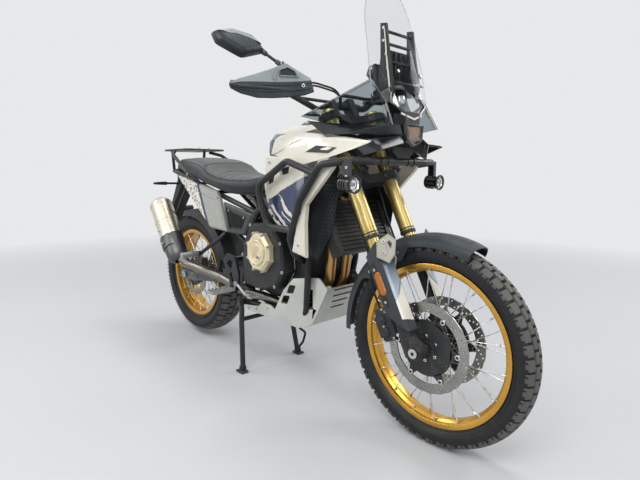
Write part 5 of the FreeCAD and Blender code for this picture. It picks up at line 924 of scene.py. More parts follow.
# A brake disc: drilled friction ring, dark carrier with arms and the floating buttons between them.
def makeDisc(name, body, centre, face, spec, replaces=None):
    at = place(centre, (0, 1, 0))
    outer, inner, carrier, bore, arms = (spec[k] for k in ("outer", "inner", "carrier", "bore", "arms"))
    low, high = face, face + spec["thick"]
    loops = [[], [], [], []]
    for a in turns(168):
        ro = outer - spec["wave"] * (0.5 + 0.5 * cos(a * spec["waves"]))
        ri = inner + spec["wave"] * 0.8 * (0.5 + 0.5 * cos(a * arms * 2))
        for loop, (r, h) in zip(loops, ((ri, low), (ro, low), (ro, high), (ri, high))):
            loop.append((*around(r, a), h))
    ring = Form().rings(loops, 0, at, wrap=True).piece(name + "Ring", body, "discSteel", replaces, angle=34)
    holes = Form()
    for k in range(spec["drills"]):
        for row in range(3):
            r = inner + (outer - inner) * (0.24 + 0.27 * row)
            spot = at @ shift((*around(r, 2 * pi * (k + row * 0.30) / spec["drills"]), 0))
            holes.prism(roundOutline(spec["drill"], 12), low - 2, high + 2, spot)
    drill(ring, holes)
    hub = Form()
    mid = (low + high) / 2
    thin = spec["thick"] * 0.5 + 0.4
    side = 1 if face > 0 else -1
    hub.hoop([(bore, mid - thin), (carrier - 20, mid - thin), (carrier - 20, mid + thin), (bore, mid + thin)],
             at, 0, 64)
    arm = ((carrier - 24, 0.20), (carrier - 6, 0.10), (inner + 1.5, 0.075))
    for a in turns(arms):
        outline = [around(r, a - t) for r, t in arm] + [around(r, a + t) for r, t in reversed(arm)]
        hub.prism(outline, mid - thin, mid + thin, at)
        spot = at @ shift((*around(inner - 5, a), mid))
        hub.lathe([(0.01, -5), (8.5, -5), (9.5, -4), (9.5, 4), (8.5, 5), (0.01, 5)], spot, 1, 24)
        hub.lathe([(0.01, -6), (4.5, -6), (4.5, 6), (0.01, 6)], spot, 2, 16)
        spot = at @ shift((*around(bore + 12, a + pi / arms), mid))
        hub.lathe([(0.01, 0), (6, 0), (6, side * 7), (5, side * 8), (0.01, side * 8)], spot, 1, 20)
        hub.lathe([(0.01, side * 8.0), (2.8, side * 8.0), (2.8, side * 8.15), (0.01, side * 8.15)], spot, 2, 6)
    hub.piece(name + "Carrier", body, "caseBlack boltSteel blackBolt", angle=34, bevel=0.5)


# Y is the chain's line, front the small sprocket's centre, big and small the pitch radii.
drive = {"y": 105, "teeth": 45, "big": 116, "small": 40, "front": (-70, 0, 440), "pitch": 15.875, "half": 3.1,
         "bore": 34}


def makeSprocket():
    y, pitchR = drive["y"], drive["big"]
    at = place(rearAxle, (0, 1, 0))
    tooth = ((0.0, -5.5), (0.22, -4.4), (0.42, 3.0), (0.58, 3.0), (0.78, -4.4))
    outline = [(pitchR + rise, 2 * pi * (k + t) / drive["teeth"])
               for k in range(drive["teeth"]) for t, rise in tooth]
    loops = [[(*around(bore or r, a), h) for r, a in outline] for bore, h in (
        (drive["bore"], y - drive["half"]), (None, y - drive["half"]), (None, y + drive["half"]),
        (drive["bore"], y + drive["half"]))]
    plate = Form().rings(loops, 0, at, wrap=True).piece(
        "rearSprocketPlate", "rear_wheel", "satinBlack", "rear_sprocket", angle=34)
    holes, nuts = Form(), Form()
    for a in turns(6):
        window = [around(r, a + t) for r, t in ((56, -0.16), (90, -0.26), (90, 0.26), (56, 0.16))]
        holes.prism(window, y - 10, y + 10, at)
        holes.prism(roundOutline(5, 12), y - 10, y + 10, at @ shift((*around(96, a + 0.52), 0)))
    drill(plate, holes)
    for a in turns(6, 0.5):
        nuts.bolt(rearAxle + Vector((46 * cos(a), y + 3.4, 46 * sin(a))), (0, 1, 0), 7)
    nuts.piece("rearSprocketNuts", "rear_wheel", "boltSteel blackBolt")


# Straight runs tangent to both sprockets, with an arc round each, then links at even steps along them.
def makeChain():
    y, front, back = drive["y"], Vector(drive["front"]), Vector((rearAxle.x, 0, rearAxle.z))
    span = front - back
    tilt = atan2(span.z, span.x)
    spread = acos((drive["big"] - drive["small"]) / span.length)
    path = []
    for centre, r, a0, a1 in ((back, drive["big"], tilt + spread, tilt + 2 * pi - spread),
                              (front, drive["small"], tilt - spread, tilt + spread)):
        steps = max(8, int(abs(a1 - a0) * r / 6))
        for i in range(steps):
            a = a0 + (a1 - a0) * i / steps
            path.append(centre + Vector((r * cos(a), 0, r * sin(a))))
    lengths = [(path[(i + 1) % len(path)] - p).length for i, p in enumerate(path)]
    total = sum(lengths)
    count = 2 * round(total / drive["pitch"] / 2)

    def pointAt(s):
        s %= total
        for p, q, length in zip(path, path[1:] + path[:1], lengths):
            if s <= length:
                return p.lerp(q, s / length)
            s -= length
        return path[0]

    form = Form()
    for k in range(count):
        a, b = pointAt(k * (total / count)), pointAt((k + 1) * (total / count))
        run = (b - a).normalized()
        up = Vector((-run.z, 0, run.x))
        low, high, mark = (3.4, 5.0, 1) if k % 2 else (5.3, 6.8, 0)
        ends = [[end + run * (lean * 6.6 * cos(t)) + up * (lean * 6.6 * sin(t))
                 for t in (radians(45 * i) for i in range(-2, 3))] for end, lean in ((b, 1), (a, -1))]
        outline = ends[0] + [(a + b) / 2 + up * 5.0] + ends[1] + [(a + b) / 2 - up * 5.0]
        for sign in (1, -1):
            form.rings([[p + Vector((0, y + sign * h, 0)) for p in outline] for h in (low, high)], mark)
        spot = place(a + Vector((0, y, 0)), (0, 1, 0))
        form.lathe([(0.01, -7.0), (2.6, -7.0), (2.6, 7.0), (0.01, 7.0)], spot, 1, 8)
        form.hoop([(2.7, -3.3), (5.0, -3.3), (5.0, 3.3), (2.7, 3.3)], spot, 1, 8)
    form.piece("driveChainLinks", "chassis", "chainSteel boltSteel", "drive_chain", angle=34)


for key, wheel in wheels.items():
    makeTyre(key, wheel)
    makeRim(key, wheel)
    makeSpokes(key, wheel)
    makeHub(key, wheel)
    print(key, "wheel made")
makeDisc("frontDiscLeft", "front_wheel", frontAxle, 52.2, frontDisc, "front_discs")
makeDisc("frontDiscRight", "front_wheel", frontAxle, -56.8, frontDisc, "front_discs")
makeDisc("rearDisc", "rear_wheel", rearAxle, -66.8, rearDisc, "rear_disc")
makeSprocket()
makeChain()
print("discs, sprocket and chain made")


# Fork, its guards, the fender and what the steering carries below the clamps. Here u is forward of the steering
# axis and s is up along it; profiles are radius and height.
fork = {
    "u": 38, "y": 105, "sides": 56,
    "tube": [(21.7, 402.5), (27, 402.5), (27, 408), (27, 884), (26, 885)],
    "collars": ([(21.8, 401.9), (28.8, 402.4), (29.5, 404), (29.5, 414), (28.4, 416), (27.1, 416)],
                [(27.3, 420), (27.9, 421), (27.9, 424), (27.3, 425)]),
    "cap": [(26, 885), (24, 888), (19, 893), (18, 893), (17.4, 890), (0.01, 890)],
    "leg": [(0.01, 2), (20, 2), (21.5, 5), (21.5, 296), (23, 297), (23, 301), (21.6, 302)],
    "foot": [(10.2, -21.4), (23.5, -21.4), (25, -20), (25, 20), (23.5, 21.4), (10.2, 21.4)],
    "heel": [(17, 8), (80, 16), (82, -16), (58, -56), (17, -40)],
}
turned = {"up": Matrix.Identity(4), "side": Matrix.Rotation(-pi / 2, 4, "X"),
          "ahead": Matrix.Rotation(pi / 2, 4, "Y")}


def steeredAt(u, y, s, along="up"):
    return shift(steered(u, y, s)) @ steerTurn @ turned[along]


def makeFork():
    tubes, legs, sides = Form(), Form(), fork["sides"]
    for y in (fork["y"], -fork["y"]):
        top = steeredAt(fork["u"], y, 0)
        side = 1 if y > 0 else -1
        tubes.lathe(fork["tube"], top, 0, sides)
        for collar in fork["collars"]:
            tubes.lathe(collar, top, 1, sides)
        tubes.lathe(fork["cap"], top, 2, 48)
        tubes.prism(roundOutline(11, 6), 890, 896, top, 3)
        legs.lathe([(21.5, 300), (21.5, 410)], top, 0, sides)
        legs.lathe(fork["leg"], top, 1, sides)
        legs.lathe(fork["foot"], steeredAt(60, y, 0, "side"), 1, 48)
        legs.prism(fork["heel"], -17, 17, steeredAt(0, y, 0, "side"), 1)
        legs.bolt(steered(72, y, -13), steeredWay(0, 0, -1), 5, 2)
        for s in (66, 134):
            legs.bolt(steered(-26, y - side * 32.5, s), (0, -side, 0), 6, 2)
    tubes.piece("forkOuterTubes", "steering", "lattice satinBlack goldSmooth boltSteel", "fork_tubes", angle=34)
    legs.piece("forkInnerTubes", "steering", "goldSmooth caseBlack boltSteel blackBolt", "fork_legs", angle=34)


forkGuard = {"front": 72.5, "side": 137.5, "wall": 4, "back": 12, "inner": 79.5, "low": 70, "high": 386}


def makeForkGuards():
    front, side, wall, back, inner, low, high = forkGuard.values()
    section = [
        (back, side), (40, side), (front - 16, side - 1), (front - 7, side - 6), (front - 1.5, side - 14),
        (front, side - 24), (front, inner), (front - wall, inner), (front - wall, side - 24),
        (front - wall - 2, side - 15), (front - 11, side - 9.5), (front - 19, side - wall - 1),
        (40, side - wall), (back, side - wall),
    ]
    guard, rings = Form(), []
    for t in (0, 0.02, 0.1, 0.25, 0.5, 0.75, 0.9, 0.98, 1):
        ring = []
        for u, y in section:
            start = low + 74 * max(0, 1 - (u - back) / 58)
            end = high - 36 + 36 * ((u - back) / (front - back))
            swell = -0.8 if t in (0, 1) else 0
            ring.append((u + swell * 0.3, y + swell, start + (end - start) * t))
        rings.append(ring)
    guard.rings(rings, 0, steerAt)
    # the painted field on the front face and its edge, a hair proud of the moulding
    field = [(front + 0.5, inner + 2), (front + 0.5, side - 24),
             (front - 1.2, side - 14), (front - 6.4, side - 6)]
    guard.rings([[(u, y, s + (y - inner) * 0.25) for u, y in field] for s in (100, 368)], 1, steerAt,
                closed=False, caps=False)
    guard.tube([(front + 0.6, inner + 3, 236), (front + 0.6, side - 26, 196), (front - 6, side - 6, 176)],
               0.9, 6, 3, steerAt)
    guard.rings([[(back + 8, side + 0.3, s) for s in (low + 104, high - 70)],
                 [(back + 26, side + 0.3, s) for s in (low + 90, high - 62)]], 3, steerAt, closed=False,
                caps=False)
    for s in (low + 112, high - 90):
        guard.bolt(steered(back + 17, side, s), (0, 1, 0), 5, 4)
    # the oval reflector on the outer side
    oval = [(33 + 13 * cos(a), -246 - 29 * (1 if a < pi else -1) - 13 * sin(a)) for a in turns(28, 0.5)]
    guard.prism(oval, side - 0.2, side + 3, steerAt @ Matrix.Rotation(-pi / 2, 4, "X"), 6, 0.9)
    guard.mirrored().piece(
        "forkGuards", "steering", "slatePlastic guardFade creamPaint darkPlastic boltSteel blackBolt amber",
        "fork_guards", bevel=0.5, angle=40)


# Angles are degrees about the axle; the skirts are deeper between two of them.
fender = {"inside": 362, "half": 60, "deep": 62, "rim": 24, "from": 67, "to": 183.2, "skirt": (104, 146),
          "bolts": (112, 138), "boltsAt": (330, 63.6), "rib": (72, 172), "rings": 66}


def makeFender():
    inside, half, rim = fender["inside"], fender["half"], fender["rim"]
    first, last = fender["skirt"]

    def bent(points, a):
        return [(frontAxle.x + r * cos(a), y, frontAxle.z + r * sin(a)) for r, y in points]

    form, rings = Form(), []
    for i in range(fender["rings"] + 1):
        a = fender["from"] + (fender["to"] - fender["from"]) * i / fender["rings"]
        reach = rim
        if first < a < last:
            reach = rim + (fender["deep"] - rim) * min(1, (a - first) / 7, (last - a) / 7)
        edge = half * (1 - 0.10 * max(0, 1 - (a - fender["from"]) / 9) ** 2)
        outer = [(inside - reach, edge + 3.6), (inside - 12, edge + 3.8), (inside - 4, edge + 1.5),
                 (inside + 4, edge * 0.92), (inside + 12, edge * 0.72), (inside + 15.5, edge * 0.45),
                 (inside + 17.4, 0)]
        under = [(r - (3.4 if y < half * 0.95 else 0), y - (3.4 if y > half * 0.9 else 1.2)) for r, y in outer]
        under[-1] = (inside + 14.2, 0)
        ring = outer + [(r, -y) for r, y in reversed(outer[:-1])]
        ring += [(r, -y) for r, y in under[:-1]] + list(reversed(under))
        rings.append(bent(ring, radians(a)))
    form.rings(rings, 0)
    # the raised rib along the crown
    rib = ((inside + 13.2, 17), (inside + 17.8, 14), (inside + 17.8, -14), (inside + 13.2, -17))
    low, high = fender["rib"]
    form.rings([bent(rib, radians(low + (high - low) * i / 39)) for i in range(40)], 0)
    r, y = fender["boltsAt"]
    for side in (1, -1):
        for a in fender["bolts"]:
            form.bolt(bent([(r, side * y)], radians(a))[0], (0, side, 0), 5, 1)
    form.piece("frontFenderShell", "steering", "slatePlastic boltSteel blackBolt", "front_fender", angle=42)


# Outlines are u and s; face and proud are sideways.
bracket = {
    "plate": [(26, 300), (22, 362), (46, 392), (78, 372), (80, 312), (60, 284)],
    "middle": [(33, 308), (31, 356), (49, 379), (71, 366), (73, 317), (57, 296)],
    "face": 73.3, "proud": 2.2, "bolts": ((58, 366), (66, 326)),
}


def makeBrackets():
    form, face, proud = Form(), bracket["face"], bracket["proud"]
    plate, middle = bracket["plate"], bracket["middle"]
    form.rings([[(u, s, h) for u, s in ring] for ring, h in (
        (plate, -64.4), (plate, 1 - face), (scaled(plate, 0.97, (50, 338)), -face),
        (middle, -face), (scaled(middle, 0.94, (51, 338)), proud - face))], 0, steerFace)
    form.block((32, 40, 22), steeredAt(fork["u"] + 4, 84, 325) @ upright, 1)
    for u, s in bracket["bolts"]:
        form.bolt(steered(u, face - proud, s), (0, 1, 0), 6.5, 2)
    form.mirrored().piece("fenderBrackets", "steering", "warmGrey caseBlack boltSteel blackBolt",
                          "fender_brackets", bevel=0.6)


# Outlines and bolts are u and s; each half runs from and to a distance sideways.
caliper = {
    "outline": [(-105, 72), (-105, 146), (-90, 164), (-50, 164), (-34, 148), (-34, 66), (-48, 52), (-88, 54)],
    "edge": [(-98, 76), (-98, 142), (-87, 156), (-54, 156), (-41, 144), (-41, 70), (-51, 60), (-85, 61)],
    "halves": ((38, 49.5), (59.5, 73.3)), "pistons": (86, 130),
    "bolts": ((-96, 66), (-96, 152), (-44, 60), (-44, 156), (-72, 108)),
}


def makeCalipers():
    form, outline, edge = Form(), caliper["outline"], caliper["edge"]
    for low, high in caliper["halves"]:
        form.rings([[(u, s, -h) for u, s in ring] for ring, h in (
            (edge, low), (outline, low + 2), (outline, high - 2), (edge, high))], 0, steerFace)
    form.block((56, 20, 36), steeredAt(-70, 55.6, 155), 0)
    for s in caliper["pistons"]:
        face = steeredAt(-72, 73.4, s, "side")
        form.lathe([(0.01, 6.4), (14, 6.4), (16, 5.6), (18.6, 4), (19, 2), (19, -1)], face, 0, 40)
        form.lathe([(0.01, 6.9), (9, 6.9), (10, 6.4)], face, 1, 6)
    for u, s in caliper["bolts"]:
        form.bolt(steered(u, 73.3, s), (0, 1, 0), 4.6, 2)
    form.lathe([(0.01, 12), (5, 12), (7, 9), (7, 0)], steeredAt(-66, 64, 162), 2, 20)
    form.mirrored().piece("frontBrakeCalipers", "steering", "caseBlack satinBlack boltSteel blackBolt",
                          "front_calipers", bevel=0.7)


makeFork()
makeForkGuards()
makeFender()
makeBrackets()
makeCalipers()
print("fork, guards, fender and calipers made")


# Tank, side bodywork, lamp, screen and what stands around them.
tank = {
    # X, then half width and height of the lower edge, side, knee, shoulder, top, and the crown's height
    "rows": (
        (-23, 62, 925, 92, 950, 96, 975, 92, 1006, 50, 1012),
        (-4, 66, 929, 108, 966, 110, 1006, 112, 1062, 58, 1066),
        (28, 72, 935, 128, 985, 124, 1040, 134, 1092, 70, 1102),
        (60, 78, 939, 146, 988, 140, 1044, 154, 1100, 76, 1110),
        (90, 84, 942, 160, 990, 153, 1047, 169, 1102, 80, 1114),
        (150, 90, 945, 171, 992, 164, 1048, 180, 1102, 82, 1115),
        (200, 90, 948, 174, 994, 167, 1047, 181, 1096, 76, 1110),
        (235, 90, 950, 175, 996, 169, 1044, 180, 1088, 68, 1101),
    ),
    "bottom": 901, "cap": (140, 0, 1107), "lean": (-0.05, 0, 1), "screws": 42, "capRadii": (46.5, 37.5),
}


def makeTank():
    form, rings = Form(), []
    for x, low, sideZ, side, kneeZ, knee, shoulderZ, shoulder, topZ, top, crown in tank["rows"]:
        half = [
            (low, tank["bottom"]), (side, sideZ), (knee, kneeZ), (shoulder - 3, (kneeZ + shoulderZ) / 2 + 6),
            (shoulder, shoulderZ), (shoulder * 0.62 + top * 0.38, shoulderZ * 0.4 + topZ * 0.6),
            (top, topZ), (top * 0.5, crown - 2), (0, crown),
        ]
        rings.append([(x, y, z) for y, z in half] + [(x, -y, z) for y, z in reversed(half[:-1])])
    form.rings(rings)
    form.piece("tankShell", "chassis", "tankFade", "fuel_tank", angle=24)
    filler = Form()
    filler.block((238, 172, 50), shift((100, 0, 881)), 0)
    cap, (ring, lid) = place(tank["cap"], tank["lean"]), tank["capRadii"]
    filler.disc(ring, -3, 9, cap, 1, 56, 2)
    filler.disc(lid, 6, 17, cap, 2, 48, 2)
    filler.lathe([(23, 17), (24, 18.2), (30, 18.2), (31, 17)], cap, 1, 40)
    filler.block((44, 8, 5), cap @ shift((0, 0, 18)), 2)
    for a in turns(6):
        filler.bolt(cap @ Vector((*around(tank["screws"], a), 9)), tank["lean"], 2.8, 3)
    filler.piece("tankFiller", "chassis", "darkPlastic satinBlack castAlloy boltSteel blackBolt", bevel=0.5)


# The wing's rows are X, then Y and Z of its deck, ridge and lower edge. The other outlines are X and Z.
shroud = {
    "wing": (
        (130, -162, 1062, -186, 1048, -204, 992), (236, -160, 1074, -200, 1052, -226, 969),
        (345, -160, 1060, -214, 1046, -236, 949), (470, -164, 1045, -214, 1036, -234, 971),
        (560, -180, 1032, -208, 1027, -222, 994), (628, -198, 1021, -205, 1021, -208, 1015),
    ),
    "panel": [(122, 984), (236, 976), (350, 968), (352, 844), (308, 793), (292, 721), (284, 672), (180, 726),
              (136, 768), (112, 870)],
    "vents": ([(205, 934), (268, 946), (262, 918), (214, 908)],
              [(126, 900), (182, 914), (172, 884), (128, 868)]),
    "seam": [(150, 988), (205, 1003), (262, 1026), (318, 1040)],
    "recess": [(352, 992), (404, 1014), (504, 1004), (468, 985)],
    "strip": [(140, 776), (182, 734), (282, 682), (284, 690), (186, 742), (146, 782)],
    "blade": [(452, 962), (512, 966), (500, 938), (370, 809), (363, 743), (366, 618), (292, 631), (312, 705),
              (334, 800), (350, 850)],
    "panelBolts": ((150, 958), (330, 940), (300, 700), (170, 756)),
    "bladeBolts": ((476, 948), (330, 660), (346, 780)),
}


# Deck, ridge, middle and lower edge of the wing at X.
def wingAt(x):
    _, deckY, deckZ, ridgeY, ridgeZ, lowY, lowZ = rowAt(shroud["wing"], x)
    return deckY, deckZ, ridgeY, ridgeZ, (ridgeY + lowY) / 2 - 2.5, (ridgeZ + lowZ) / 2, lowY, lowZ


def onWing(x, z, lift):
    deckY, deckZ, ridgeY, ridgeZ, midY, midZ, lowY, lowZ = wingAt(x)
    if z > midZ:
        y = midY + (ridgeY - 1 - midY) * min(1, (z - midZ) / max(1, ridgeZ - 3 - midZ))
    else:
        y = midY + (lowY - midY) * min(1, (midZ - z) / max(1, midZ - lowZ))
    return x, y - lift, z


def makeShrouds():
    wing, rings = Form(), []
    for i in range(31):
        x = 130 + (628 - 130) * i / 30
        deckY, deckZ, ridgeY, ridgeZ, midY, midZ, lowY, lowZ = wingAt(x)
        inset = min(5, abs(ridgeY - deckY) * 0.4)
        outer = [(deckY, deckZ), (ridgeY + 4, ridgeZ + 1.2), (ridgeY - 1, ridgeZ - 3),
                 (midY, midZ), (lowY, lowZ)]
        inner = [(lowY + inset, lowZ + 1), (midY + inset, midZ), (ridgeY + inset, ridgeZ - inset),
                 (deckY + 1, deckZ - inset)]
        rings.append([(x, y, z) for y, z in outer + inner])
    wing.rings(rings, 0)
    made = wing.mirrored().piece("shroudWings", "chassis", "creamPaint darkPlastic", "tank_shrouds", angle=34,
                                 bevel=0.6)
    for poly in made.data.polygons:  # dark inside
        if poly.normal.y * poly.center.y < -0.25 * abs(poly.center.y):
            poly.material_index = 1

    panel = Form().slab(shroud["panel"], ((-212, 1.0), (-222, 1.0), (-228, 0.975), (-229.5, 0.94))).mirrored()
    sheet = panel.piece("shroudPanels", "chassis", "flash", angle=34)
    holes, trim = Form(), Form()
    for vent in shroud["vents"]:
        holes.slab(vent, (-240, -200))
    drill(sheet, holes.mirrored())

    recess = shroud["recess"]
    trim.rings([[onWing(x, z, lift) for x, z in recess] for lift in (0.4, 1.6)], 1)
    trim.tube([onWing(x, z, 0.4) for x, z in recess + recess[:1]], 1.4, 6, 0)
    trim.tube([onWing(x, z, 0.2) for x, z in shroud["seam"]], 1.1, 6, 1)
    for vent in shroud["vents"]:
        trim.slab(vent, (-213, -216), 2)
    for x, z in shroud["panelBolts"]:
        trim.bolt((x, -229.4, z), (0, -1, 0), 5.5, 3)
    trim.slab(shroud["strip"], (-229, -230.2), 0)
    trim.mirrored().piece("shroudTrim", "chassis", "creamPaint darkPlastic meshBlack boltSteel blackBolt",
                          angle=30)

    blade = Form().slab(shroud["blade"], ((-224, 1.0), (-235, 1.0), (-239.5, 0.975), (-241, 0.945)))
    blade.block((50, 10, 44), shift((445, -227, 962)), 0)
    for x, z in shroud["bladeBolts"]:
        blade.bolt((x, -240.8, z), (0, -1, 0), 5, 1)
    blade.mirrored().piece("shroudBlades", "chassis", "creamPaint boltSteel blackBolt", angle=34, bevel=0.8)


# Outlines of both lamps, seen from ahead; the pairs are steps back or X, then scales.
headlamp = {
    "upper": [(0, 1102), (52, 1118), (104, 1150), (66, 1218), (0, 1232), (-66, 1218), (-104, 1150),
              (-52, 1118)],
    "lower": [(-46, 1024), (-54, 1086), (54, 1086), (46, 1024), (0, 1006)],
    "x": 642, "slope": 0.42, "middles": (1165, 1055),
    "shell": ((-50, 0.90), (-46, 0.93), (-12, 1.0), (-3, 0.995), (0, 0.97), (0, 0.90), (-7, 0.865), (-22, 0.80),
              (-26, 0.72)),
    "box": ((584, 1, 1), (640, 0.95, 0.93), (650, 0.925, 0.905), (652, 0.90, 0.88), (652, 0.80, 0.77),
            (640, 0.70, 0.66)),
    "upperGlass": ((-6.5, 0.81), (-4, 0.845), (-2.2, 0.83)),
    "lowerGlass": ((645.5, 0.7, 0.68), (648, 0.75, 0.72), (650, 0.73, 0.70)),
    "brow": [(602, -58, 1230), (602, 58, 1230), (628, 70, 1211), (628, -70, 1211)], "browThick": 4,
    "chevron": [(643.5, 0, 1104), (644.5, 0, 1097), (633.5, 60, 1114), (634.5, 58, 1120)],
    "eye": ((588, 0, 1172), (1, 0, 0.12)), "facets": 5, "dots": 9, "bars": 6,
}


def lampFace(z):
    return headlamp["x"] - (z - 1102) * headlamp["slope"]


def upperRings(levels):
    middle = headlamp["middles"][0]
    return [[(lampFace(z) + back, y * k, middle + (z - middle) * k) for y, z in headlamp["upper"]]
            for back, k in levels]


def lowerRings(levels):
    middle = headlamp["middles"][1]
    return [[(x, y * wide, middle + (z - middle) * tall) for y, z in headlamp["lower"]]
            for x, wide, tall in levels]


def makeHeadlamp():
    form = Form()
    form.rings(upperRings(headlamp["shell"]), 0)
    form.rings(lowerRings(headlamp["box"]), 0)
    form.block((50, 80, 45), shift((615, 0, 1102)), 0)
    brow = [Vector(p) for p in headlamp["brow"]]
    normal = (brow[1] - brow[0]).cross(brow[3] - brow[0]).normalized()
    form.rings([brow, [p - normal * headlamp["browThick"] for p in brow]], 0)
    for side in (1, -1):  # the pale chevron under the lens
        form.rings([[(x + d, side * y, z) for x, y, z in headlamp["chevron"]] for d in (0, 2)], 1)
    form.piece("headlampHousing", "chassis", "glossBlack creamPaint", "headlamp", angle=28, bevel=0.8)

    inner = Form()
    # mirrored facets of the bowl on both sides of the projector
    for side in (1, -1):
        for k in range(headlamp["facets"]):
            near, far = side * (26 + k * 10.5), side * (35 + k * 10.5)
            low, high = 1128 + k * 5, 1206 - k * 8
            edge = [(near, low, 0, -4), (far, low, 3.5, -2), (far, high, 3.5, -2), (near, high, 0, -4)]
            inner.rings([[(lampFace(z) - 22 + k * 1.5 + d[i], y, z) for y, z, *d in edge] for i in (0, 1)], 0)
    eye = place(*headlamp["eye"])
    inner.lathe([(24, -14), (24, 2), (22.5, 4.5), (20.6, 4.5), (20.4, 0)], eye, 1, 48)
    inner.lathe([(20.4, -0.5), (19, 3.6), (14, 6.6), (7, 8.2), (0.01, 8.6)], eye, 2, 48)
    for k in range(headlamp["dots"]):
        a = radians(-58 + k * 14.5)
        y, z = 46 * sin(a) * 0.9, 1168 + 44 * cos(a)
        inner.block((3, 6, 6), shift((lampFace(z) - 18, y, z)), 3)
    for k in range(headlamp["bars"]):
        y = -30 + k * 12
        inner.slab([(641, y - 5), (644, y), (641, y + 5)], (1032, 1074), 4, 2)
    inner.piece("headlampInner", "chassis", "reflector glossBlack mirrorGlass plateDark bronzeReflector",
                angle=30)
    glass = Form()
    glass.rings(upperRings(headlamp["upperGlass"]), 0)
    glass.rings(lowerRings(headlamp["lowerGlass"]), 0)
    glass.piece("headlampLenses", "chassis", "lens", "lamp_glass", angle=20)


# Rows are height, X on the middle line, half width and how far the edge lies behind the middle.
screen = {
    "rows": ((1168, 650, 148, 62), (1240, 632, 150, 56), (1330, 602, 142, 46), (1430, 566, 128, 36),
             (1495, 544, 104, 26), (1530, 533, 62, 12)),
    "thick": 3.0, "edge": 1.5, "bolts": ((1394, 73), (1250, 62)), "lean": (1, 0, 0.3),
}


def makeScreen():
    rows, rings = screen["rows"], []
    path = smoothed([(x, half, z) for z, x, half, sag in rows], 8)
    sags = smoothed([(row[3], 0, 0) for row in rows], 8)
    for (x, half, z), sag in zip(path, sags):
        front = [(x - 0.2 - sag.x * t * t, half * t * 0.998, z) for t in (k / 12 - 1 for k in range(25))]
        rings.append(front + [(px - screen["thick"], y * 0.995, pz) for px, y, pz in reversed(front)])
    Form().rings(rings, 0).piece("screenSheet", "chassis", "clear", "windscreen", angle=50)
    side = [ring[0] for ring in rings]
    edge = side + rings[-1][1:24] + [(x, -y, z) for x, y, z in reversed(side)]
    beading = Form().tube([(x, y, z - 1.7) for x, y, z in edge], screen["edge"], 8)
    beading.piece("screenEdge", "chassis", "edgeClear")
    bolts = Form()
    for side in (1, -1):
        for z, y in screen["bolts"]:
            _, middle, half, sag = rowAt(rows, z)
            x = middle - sag * (y / half) ** 2 - 0.4
            bolts.disc(8.5, -0.3, 1.6, place((x, side * y, z), screen["lean"]), 1, 28)
            bolts.bolt((x + 1.2, side * y, z + 0.4), screen["lean"], 5.2, 0)
    bolts.piece("screenBolts", "chassis", "boltSteel gripRubber blackBolt")


# Outlines and bolts are X and Z, and the bars add a radius.
tower = {
    "blade": [(556, 1170), (600, 1150), (612, 1210), (592, 1310), (578, 1406), (552, 1410), (556, 1300),
              (548, 1240)],
    "rail": [(597, 1200), (600, 1204), (584, 1308), (572, 1392), (569, 1392), (580, 1306), (594, 1212)],
    "bolts": ((568, 1392), (570, 1352), (598, 1190), (574, 1184), (590, 1262), (582, 1308)),
    "bars": ((566, 1385, 5), (570, 1345, 5), (575, 1290, 4)),
    "plate": [(560, 1200), (564, 1330), (560, 1330), (556, 1200)],
    "rib": [(564, 1204), (571, 1210), (571, 1322), (564, 1328)], "ribs": (-40, -14, 14, 40),
}
# Each ring of the dash: X of its lower and upper edge, Z of both, then half its width.
dash = {
    "case": ((540, 521, 1192, 1289, 61), (538, 519, 1192, 1290, 62), (524, 506, 1192, 1285, 59),
             (522, 504, 1194, 1283, 57), (522.2, 505.2, 1199, 1279, 52)),
    "glass": ((524, 507, 1199, 1279, 52), (521.5, 504.6, 1200, 1278, 51)), "buttons": 4,
}


def makeTower():
    form = Form()
    for side in (1, -1):
        form.slab(tower["blade"], (side * 68.2, side * 75.8), 0)
        form.slab(tower["rail"], (side * 75.6, side * 78.4), 1)
        for x, z in tower["bolts"]:
            form.bolt((x, side * 78.2, z), (0, side, 0), 4.6, 2)
    for x, z, r in tower["bars"]:
        form.tube([(x, -69, z), (x, 69, z)], r, 16, 0)
    form.block((30, 148, 30), shift((555, 0, 1175)), 0)
    form.slab(tower["plate"], (-67, 67), 0)
    for y in tower["ribs"]:
        form.slab(tower["rib"], (y - 1.5, y + 1.5), 0)
    form.piece("screenTower", "chassis", "darkPlastic creamPaint boltSteel blackBolt", "screen_tower",
               bevel=0.8)


def makeDash():
    form = Form()
    for mark, part in enumerate(("case", "glass")):
        form.rings([[(lowX, -half, lowZ), (lowX, half, lowZ), (highX, half, highZ), (highX, -half, highZ)]
                    for lowX, highX, lowZ, highZ, half in dash[part]], mark)
    form.block((32, 16, 50), shift((546, 0, 1205)), 0)
    for k in range(dash["buttons"]):
        form.disc(3.2, 0, 1.4, place((521 - k * 0.2, -36 + k * 24, 1196.5), (-1, 0, -0.2)), 2, 16)
    form.piece("dashDisplay", "chassis", "darkPlastic screenDark labelGrey", bevel=1.2)


# Corners of the panels on the right side; the chin is Y and Z, seen from ahead.
nose = {
    "pane": [(302, -206, 1120), (548, -112, 1232), (612, -100, 1150), (640, -60, 1056), (520, -166, 1062)],
    "cheek": [(420, -206, 1052), (636, -56, 1046), (640, -44, 985), (566, -200, 972)],
    "behind": [(326, -197, 1104), (520, -150, 1078), (634, -64, 1080), (638, -54, 1050), (524, -152, 1052),
               (420, -200, 1050)],
    "chin": [(-50, 1010), (50, 1010), (58, 992), (30, 972), (-30, 972), (-58, 992)],
}


# Corners laid flat, with their middle and the plane's normal.
def flatten(corners):
    a, b, c = Vector(corners[0]), Vector(corners[1]), Vector(corners[-1])
    normal = (b - a).cross(c - a).normalized()
    flat = [Vector(p) - normal * (Vector(p) - a).dot(normal) for p in corners]
    return flat, sum(flat, Vector()) / len(flat), normal


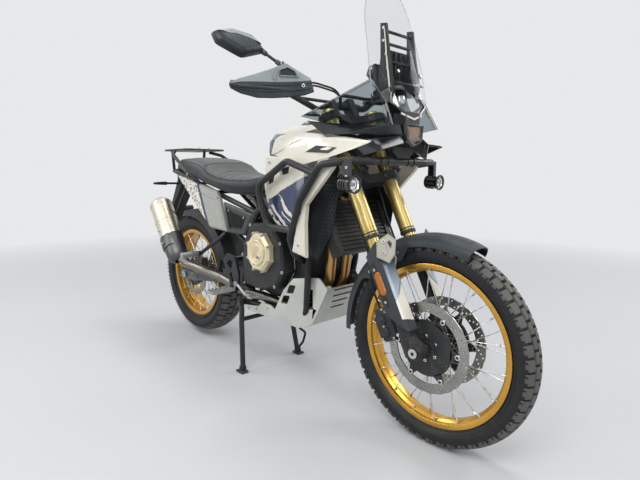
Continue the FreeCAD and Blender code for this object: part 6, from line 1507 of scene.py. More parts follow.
def layered(flat, middle, normal, levels):
    return [[middle + (p - middle) * scale + normal * lift for p in flat] for lift, scale in levels]


def makeNose():
    panes, trim, cheeks, behind = Form(), Form(), Form(), Form()
    flat, middle, normal = flatten(nose["pane"])
    panes.rings(layered(flat, middle, normal, ((0.3, 0.985), (1.0, 1), (2.6, 1), (3.3, 0.985))), 0)
    panes.mirrored().piece("nosePanes", "chassis", "smoked", "side_panes", angle=30)
    edge = [flat[0].lerp(flat[1], 0.1), *flat[1:4]]
    for inset, radius, mark in ((0.03, 1.3, 1), (0.10, 0.8, 2)):
        trim.tube([p.lerp(middle, inset) + normal * 3.24 for p in edge], radius, 6, mark)
    spot = flat[1].lerp(flat[2], 0.55).lerp(middle, 0.22)
    trim.disc(15, 0, 1.6, place(spot + normal * 3.2, normal), 2, 36)
    trim.bolt(spot + normal * 4.6, normal, 10, 3)
    plaque = flat[2].lerp(flat[3], 0.30).lerp(middle, 0.10) + normal * 3.3
    along = (flat[3] - flat[2]).normalized()
    side = normal.cross(along)
    trim.rings([[plaque + along * (u * a) + side * (v * b) + normal * lift
                 for u, v in ((-1, -1), (1, -1), (1, 1), (-1, 1))]
                for a, b, lift in ((14, 9, 0), (12, 7, 2.4))], 1)
    trim.tube([(540, -136, 1150), (540, -21, 1150)], 6, 16, 2)
    trim.mirrored().piece("nosePaneTrim", "chassis", "creamPaint creamPaint satinBlack boltSteel blackBolt",
                          angle=30)
    face = flatten(nose["cheek"])
    cheeks.rings(layered(*face, ((0.2, 0.985), (1, 1), (3.4, 1), (4.8, 0.98))), 0)
    cheeks.rings(layered(*face, ((4.7, 0.70), (6.6, 0.64))), 1)
    cheeks.mirrored().piece("noseCheeks", "chassis", "glossBlack darkPlastic", "nose_panels", angle=34,
                            bevel=0.6)
    # hides what lies behind the lower part of the side panes
    behind.rings([[(x, y + d, z) for x, y, z in nose["behind"]] for d in (0, 3)], 0)
    behind.mirrored()
    behind.slab(nose["chin"], (600, 606), 0, 0)
    behind.piece("innerNose", "chassis", "darkPlastic")


makeTank()
makeShrouds()
makeHeadlamp()
makeScreen()
makeTower()
makeDash()
makeNose()
print("tank, side bodywork, lamp, screen and nose made")


# Bars, controls, hand guards and mirrors; both points are in the steering's own axes.
barEnd, barBend = Vector((-26, -425, 1012)), Vector((2, -235, 990))
barRun = (barEnd - barBend).normalized()
gripTurn = steerAt @ place(barEnd, -barRun)
# Profiles are radius and distance in from the end of the bar.
control = {
    "ribs": 19, "ribPitch": 5.6,
    "pod": [(11.2, 132), (19.5, 132), (21.8, 134.5), (22, 152), (21.5, 152.4), (21.5, 153.2), (22, 153.6),
            (21.8, 171), (19.5, 173.5), (11.2, 173.5)],
    "perch": [(11.2, 174.5), (18.4, 174.5), (19, 175.5), (19, 195), (18.4, 196), (11.2, 196)],
    "buttons": ((140, 2, 5.0), (152, 3, 6.2), (165, 2, 5.0)), "perchAt": 185,
    "lid": ((31.4, 0.96), (32.4, 1.04), (37, 1.04), (39.2, 0.94)),
    "leverEnd": [(47, -310, 3), (42, -350, 3), (36, -380, 4), (34, -388, 5)],
    "leverRadii": [6.5] * 2 + [5.6] * 12 + [5.2] * 8 + [5.0, 5.6, 6.4, 6.8],
}


def makeControls():
    form = Form()
    profile = [(11.3, 5), (17, 5), (18, 6)]
    for k in range(control["ribs"]):
        h = 9 + k * control["ribPitch"]
        profile += [(17.6, h), (17.6, h + 1.0), (16.7, h + 1.5), (16.7, h + 4.4), (17.6, h + 4.9)]
    profile += [(17.2, 118), (22.4, 121), (22.6, 128), (20, 131), (11.3, 131)]
    form.hoop(profile, gripTurn, 0, 40)
    form.hoop(control["pod"], gripTurn, 1, 40)
    face = Vector((-1, 0, 0.25)).normalized()
    for d, mark, size in control["buttons"]:
        form.disc(size, 0, 3.4, steerAt @ place(barEnd - barRun * d + face * 20.4, face), mark, 20, 1.0)
    # brake or clutch master: perch, body, lid with two screws, lever on its pivot
    form.hoop(control["perch"], gripTurn, 1, 32)
    x, y, z = barEnd - barRun * control["perchAt"]
    body = [(x + 9, y - 15), (x + 43, y - 15), (x + 43, y + 15), (x + 9, y + 15)]
    form.slab(body, (z - 9, z + 31), 1, 2, steerAt)
    form.slab(body, [(z + h, k) for h, k in control["lid"]], 2, 2, steerAt)
    for side in (-9, 9):
        form.disc(3, 0, 1.2, steerAt @ place((x + 26, y + side, z + 39)), 4, 16)
    lever = [(x + 38, y - 6, z + 2), (x + 46, y - 40, z + 3)] + [
        (x + a, b, z + c) for a, b, c in control["leverEnd"]]
    form.tube(smoothed(lever, 5), control["leverRadii"], 12, 5, steerAt)
    pivot = steerAt @ place((x + 37, y - 4, z + 2))
    form.disc(9, -11, 9, pivot, 5, 28, 1.2)
    form.disc(4.5, 9, 11.5, pivot, 4, 20)
    form.disc(6, 0, 10, steerAt @ place((x + 46, y - 26, z + 3), (1, 0.1, 0)), 4, 20, 1.5)
    form.mirrored().piece(
        "handControls", "steering", "gripRubber darkPlastic satinBlack redKey boltSteel castAlloy",
        "hand_controls", angle=36, bevel=0.4)


handGuard = {
    # Y, then X and Z of the lower edge, X and Z of the upper edge, and the height of the split
    "rows": (
        (-222, 392, 1192, 374, 1240, 1236), (-250, 374, 1180, 346, 1264, 1233),
        (-292, 350, 1172, 327, 1287, 1228), (-345, 326, 1166, 312, 1262, 1224),
        (-395, 304, 1164, 296, 1242, 1222), (-440, 276, 1176, 272, 1226, 1218),
        (-470, 262, 1190, 262, 1212, 1208),
    ),
    "steps": 6,
    # shares of the height below and above the split, with how far the face stands out there
    "lower": ((0, 0), (0.05, 3.2), (0.30, 6.0), (0.33, 4.4), (0.36, 6.4), (0.56, 6.8), (0.60, 3.6), (0.68, 3.4),
              (0.72, 5.4), (0.88, 4.8), (0.92, 1.2)),
    "upper": ((0.0, 0.6), (0.16, 0.4), (0.90, -0.4), (1.0, -2.2)),
    "window": [(-258, 1243), (-318, 1241), (-314, 1262), (-287, 1273), (-266, 1262)],
    "rib": [(-336, 1229), (-342, 1229), (-328, 1262), (-322, 1266)],
    "bolt": (366.5, -250, 1212), "facing": (0.88, -0.47, 0),
    "bar": [(352, -236, 1207), (338, -300, 1196), (300, -400, 1198), (262, -463, 1201)], "barR": 6.5,
    "windowEdge": 2.2,
}


def makeHandGuards():
    form, rows, steps = Form(), handGuard["rows"], handGuard["steps"]
    stations = [[p + (q - p) * (k / steps) for p, q in zip(a, b)]
                for a, b in zip(rows, rows[1:]) for k in range(steps)]
    stations.append(list(rows[-1]))
    loops = []
    for i, (y, lowX, lowZ, highX, highZ, splitZ) in enumerate(stations):
        before, after = stations[max(i - 1, 0)], stations[min(i + 1, len(stations) - 1)]
        run = Vector((after[1] - before[1], after[0] - before[0], 0)).normalized()
        out = Vector((-run.y, run.x, 0))
        share = (splitZ - lowZ) / (highZ - lowZ)
        low, high = Vector((lowX, y, lowZ)), Vector((highX, y, highZ))
        ease = min(1, (i + 1) / 3, (len(stations) - i) / 4)
        front = [low.lerp(high, share * v) + out * (w - 4.5) * ease for v, w in handGuard["lower"]]
        front += [low.lerp(high, share + (1 - share) * v) + out * (w - 4.5) * ease
                  for v, w in handGuard["upper"]]
        loops.append(front + [front[j] - out * 4.6 for j in (-1, -2, -5, 5, 1)])
    count, split = len(loops[0]), len(handGuard["lower"]) - 1
    # the faces from the split to the top take mark 1, the pale finish: a painted reflection on the guard's
    # upper part
    for a, b in zip(loops, loops[1:]):
        for j in range(count):
            k = (j + 1) % count
            form.add([a[j], a[k], b[k], b[j]], [[0, 1, 2, 3]], 1 if split <= j < split + 4 else 0)
    for loop in (loops[0], loops[-1]):
        form.add(loop, [list(range(count))], 0)
    shell = form.mirrored().piece("guardShields", "steering", "guardDark guardPale", "hand_guards", angle=34,
                                  merge=0.05)
    window = handGuard["window"]
    drill(shell, Form().slab(window, (300, 400), 0, 0).mirrored())

    trim = Form()
    onFace = lambda y, z, d: (352 + (y + 258) * 0.42 + (1243 - z) * 0.30 + d, y, z)
    # the window's edge and the rib use the same pale finish that paints the reflection on the guard tops
    trim.tube([onFace(y, z, -1.5) for y, z in window + window[:1]], handGuard["windowEdge"], 8, 1)
    trim.rings([[onFace(y, z, d) for y, z in window] for d in (-9, -6)], 0)
    trim.rings([[onFace(y, z, d) for y, z in handGuard["rib"]] for d in (-1.0, 1.4)], 1)
    boltAt, facing = Vector(handGuard["bolt"]), handGuard["facing"]
    trim.disc(10, -6, 1.5, place(boltAt, facing), 0, 28)
    trim.bolt(boltAt + Vector((1.2, -0.7, 0)), facing, 6.4, 2)
    # the guard's own bar, from the handlebar's bend round to the grip's end
    trim.tube(rounded([steerAt @ Vector((10, -229, 984)), *handGuard["bar"]], 30, 5), handGuard["barR"], 14, 4)
    trim.lathe([(0.01, 22), (10, 22), (13.2, 20), (14, 17), (14, 2), (12, 0.4), (0.01, 0.4)],
               steerAt @ place(barEnd, barRun), 4, 32)
    trim.tube([steerAt @ (barEnd + barRun * 12), (258, -466, 1203)], 6, 12, 4)
    clamp = barBend + barRun * 12
    trim.hoop([(11.4, -9), (16.4, -9), (17.2, -8), (17.2, 8), (16.4, 9), (11.4, 9)],
              steerAt @ place(clamp, barRun), 4, 32)
    trim.bolt(steerAt @ (clamp + Vector((-17, 0, 0))), (-1, 0, 0.3), 4, 2)
    trim.mirrored().piece("guardBars", "steering", "guardDark guardPale boltSteel blackBolt satinBlack",
                          angle=34, bevel=0.4)


# Outlines are Y and rise; the levels are forward, then scale.
mirror = {
    "outline": [(-278, 158), (-322, 212), (-415, 220), (-482, 196), (-476, 158), (-385, 118)],
    "roof": [(-292, 176), (-326, 209), (-414, 216.5), (-474, 195), (-440, 190), (-404, 196), (-350, 190)],
    "shell": ((-6.5, 0.905), (-9.6, 0.93), (-9.9, 0.965), (-6, 0.995), (-2, 1.0), (8, 0.965), (17, 0.86),
              (22.5, 0.72), (24, 0.55)),
    "roofLevels": ((12, 0.99), (19.5, 0.93), (25.2, 0.80)), "glass": ((-8.2, 0.90), (-6.9, 0.90)),
    "middle": (-380, 170), "corner": 0.13, "ball": 12.2, "stem": 6.4,
}


def makeMirrors():
    base = barEnd - barRun * control["perchAt"]

    def ring(outline, u, scale):
        return [(u, y, base.z + s) for y, s in scaled(outline, scale, mirror["middle"])]

    def soften(points, cut=mirror["corner"]):
        soft = []
        for i, p in enumerate(points):
            before, after = Vector(points[i - 1]), Vector(points[(i + 1) % len(points)])
            p = Vector(p)
            a, b = p.lerp(before, cut), p.lerp(after, cut)
            soft += [a, a.lerp(p, 0.55).lerp(p.lerp(b, 0.45), 0.5), b]
        return soft

    shell, rest = Form(), Form()
    shell.rings([soften(ring(mirror["outline"], u, k)) for u, k in mirror["shell"]], 0, steerAt)
    # the roof takes mark 1, the pale finish: a painted reflection on the top of the mirror shell
    shell.rings([ring(mirror["roof"], u, k) for u, k in mirror["roofLevels"]], 1, steerAt)
    shell.mirrored().piece("mirrorShells", "steering", "guardDark guardPale", "mirrors", angle=30, bevel=1.2)
    rest.rings([soften(ring(mirror["outline"], u, k)) for u, k in mirror["glass"]], 0, steerAt)
    root, knee = base + Vector((22, 0, 38)), base + Vector((26, -2, 92))
    reach = Vector((2, -290, base.z + 160))
    rest.lathe([(6.6, 0), (11.5, 0), (12.5, 1.5), (12.5, 9), (11, 11), (7.5, 13), (6.6, 16)],
               steerAt @ place(root), 1, 32)
    rest.tube([root + Vector((0, 0, 4)), knee], mirror["stem"], 16, 1, steerAt)
    ball = [(mirror["ball"] * sin(pi * k / 16) + 0.01, -mirror["ball"] * cos(pi * k / 16)) for k in range(17)]
    rest.lathe(ball, steerAt @ place(knee), 1, 32)
    rest.lathe([(8.5, 0), (9.4, 0.6), (9.4, 2.4), (8.5, 3)],
               steerAt @ place(knee + Vector((9.3, 0, 0)), (1, 0, 0)), 2, 24)
    length, run = (reach - knee).length, (reach - knee).normalized()
    rest.tube([knee + run * d for d in (8, 22, 24, length - 22, length - 20, length)],
              [9.5, 8.2, 5.6, 5.4, 8.6, 10.5], 18, 1, steerAt)
    rest.mirrored().piece("mirrorGlassAndStems", "steering", "mirrorGlass satinBlack boltSteel", angle=36)


clampBolts = {"rise": 948, "bar": [(u, y) for y in (-48, 48) for u in (-2, 22)], "fork": (633, 864),
              "crown": 886}


def makeClampBolts():
    form = Form()
    for u, y in clampBolts["bar"]:
        form.bolt(steerAt @ Vector((u, y, clampBolts["rise"])), steeredWay(0, 0, 1), 4.6, 0)
    for y in (-fork["y"], fork["y"]):
        for s in clampBolts["fork"]:
            form.bolt(steerAt @ Vector((fork["u"] + 18, y * 0.66, s)), (0.9, 0, 0.45), 4.2, 0)
    form.lathe([(0.01, 6), (9, 6), (10, 5), (16, 4.5), (16.5, -1)],
               steerAt @ place((0, 0, clampBolts["crown"])), 0, 6)
    form.piece("clampBolts", "steering", "boltSteel blackBolt")


makeControls()
makeHandGuards()
makeMirrors()
makeClampBolts()
print("bars, controls, hand guards and mirrors made")


# Seat, tail, silencer, sump guard and engine details.
seat = {
    # X, then height and half width of the lower edge, the side and the top
    "rows": (
        (-24.3, 838, 70, 880, 94, 926, 58), (-120, 818, 105, 856, 138, 903, 76),
        (-280, 820, 128, 860, 168, 900, 96), (-420, 846, 134, 886, 172, 920, 100),
        (-490, 862, 134, 902, 168, 962, 102), (-570, 880, 130, 922, 160, 984, 100),
        (-700, 908, 118, 945, 140, 990, 88), (-812, 930, 96, 958, 112, 986, 66),
    ),
    "channels": (-220, -270, -320, -370, -420), "bow": 0.0030, "deep": 8.0, "wide": 7.5,
    "along": 28, "across": 4, "edge": 17, "groove": 1.6, "piping": 1.1, "rearPiping": 1.3, "fill": 0.9,
}


def makeSeat():
    lines = []
    for x, lowZ, low, sideZ, side, topZ, top in seat["rows"]:
        lines.append([(x, 0, lowZ), (x, low, lowZ + 2), (x, side * 0.95, sideZ - 10), (x, side - 1, sideZ + 4),
                      (x, side * 0.93 - 1, (sideZ + topZ) / 2 + 3),
                      (x, (side + top) / 2 - 1, ((sideZ + topZ) / 2 + topZ) / 2 + 6),
                      (x, top, topZ - 1), (x, top * 0.5, topZ + 3), (x, 0, topZ + 4)])
    rails = [smoothed(rail, seat["along"]) for rail in zip(*lines)]
    edge, loops = seat["edge"], []
    for points in zip(*rails):
        half = smoothed(points, seat["across"])
        loops.append(half + [Vector((p.x, -p.y, p.z)) for p in reversed(half[1:-1])])
    size = len(loops[0])
    for loop in loops:  # sewn channels across the top, and a groove along its edge
        for j, p in enumerate(loop):
            share = min(j, size - j)
            if share >= edge:
                for channel in seat["channels"]:
                    d = p.x - (channel + seat["bow"] * p.y * p.y)
                    p.z -= seat["deep"] * min(1, (share - edge + 1) / 3) * exp(-(d / seat["wide"]) ** 2)
            if share == edge:
                p.z -= seat["groove"]
    form = Form()
    for a, b in zip(loops, loops[1:]):
        for j in range(size):
            k = (j + 1) % size
            form.add([a[j], a[k], b[k], b[j]], [[0, 1, 2, 3]], 0 if min(j, size - 1 - j) >= edge else 1)
    for loop in (loops[0], loops[-1]):
        form.add(loop, [list(range(size))], 1)
    cover = form.piece("seatCover", "chassis", "seatVinyl seatSide", "seat", angle=60, merge=0.02)
    piping = Form()
    for side in (1, -1):
        piping.tube([Vector((loop[edge].x, loop[edge].y * side, loop[edge].z + 0.9)) for loop in loops[6:-4]],
                    seat["piping"], 6, 0)
    piping.tube([Vector((p.x, p.y, p.z + 0.6)) for p in loops[int(len(loops) * 0.56)][18:47]],
                seat["rearPiping"], 6, 0)
    piping.piece("seatPiping", "chassis", "seatSide")


# Each ring of the lens is X and a scale, and the section is stretched along the arm of the indicator.
tail = {
    "lens": ((-948, 0.96), (-957, 1.0), (-961, 0.97), (-963, 0.86)), "ribs": [-36 + k * 12 for k in range(7)],
    "armX": -958, "armZ": 852, "section": [(-1, -1), (1, -1), (1.25, 0), (1, 1), (-1, 1), (-1.25, 0)],
    # Y, then half width and half height.
    "signal": ((-119, 10, 7), (-122, 13.6, 9.8), (-160, 11, 8), (-189, 8.4, 5.8), (-192, 6, 4)),
    "signalLens": ((-124, 12.65, 7.6), (-160, 10.58, 6.4), (-188, 8.28, 4.6)),
    "rackBolts": [(x, y, 1044.6) for x in (-972, -732) for y in (-30, 30)],
    "sideBolts": ((-676, 884), (-400, 690), (-330, 800), (-250, 745), (-130, 720)),
    "grille": [(-258, 746), (-126, 720), (-158, 668), (-242, 668)], "slats": 14, "slatPitch": 9.5,
}


def makeTail():
    lamp, arms, trim = Form(), Form(), Form()
    lamp.rings([[(x, s * 46 * k, z) for s, z in ((-1, 868), (1, 868), (1, 902), (-1, 902))]
                for x, k in tail["lens"]], 0)
    for y in tail["ribs"]:
        lamp.rings([[(x, y + d, z) for d, z in ((-w, low), (w, low), (w, high), (-w, high))]
                    for x, w, low, high in ((-962.6, 4, 873, 897), (-964.4, 2.6, 875, 895))], 0)
    lamp.slab([(-50, 862), (50, 862), (50, 908), (-50, 908)], (-940, -955), 1, 0)
    lamp.piece("tailLamp", "chassis", "redLens darkPlastic", bevel=0.6)
    x, z = tail["armX"], tail["armZ"]
    arms.tube([(x, -36, z - 2), (x, -122, z)], 6, 16, 0)
    arms.rings([[(x + a * w, y, z + b * h) for a, b in tail["section"]] for y, w, h in tail["signal"]], 0)
    arms.rings([[(x - w + d, y, z + b * h) for b, d in ((-1, 0), (1, 0), (0.8, -3), (-0.8, -3))]
                for y, w, h in tail["signalLens"]], 1)
    arms.mirrored().piece("rearIndicators", "chassis", "darkPlastic amber", "rear_lamps", bevel=0.6)
    for spot in tail["rackBolts"]:
        trim.bolt(spot, (0, 0, 1), 6, 0)
    for side in (1, -1):
        trim.bolt((-585, side * 184, 905), (0, side, 0), 6, 0)
        for x, z in tail["sideBolts"]:
            trim.bolt((x, side * (171 if x < -300 else 160.5), z), (0, side, 0), 5, 0)
        trim.slab(tail["grille"], (side * 157.6, side * 158.6), 2)
    for k in range(tail["slats"]):
        x, high = -250 + k * tail["slatPitch"], 736 - k * 1.6
        for side in (-1, 1):
            trim.slab([(x, 672), (x + 2.2, 672), (x + 8.2, high), (x + 6, high)],
                      (side * 158.2, side * 160.2), 3)
    trim.piece("tailFittings", "chassis", "boltSteel blackBolt meshBlack darkPlastic")


# Profiles are radius and distance along the can; the end cap's distances count from its far end.
can = {
    "low": (-628, -224, 480), "high": (-836, -216, 752), "radius": 58, "middleBand": 0.62, "strap": 0.64,
    "cone": [(24, -17), (38, -14), (49, -4), (54.5, 12), (56.6, 40), (57.2, 126)],
    "collar": [(57.2, 126), (59.6, 126.6), (60, 128), (60, 133), (59.6, 134.4), (58, 135)],
    "endCap": [(57.4, -12), (50, -3), (41, 8.2), (38, 9.5), (25, 8.6), (21, 6), (20.4, -6), (19.6, -30)],
    "shield": [(57, 60), (62.6, 61.5), (63.2, 66), (63.2, 118), (62.6, 121), (57, 122)],
    "badge": [(63.1, 72), (63.9, 73), (63.9, 76), (63.1, 77)], "capBolts": 8, "capBoltR": 33,
    "mounts": ((92, 62), (168, 58)), "strapR": 8,
}


def makeSilencer():
    low, high, r = Vector(can["low"]), Vector(can["high"]), can["radius"]
    along, length = (high - low).normalized(), (high - low).length
    at = place(low, along)
    out = at.to_3x3().inverted() @ Vector((0, -1, 0))
    facing = atan2(out.y, out.x)
    form, strap = Form(), low + along * (length * can["strap"])
    form.lathe(can["cone"], at, 0, 72)
    form.lathe(can["collar"], at, 1, 72)
    bands = [p for h in (length * can["middleBand"], length - 30)
             for p in ((r, h), (r + 1.8, h + 1), (r + 1.8, h + 9), (r, h + 10))]
    form.lathe([(r, 135), *bands, (57.4, length - 12)], at, 2, 72)
    form.lathe([(a, length + h) for a, h in can["endCap"]], at, 3, 72)
    form.lathe([(0.01, length - 36), (19.8, length - 34)], at, 4, 32)
    form.hoop(can["shield"], at, 0, 44, start=facing - 1.1, sweep=2.2)
    form.hoop(can["badge"], at, 4, 24, start=facing - 0.42, sweep=0.84)
    for k in range(can["capBolts"]):
        form.bolt(at @ Vector((*around(can["capBoltR"], radians(k * 45 + 10)), length + 8.2)), along, 2.6, 5)
    for s, lift in can["mounts"]:
        form.bolt(low + along * s + Vector((0, -lift, 0)), (0, -1, 0), 6.5, 5)
    form.tube([(strap.x, strap.y + 40, strap.z + 8), (strap.x + 40, -112, 850)], can["strapR"], 20, 4)
    form.piece(
        "silencerCan", "chassis",
        "silencerCone stainless silencerSkin plateAlloy coreBlack boltSteel blackBolt", "silencer", angle=34)


def inside(point, outline):
    hit = False
    for i, (ax, ay) in enumerate(outline):
        bx, by = outline[i - 1]
        if (ay > point[1]) != (by > point[1]) and point[0] < (bx - ax) * (point[1] - ay) / (by - ay) + ax:
            hit = not hit
    return hit


# Dark honeycomb panels between the blades and the radiator.
comb = {
    "outline": [(440, 905), (452, 860), (428, 716), (352, 600), (286, 612), (270, 700), (318, 880), (352, 912)],
    "from": (272.0, 606.0), "to": (452, 910), "pitch": (17.0, 14.7),
    "cell": ((9.4, 0), (9.0, 2.2), (7.2, 2.2), (6.6, 0.1)), "middle": (362, 760), "within": (0.93, 0.96),
    "y": -166, "edgeR": 3,
}


def makeCombs():
    form, outline = Form(), comb["outline"]
    within = [tuple(m + (v - m) * k for v, m, k in zip(p, comb["middle"], comb["within"])) for p in outline]

    def spot(x, z, lift):
        return x, comb["y"] + (x - 270) * 0.012 - lift - max(0, 330 - x) * 0.16, z

    form.rings([[spot(x, z, h) for x, z in outline] for h in (-3, 0)], 0)
    row, z = 0, comb["from"][1]
    while z < comb["to"][1]:
        x = comb["from"][0] + comb["pitch"][0] / 2 * (row % 2)
        while x < comb["to"][0]:
            if inside((x, z), within):
                form.rings([[spot(x + r * sin(a), z + r * cos(a), lift) for a in turns(6)]
                            for r, lift in comb["cell"]], 1, caps=False)
            x += comb["pitch"][0]
        z += comb["pitch"][1]
        row += 1
    form.tube([spot(x, z, 0.5) for x, z in outline], comb["edgeR"], 8, 0, close=True)
    form.mirrored().piece("combPanels", "chassis", "meshBlack slatePlastic")


# Outlines are X and Z. The rows of the front are height and X, and the slots X, height and half width.
sump = {
    "outline": [(-158, 300), (-158, 318), (-45, 334), (-22, 356), (40, 356), (70, 344), (128, 440), (192, 500),
                (300, 512), (344, 474), (262, 318), (236, 300)],
    "front": ((304, 233), (322, 254.4), (472, 332), (560, 331)),
    "windows": ([(166, 468), (208, 473), (190, 437), (146, 430)],
                [(129, 418), (171, 423), (152, 385), (108, 379)]),
    "slots": ((322, 464, 62), (305, 436, 54), (288, 408, 46), (274, 380, 38)),
    "bolts": ((-120, 310), (20, 340), (-60, 320)), "half": 148, "wall": 4,
}


# The folded sump guard, cut from a solid: corners, hollow, then windows.
def makeSumpGuard():
    half, inner = sump["half"], sump["half"] - sump["wall"]
    guard = Form().prism(sump["outline"], -half, half, upright).piece(
        "sumpGuard", "chassis", "plateAlloy", "skid_plate", bevel=1.8, angle=34)
    wedges, windows, trim, rings = Form(), Form(), Form(), []
    for side in (1, -1):
        wedges.prism([(205, side * half), (265, side * (half - 40)), (420, side * (half - 46)),
                      (420, side * 220), (205, side * 220)], 250, 600)
    drill(guard, wedges)
    for z, x in sump["front"]:
        if x <= 265:
            corner, tip = (x - 0.5, inner - (x - 205.5) * 2 / 3), (x, inner - (x - 205) * 2 / 3)
        else:
            corner, tip = (265, inner - 40), (x, inner - 40 - (x - 265) * 0.04)
        edge = [(-260, inner), (205, inner), corner, tip]
        rings.append([(a, b, z) for a, b in edge + [(a, -b) for a, b in reversed(edge)]])
    drill(guard, Form().rings(rings))
    for outline in sump["windows"]:
        path = [(p.x, p.y) for p in rounded([(x, z, 0) for x, z in outline + outline[:1]], 5, 3)[:-1]]
        for low, high in ((half - 12, half + 12), (-half - 12, 12 - half)):
            windows.prism(path, low, high, upright)
    for side in (1, -1):
        windows.slab([(a, side * b) for a, b in ((222, 118), (252, 98), (290, 128), (262, 152))],
                     (378, 460), 0, 2)
    for x, z, reach in sump["slots"]:
        windows.prism([(x - 30, z - 4), (x + 60, z - 4), (x + 60, z + 4), (x - 30, z + 4)], -reach, reach,
                      upright)
    windows.prism([(278, 560), (430, 560), (430, 474), (278, 474)], -78, 78, upright)
    drill(guard, windows)
    for side in (1, -1):
        for x, z in sump["bolts"]:
            trim.bolt((x, side * (half + 0.1), z), (0, side, 0), 6, 0)
        trim.bolt((290, side * 96, 490), (0.9, 0, 0.2), 6, 0)
    trim.piece("sumpGuardBolts", "chassis", "boltSteel blackBolt")


# Spots are X and Z; the hoses and the line are paths.
engine = {
    "cover": (32, 592), "coverBolts": (22, 66, 112, 158, 202, 246, 292, 338), "coverBoltR": (75, 81.4),
    "coverRings": (([(44.5, 2.8), (47, 4.4), (51, 4.4), (53.4, 2.2)], 56),
                   ([(31, 2.9), (32.5, 4.0), (35.5, 4.0), (37, 2.9)], 48)),
    "port": [(30.2, 0), (38, 1), (38, 6), (34, 7.5), (30.2, 7.5)],
    "clamp": [(9.4, -5), (11.2, -5), (11.2, 5), (9.4, 5)],
    "case": [(-112, 430), (-122, 560), (-60, 700), (60, 716), (150, 640), (160, 520), (110, 450), (0, 420)],
    "hoses": ((-1, [(196, 116, 812), (236, 138, 780), (238, 146, 700), (206, 140, 640), (190, 108, 610)]),
              (1, [(196, 116, 806), (232, 134, 770), (230, 140, 690), (200, 130, 636), (188, 108, 612)])),
    "line": [(-70, -116, 716), (-10, -132, 742), (80, -134, 752), (170, -128, 760)],
    "headBolts": ((60, 816), (120, 822), (180, 816)), "caseMiddle": (20, 570),
    "generator": (150, 500), "generatorBolts": 8, "generatorBoltR": 76, "hoseR": 9.5, "lineR": 4.2,
}


def makeClutchDress():
    (cx, cz), (wide, tall), form = engine["cover"], engine["coverBoltR"], Form()
    face = place((cx, -212, cz), (0, -1, 0))
    for ring, steps in engine["coverRings"]:
        form.lathe(ring, face, 0, steps)
    for k, degrees in enumerate(engine["coverBolts"]):
        a, b = radians(degrees), radians(k * 45 + 20)
        form.bolt((cx + wide * cos(a), -208, cz + tall * sin(a)), (0, -1, 0), 5.6, 1)
        form.tube([(cx + 55 * cos(b), -213.0, cz + 55 * sin(b)), (cx + 62 * cos(b), -213.4, cz + 64 * sin(b))],
                  2.2, 8, 0)
    for k in range(5):
        form.tube([(cx - 26 + k * 4, -215.6, cz - 24), (cx - 20 + k * 10, -215.6, cz + 26)], 1.0, 6, 0)
    form.bolt((cx + 18, -215, cz - 16), (0, -1, 0), 9, 1)
    form.piece("clutchDress", "chassis", "champagne boltSteel blackBolt")


def makeEngineDress():
    form, (gx, gz), r = Form(), engine["generator"], engine["generatorBoltR"]
    for x, z in scaled(engine["case"], 0.97, engine["caseMiddle"]):
        form.bolt((x, -176, z), (0, -1, 0), 6.5, 0)
    seam = scaled(engine["case"], 1.012, engine["caseMiddle"])
    form.tube([(x, -112, z) for x, z in seam], 2.2, 8, 2, close=True)
    for k in range(engine["generatorBolts"]):
        a = radians(22 + k * 45)
        form.bolt((gx + r * cos(a), 171, gz + r * sin(a)), (0, 1, 0), 5, 0)
    for sign, path in engine["hoses"]:
        run = rounded([(x, sign * y, z) for x, y, z in path], 40)
        form.tube(run, engine["hoseR"], 16, 3)
        for i in (1, len(run) - 2):
            form.hoop(engine["clamp"], place(run[i], run[i + 1] - run[i]), 0, 24)
    for y in (-48, 48):
        form.hoop(engine["port"], place((236, y, 807), (1, 0, 0)), 0, 36)
    for x, z in engine["headBolts"]:
        form.bolt((x, -119, z), (0, -1, 0), 5.5, 0)
    form.tube(rounded(engine["line"], 30), engine["lineR"], 10, 3)
    form.piece("engineDress", "chassis", "boltSteel blackBolt castAlloy hose")


# The bracket plates on the outer front corners of the fork legs.
forkPlate = {
    "outline": [(-22, 34), (22, 46), (41, 17), (22, -28), (-6, -49), (-39, -16)], "at": (95, -123, 347),
    "facing": (0.62, -0.785, 0), "slot": [(14, -6), (24, 10), (19, 24), (10, 18)],
    "bolts": ((-1, 26), (-12, -12)),
}


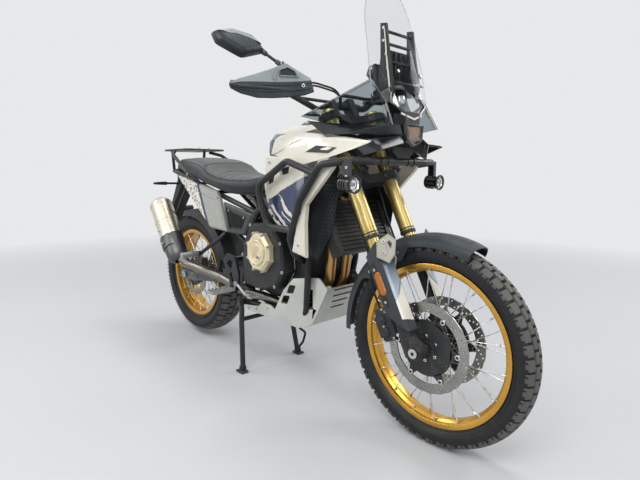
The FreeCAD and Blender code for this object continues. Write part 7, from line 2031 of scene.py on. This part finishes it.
def makeForkPlates():
    form, outline, spot = Form(), forkPlate["outline"], steered(*forkPlate["at"])
    out, up = steeredWay(*forkPlate["facing"]), steeredWay(0, 0, 1)
    at = shift(spot) @ Matrix((up.cross(out), up, out)).transposed().to_4x4()
    form.prism(outline, 0, 3.4, at, 0)
    form.prism(outline, 3.4, 5.0, at, 0, 0.955)
    form.tube([at @ Vector((a * 0.86, b * 0.86, 5.0)) for a, b in outline], 1.1, 8, 0, close=True)
    form.prism(forkPlate["slot"], 5.0, 5.5, at, 1)
    for a, b in forkPlate["bolts"]:
        form.disc(10.5, 5.0, 6.2, at @ shift((a, b, 0)), 0, 28)
        form.bolt(at @ Vector((a, b, 6.2)), out, 6.4, 2)
    form.block((24, 20, 20), shift(spot - out * 8) @ steerTurn, 0)
    form.mirrored().piece("forkPlates", "steering", "warmGrey caseBlack boltSteel blackBolt", bevel=0.5)


# Profiles are radius and distance ahead of the lamp's place.
spotLamp = {
    "at": (592, 240, 885.7), "facing": (1, 0, -0.05), "bowl": [(22.8, 6.4), (20, 2.4), (12, 0.8), (0.01, 0.5)],
    "rim": [(23.4, 5.6), (24.6, 8.0), (27.8, 11.2), (29.2, 11.0), (29.3, 8.6)],
    "ring": [(14.2, 1.6), (14.8, 3.4), (15.6, 3.4), (16.2, 1.8)],
    "lens": ([(23.4, 6.4), (22, 7.6), (12, 8.8), (0.01, 9.2)],
             [(0.01, 7.2), (12, 6.9), (22, 5.9), (23.4, 6.4)]),
}


def makeSpotLamps():
    form, glass = Form(), Form()
    x, half, z = spotLamp["at"]
    for side in (-1, 1):
        at = place((x, side * half, z), spotLamp["facing"])
        form.lathe(spotLamp["bowl"], at, 0, 40)
        form.lathe(spotLamp["rim"], at, 1, 48)
        form.prism([(-8, -5), (8, -5), (8, 5), (-8, 5)], 0.8, 2.2, at, 2)
        form.lathe(spotLamp["ring"], at, 1, 36)
        for face in spotLamp["lens"]:
            glass.lathe(face, at, 0, 40)
        for s in (-14, 14):
            form.bolt((571, side * (half + 8), 925 + s), (0, side, 0), 4.5, 3)
    form.piece("spotLampInner", "chassis", "reflector satinBlack labelGrey boltSteel blackBolt", angle=34)
    glass.piece("spotLampLenses", "chassis", "lens", merge=0.01)


makeSeat()
makeTail()
makeSilencer()
makeCombs()
makeSumpGuard()
makeClutchDress()
makeEngineDress()
makeForkPlates()
makeSpotLamps()
print("seat, tail, silencer, sump guard and engine details made")
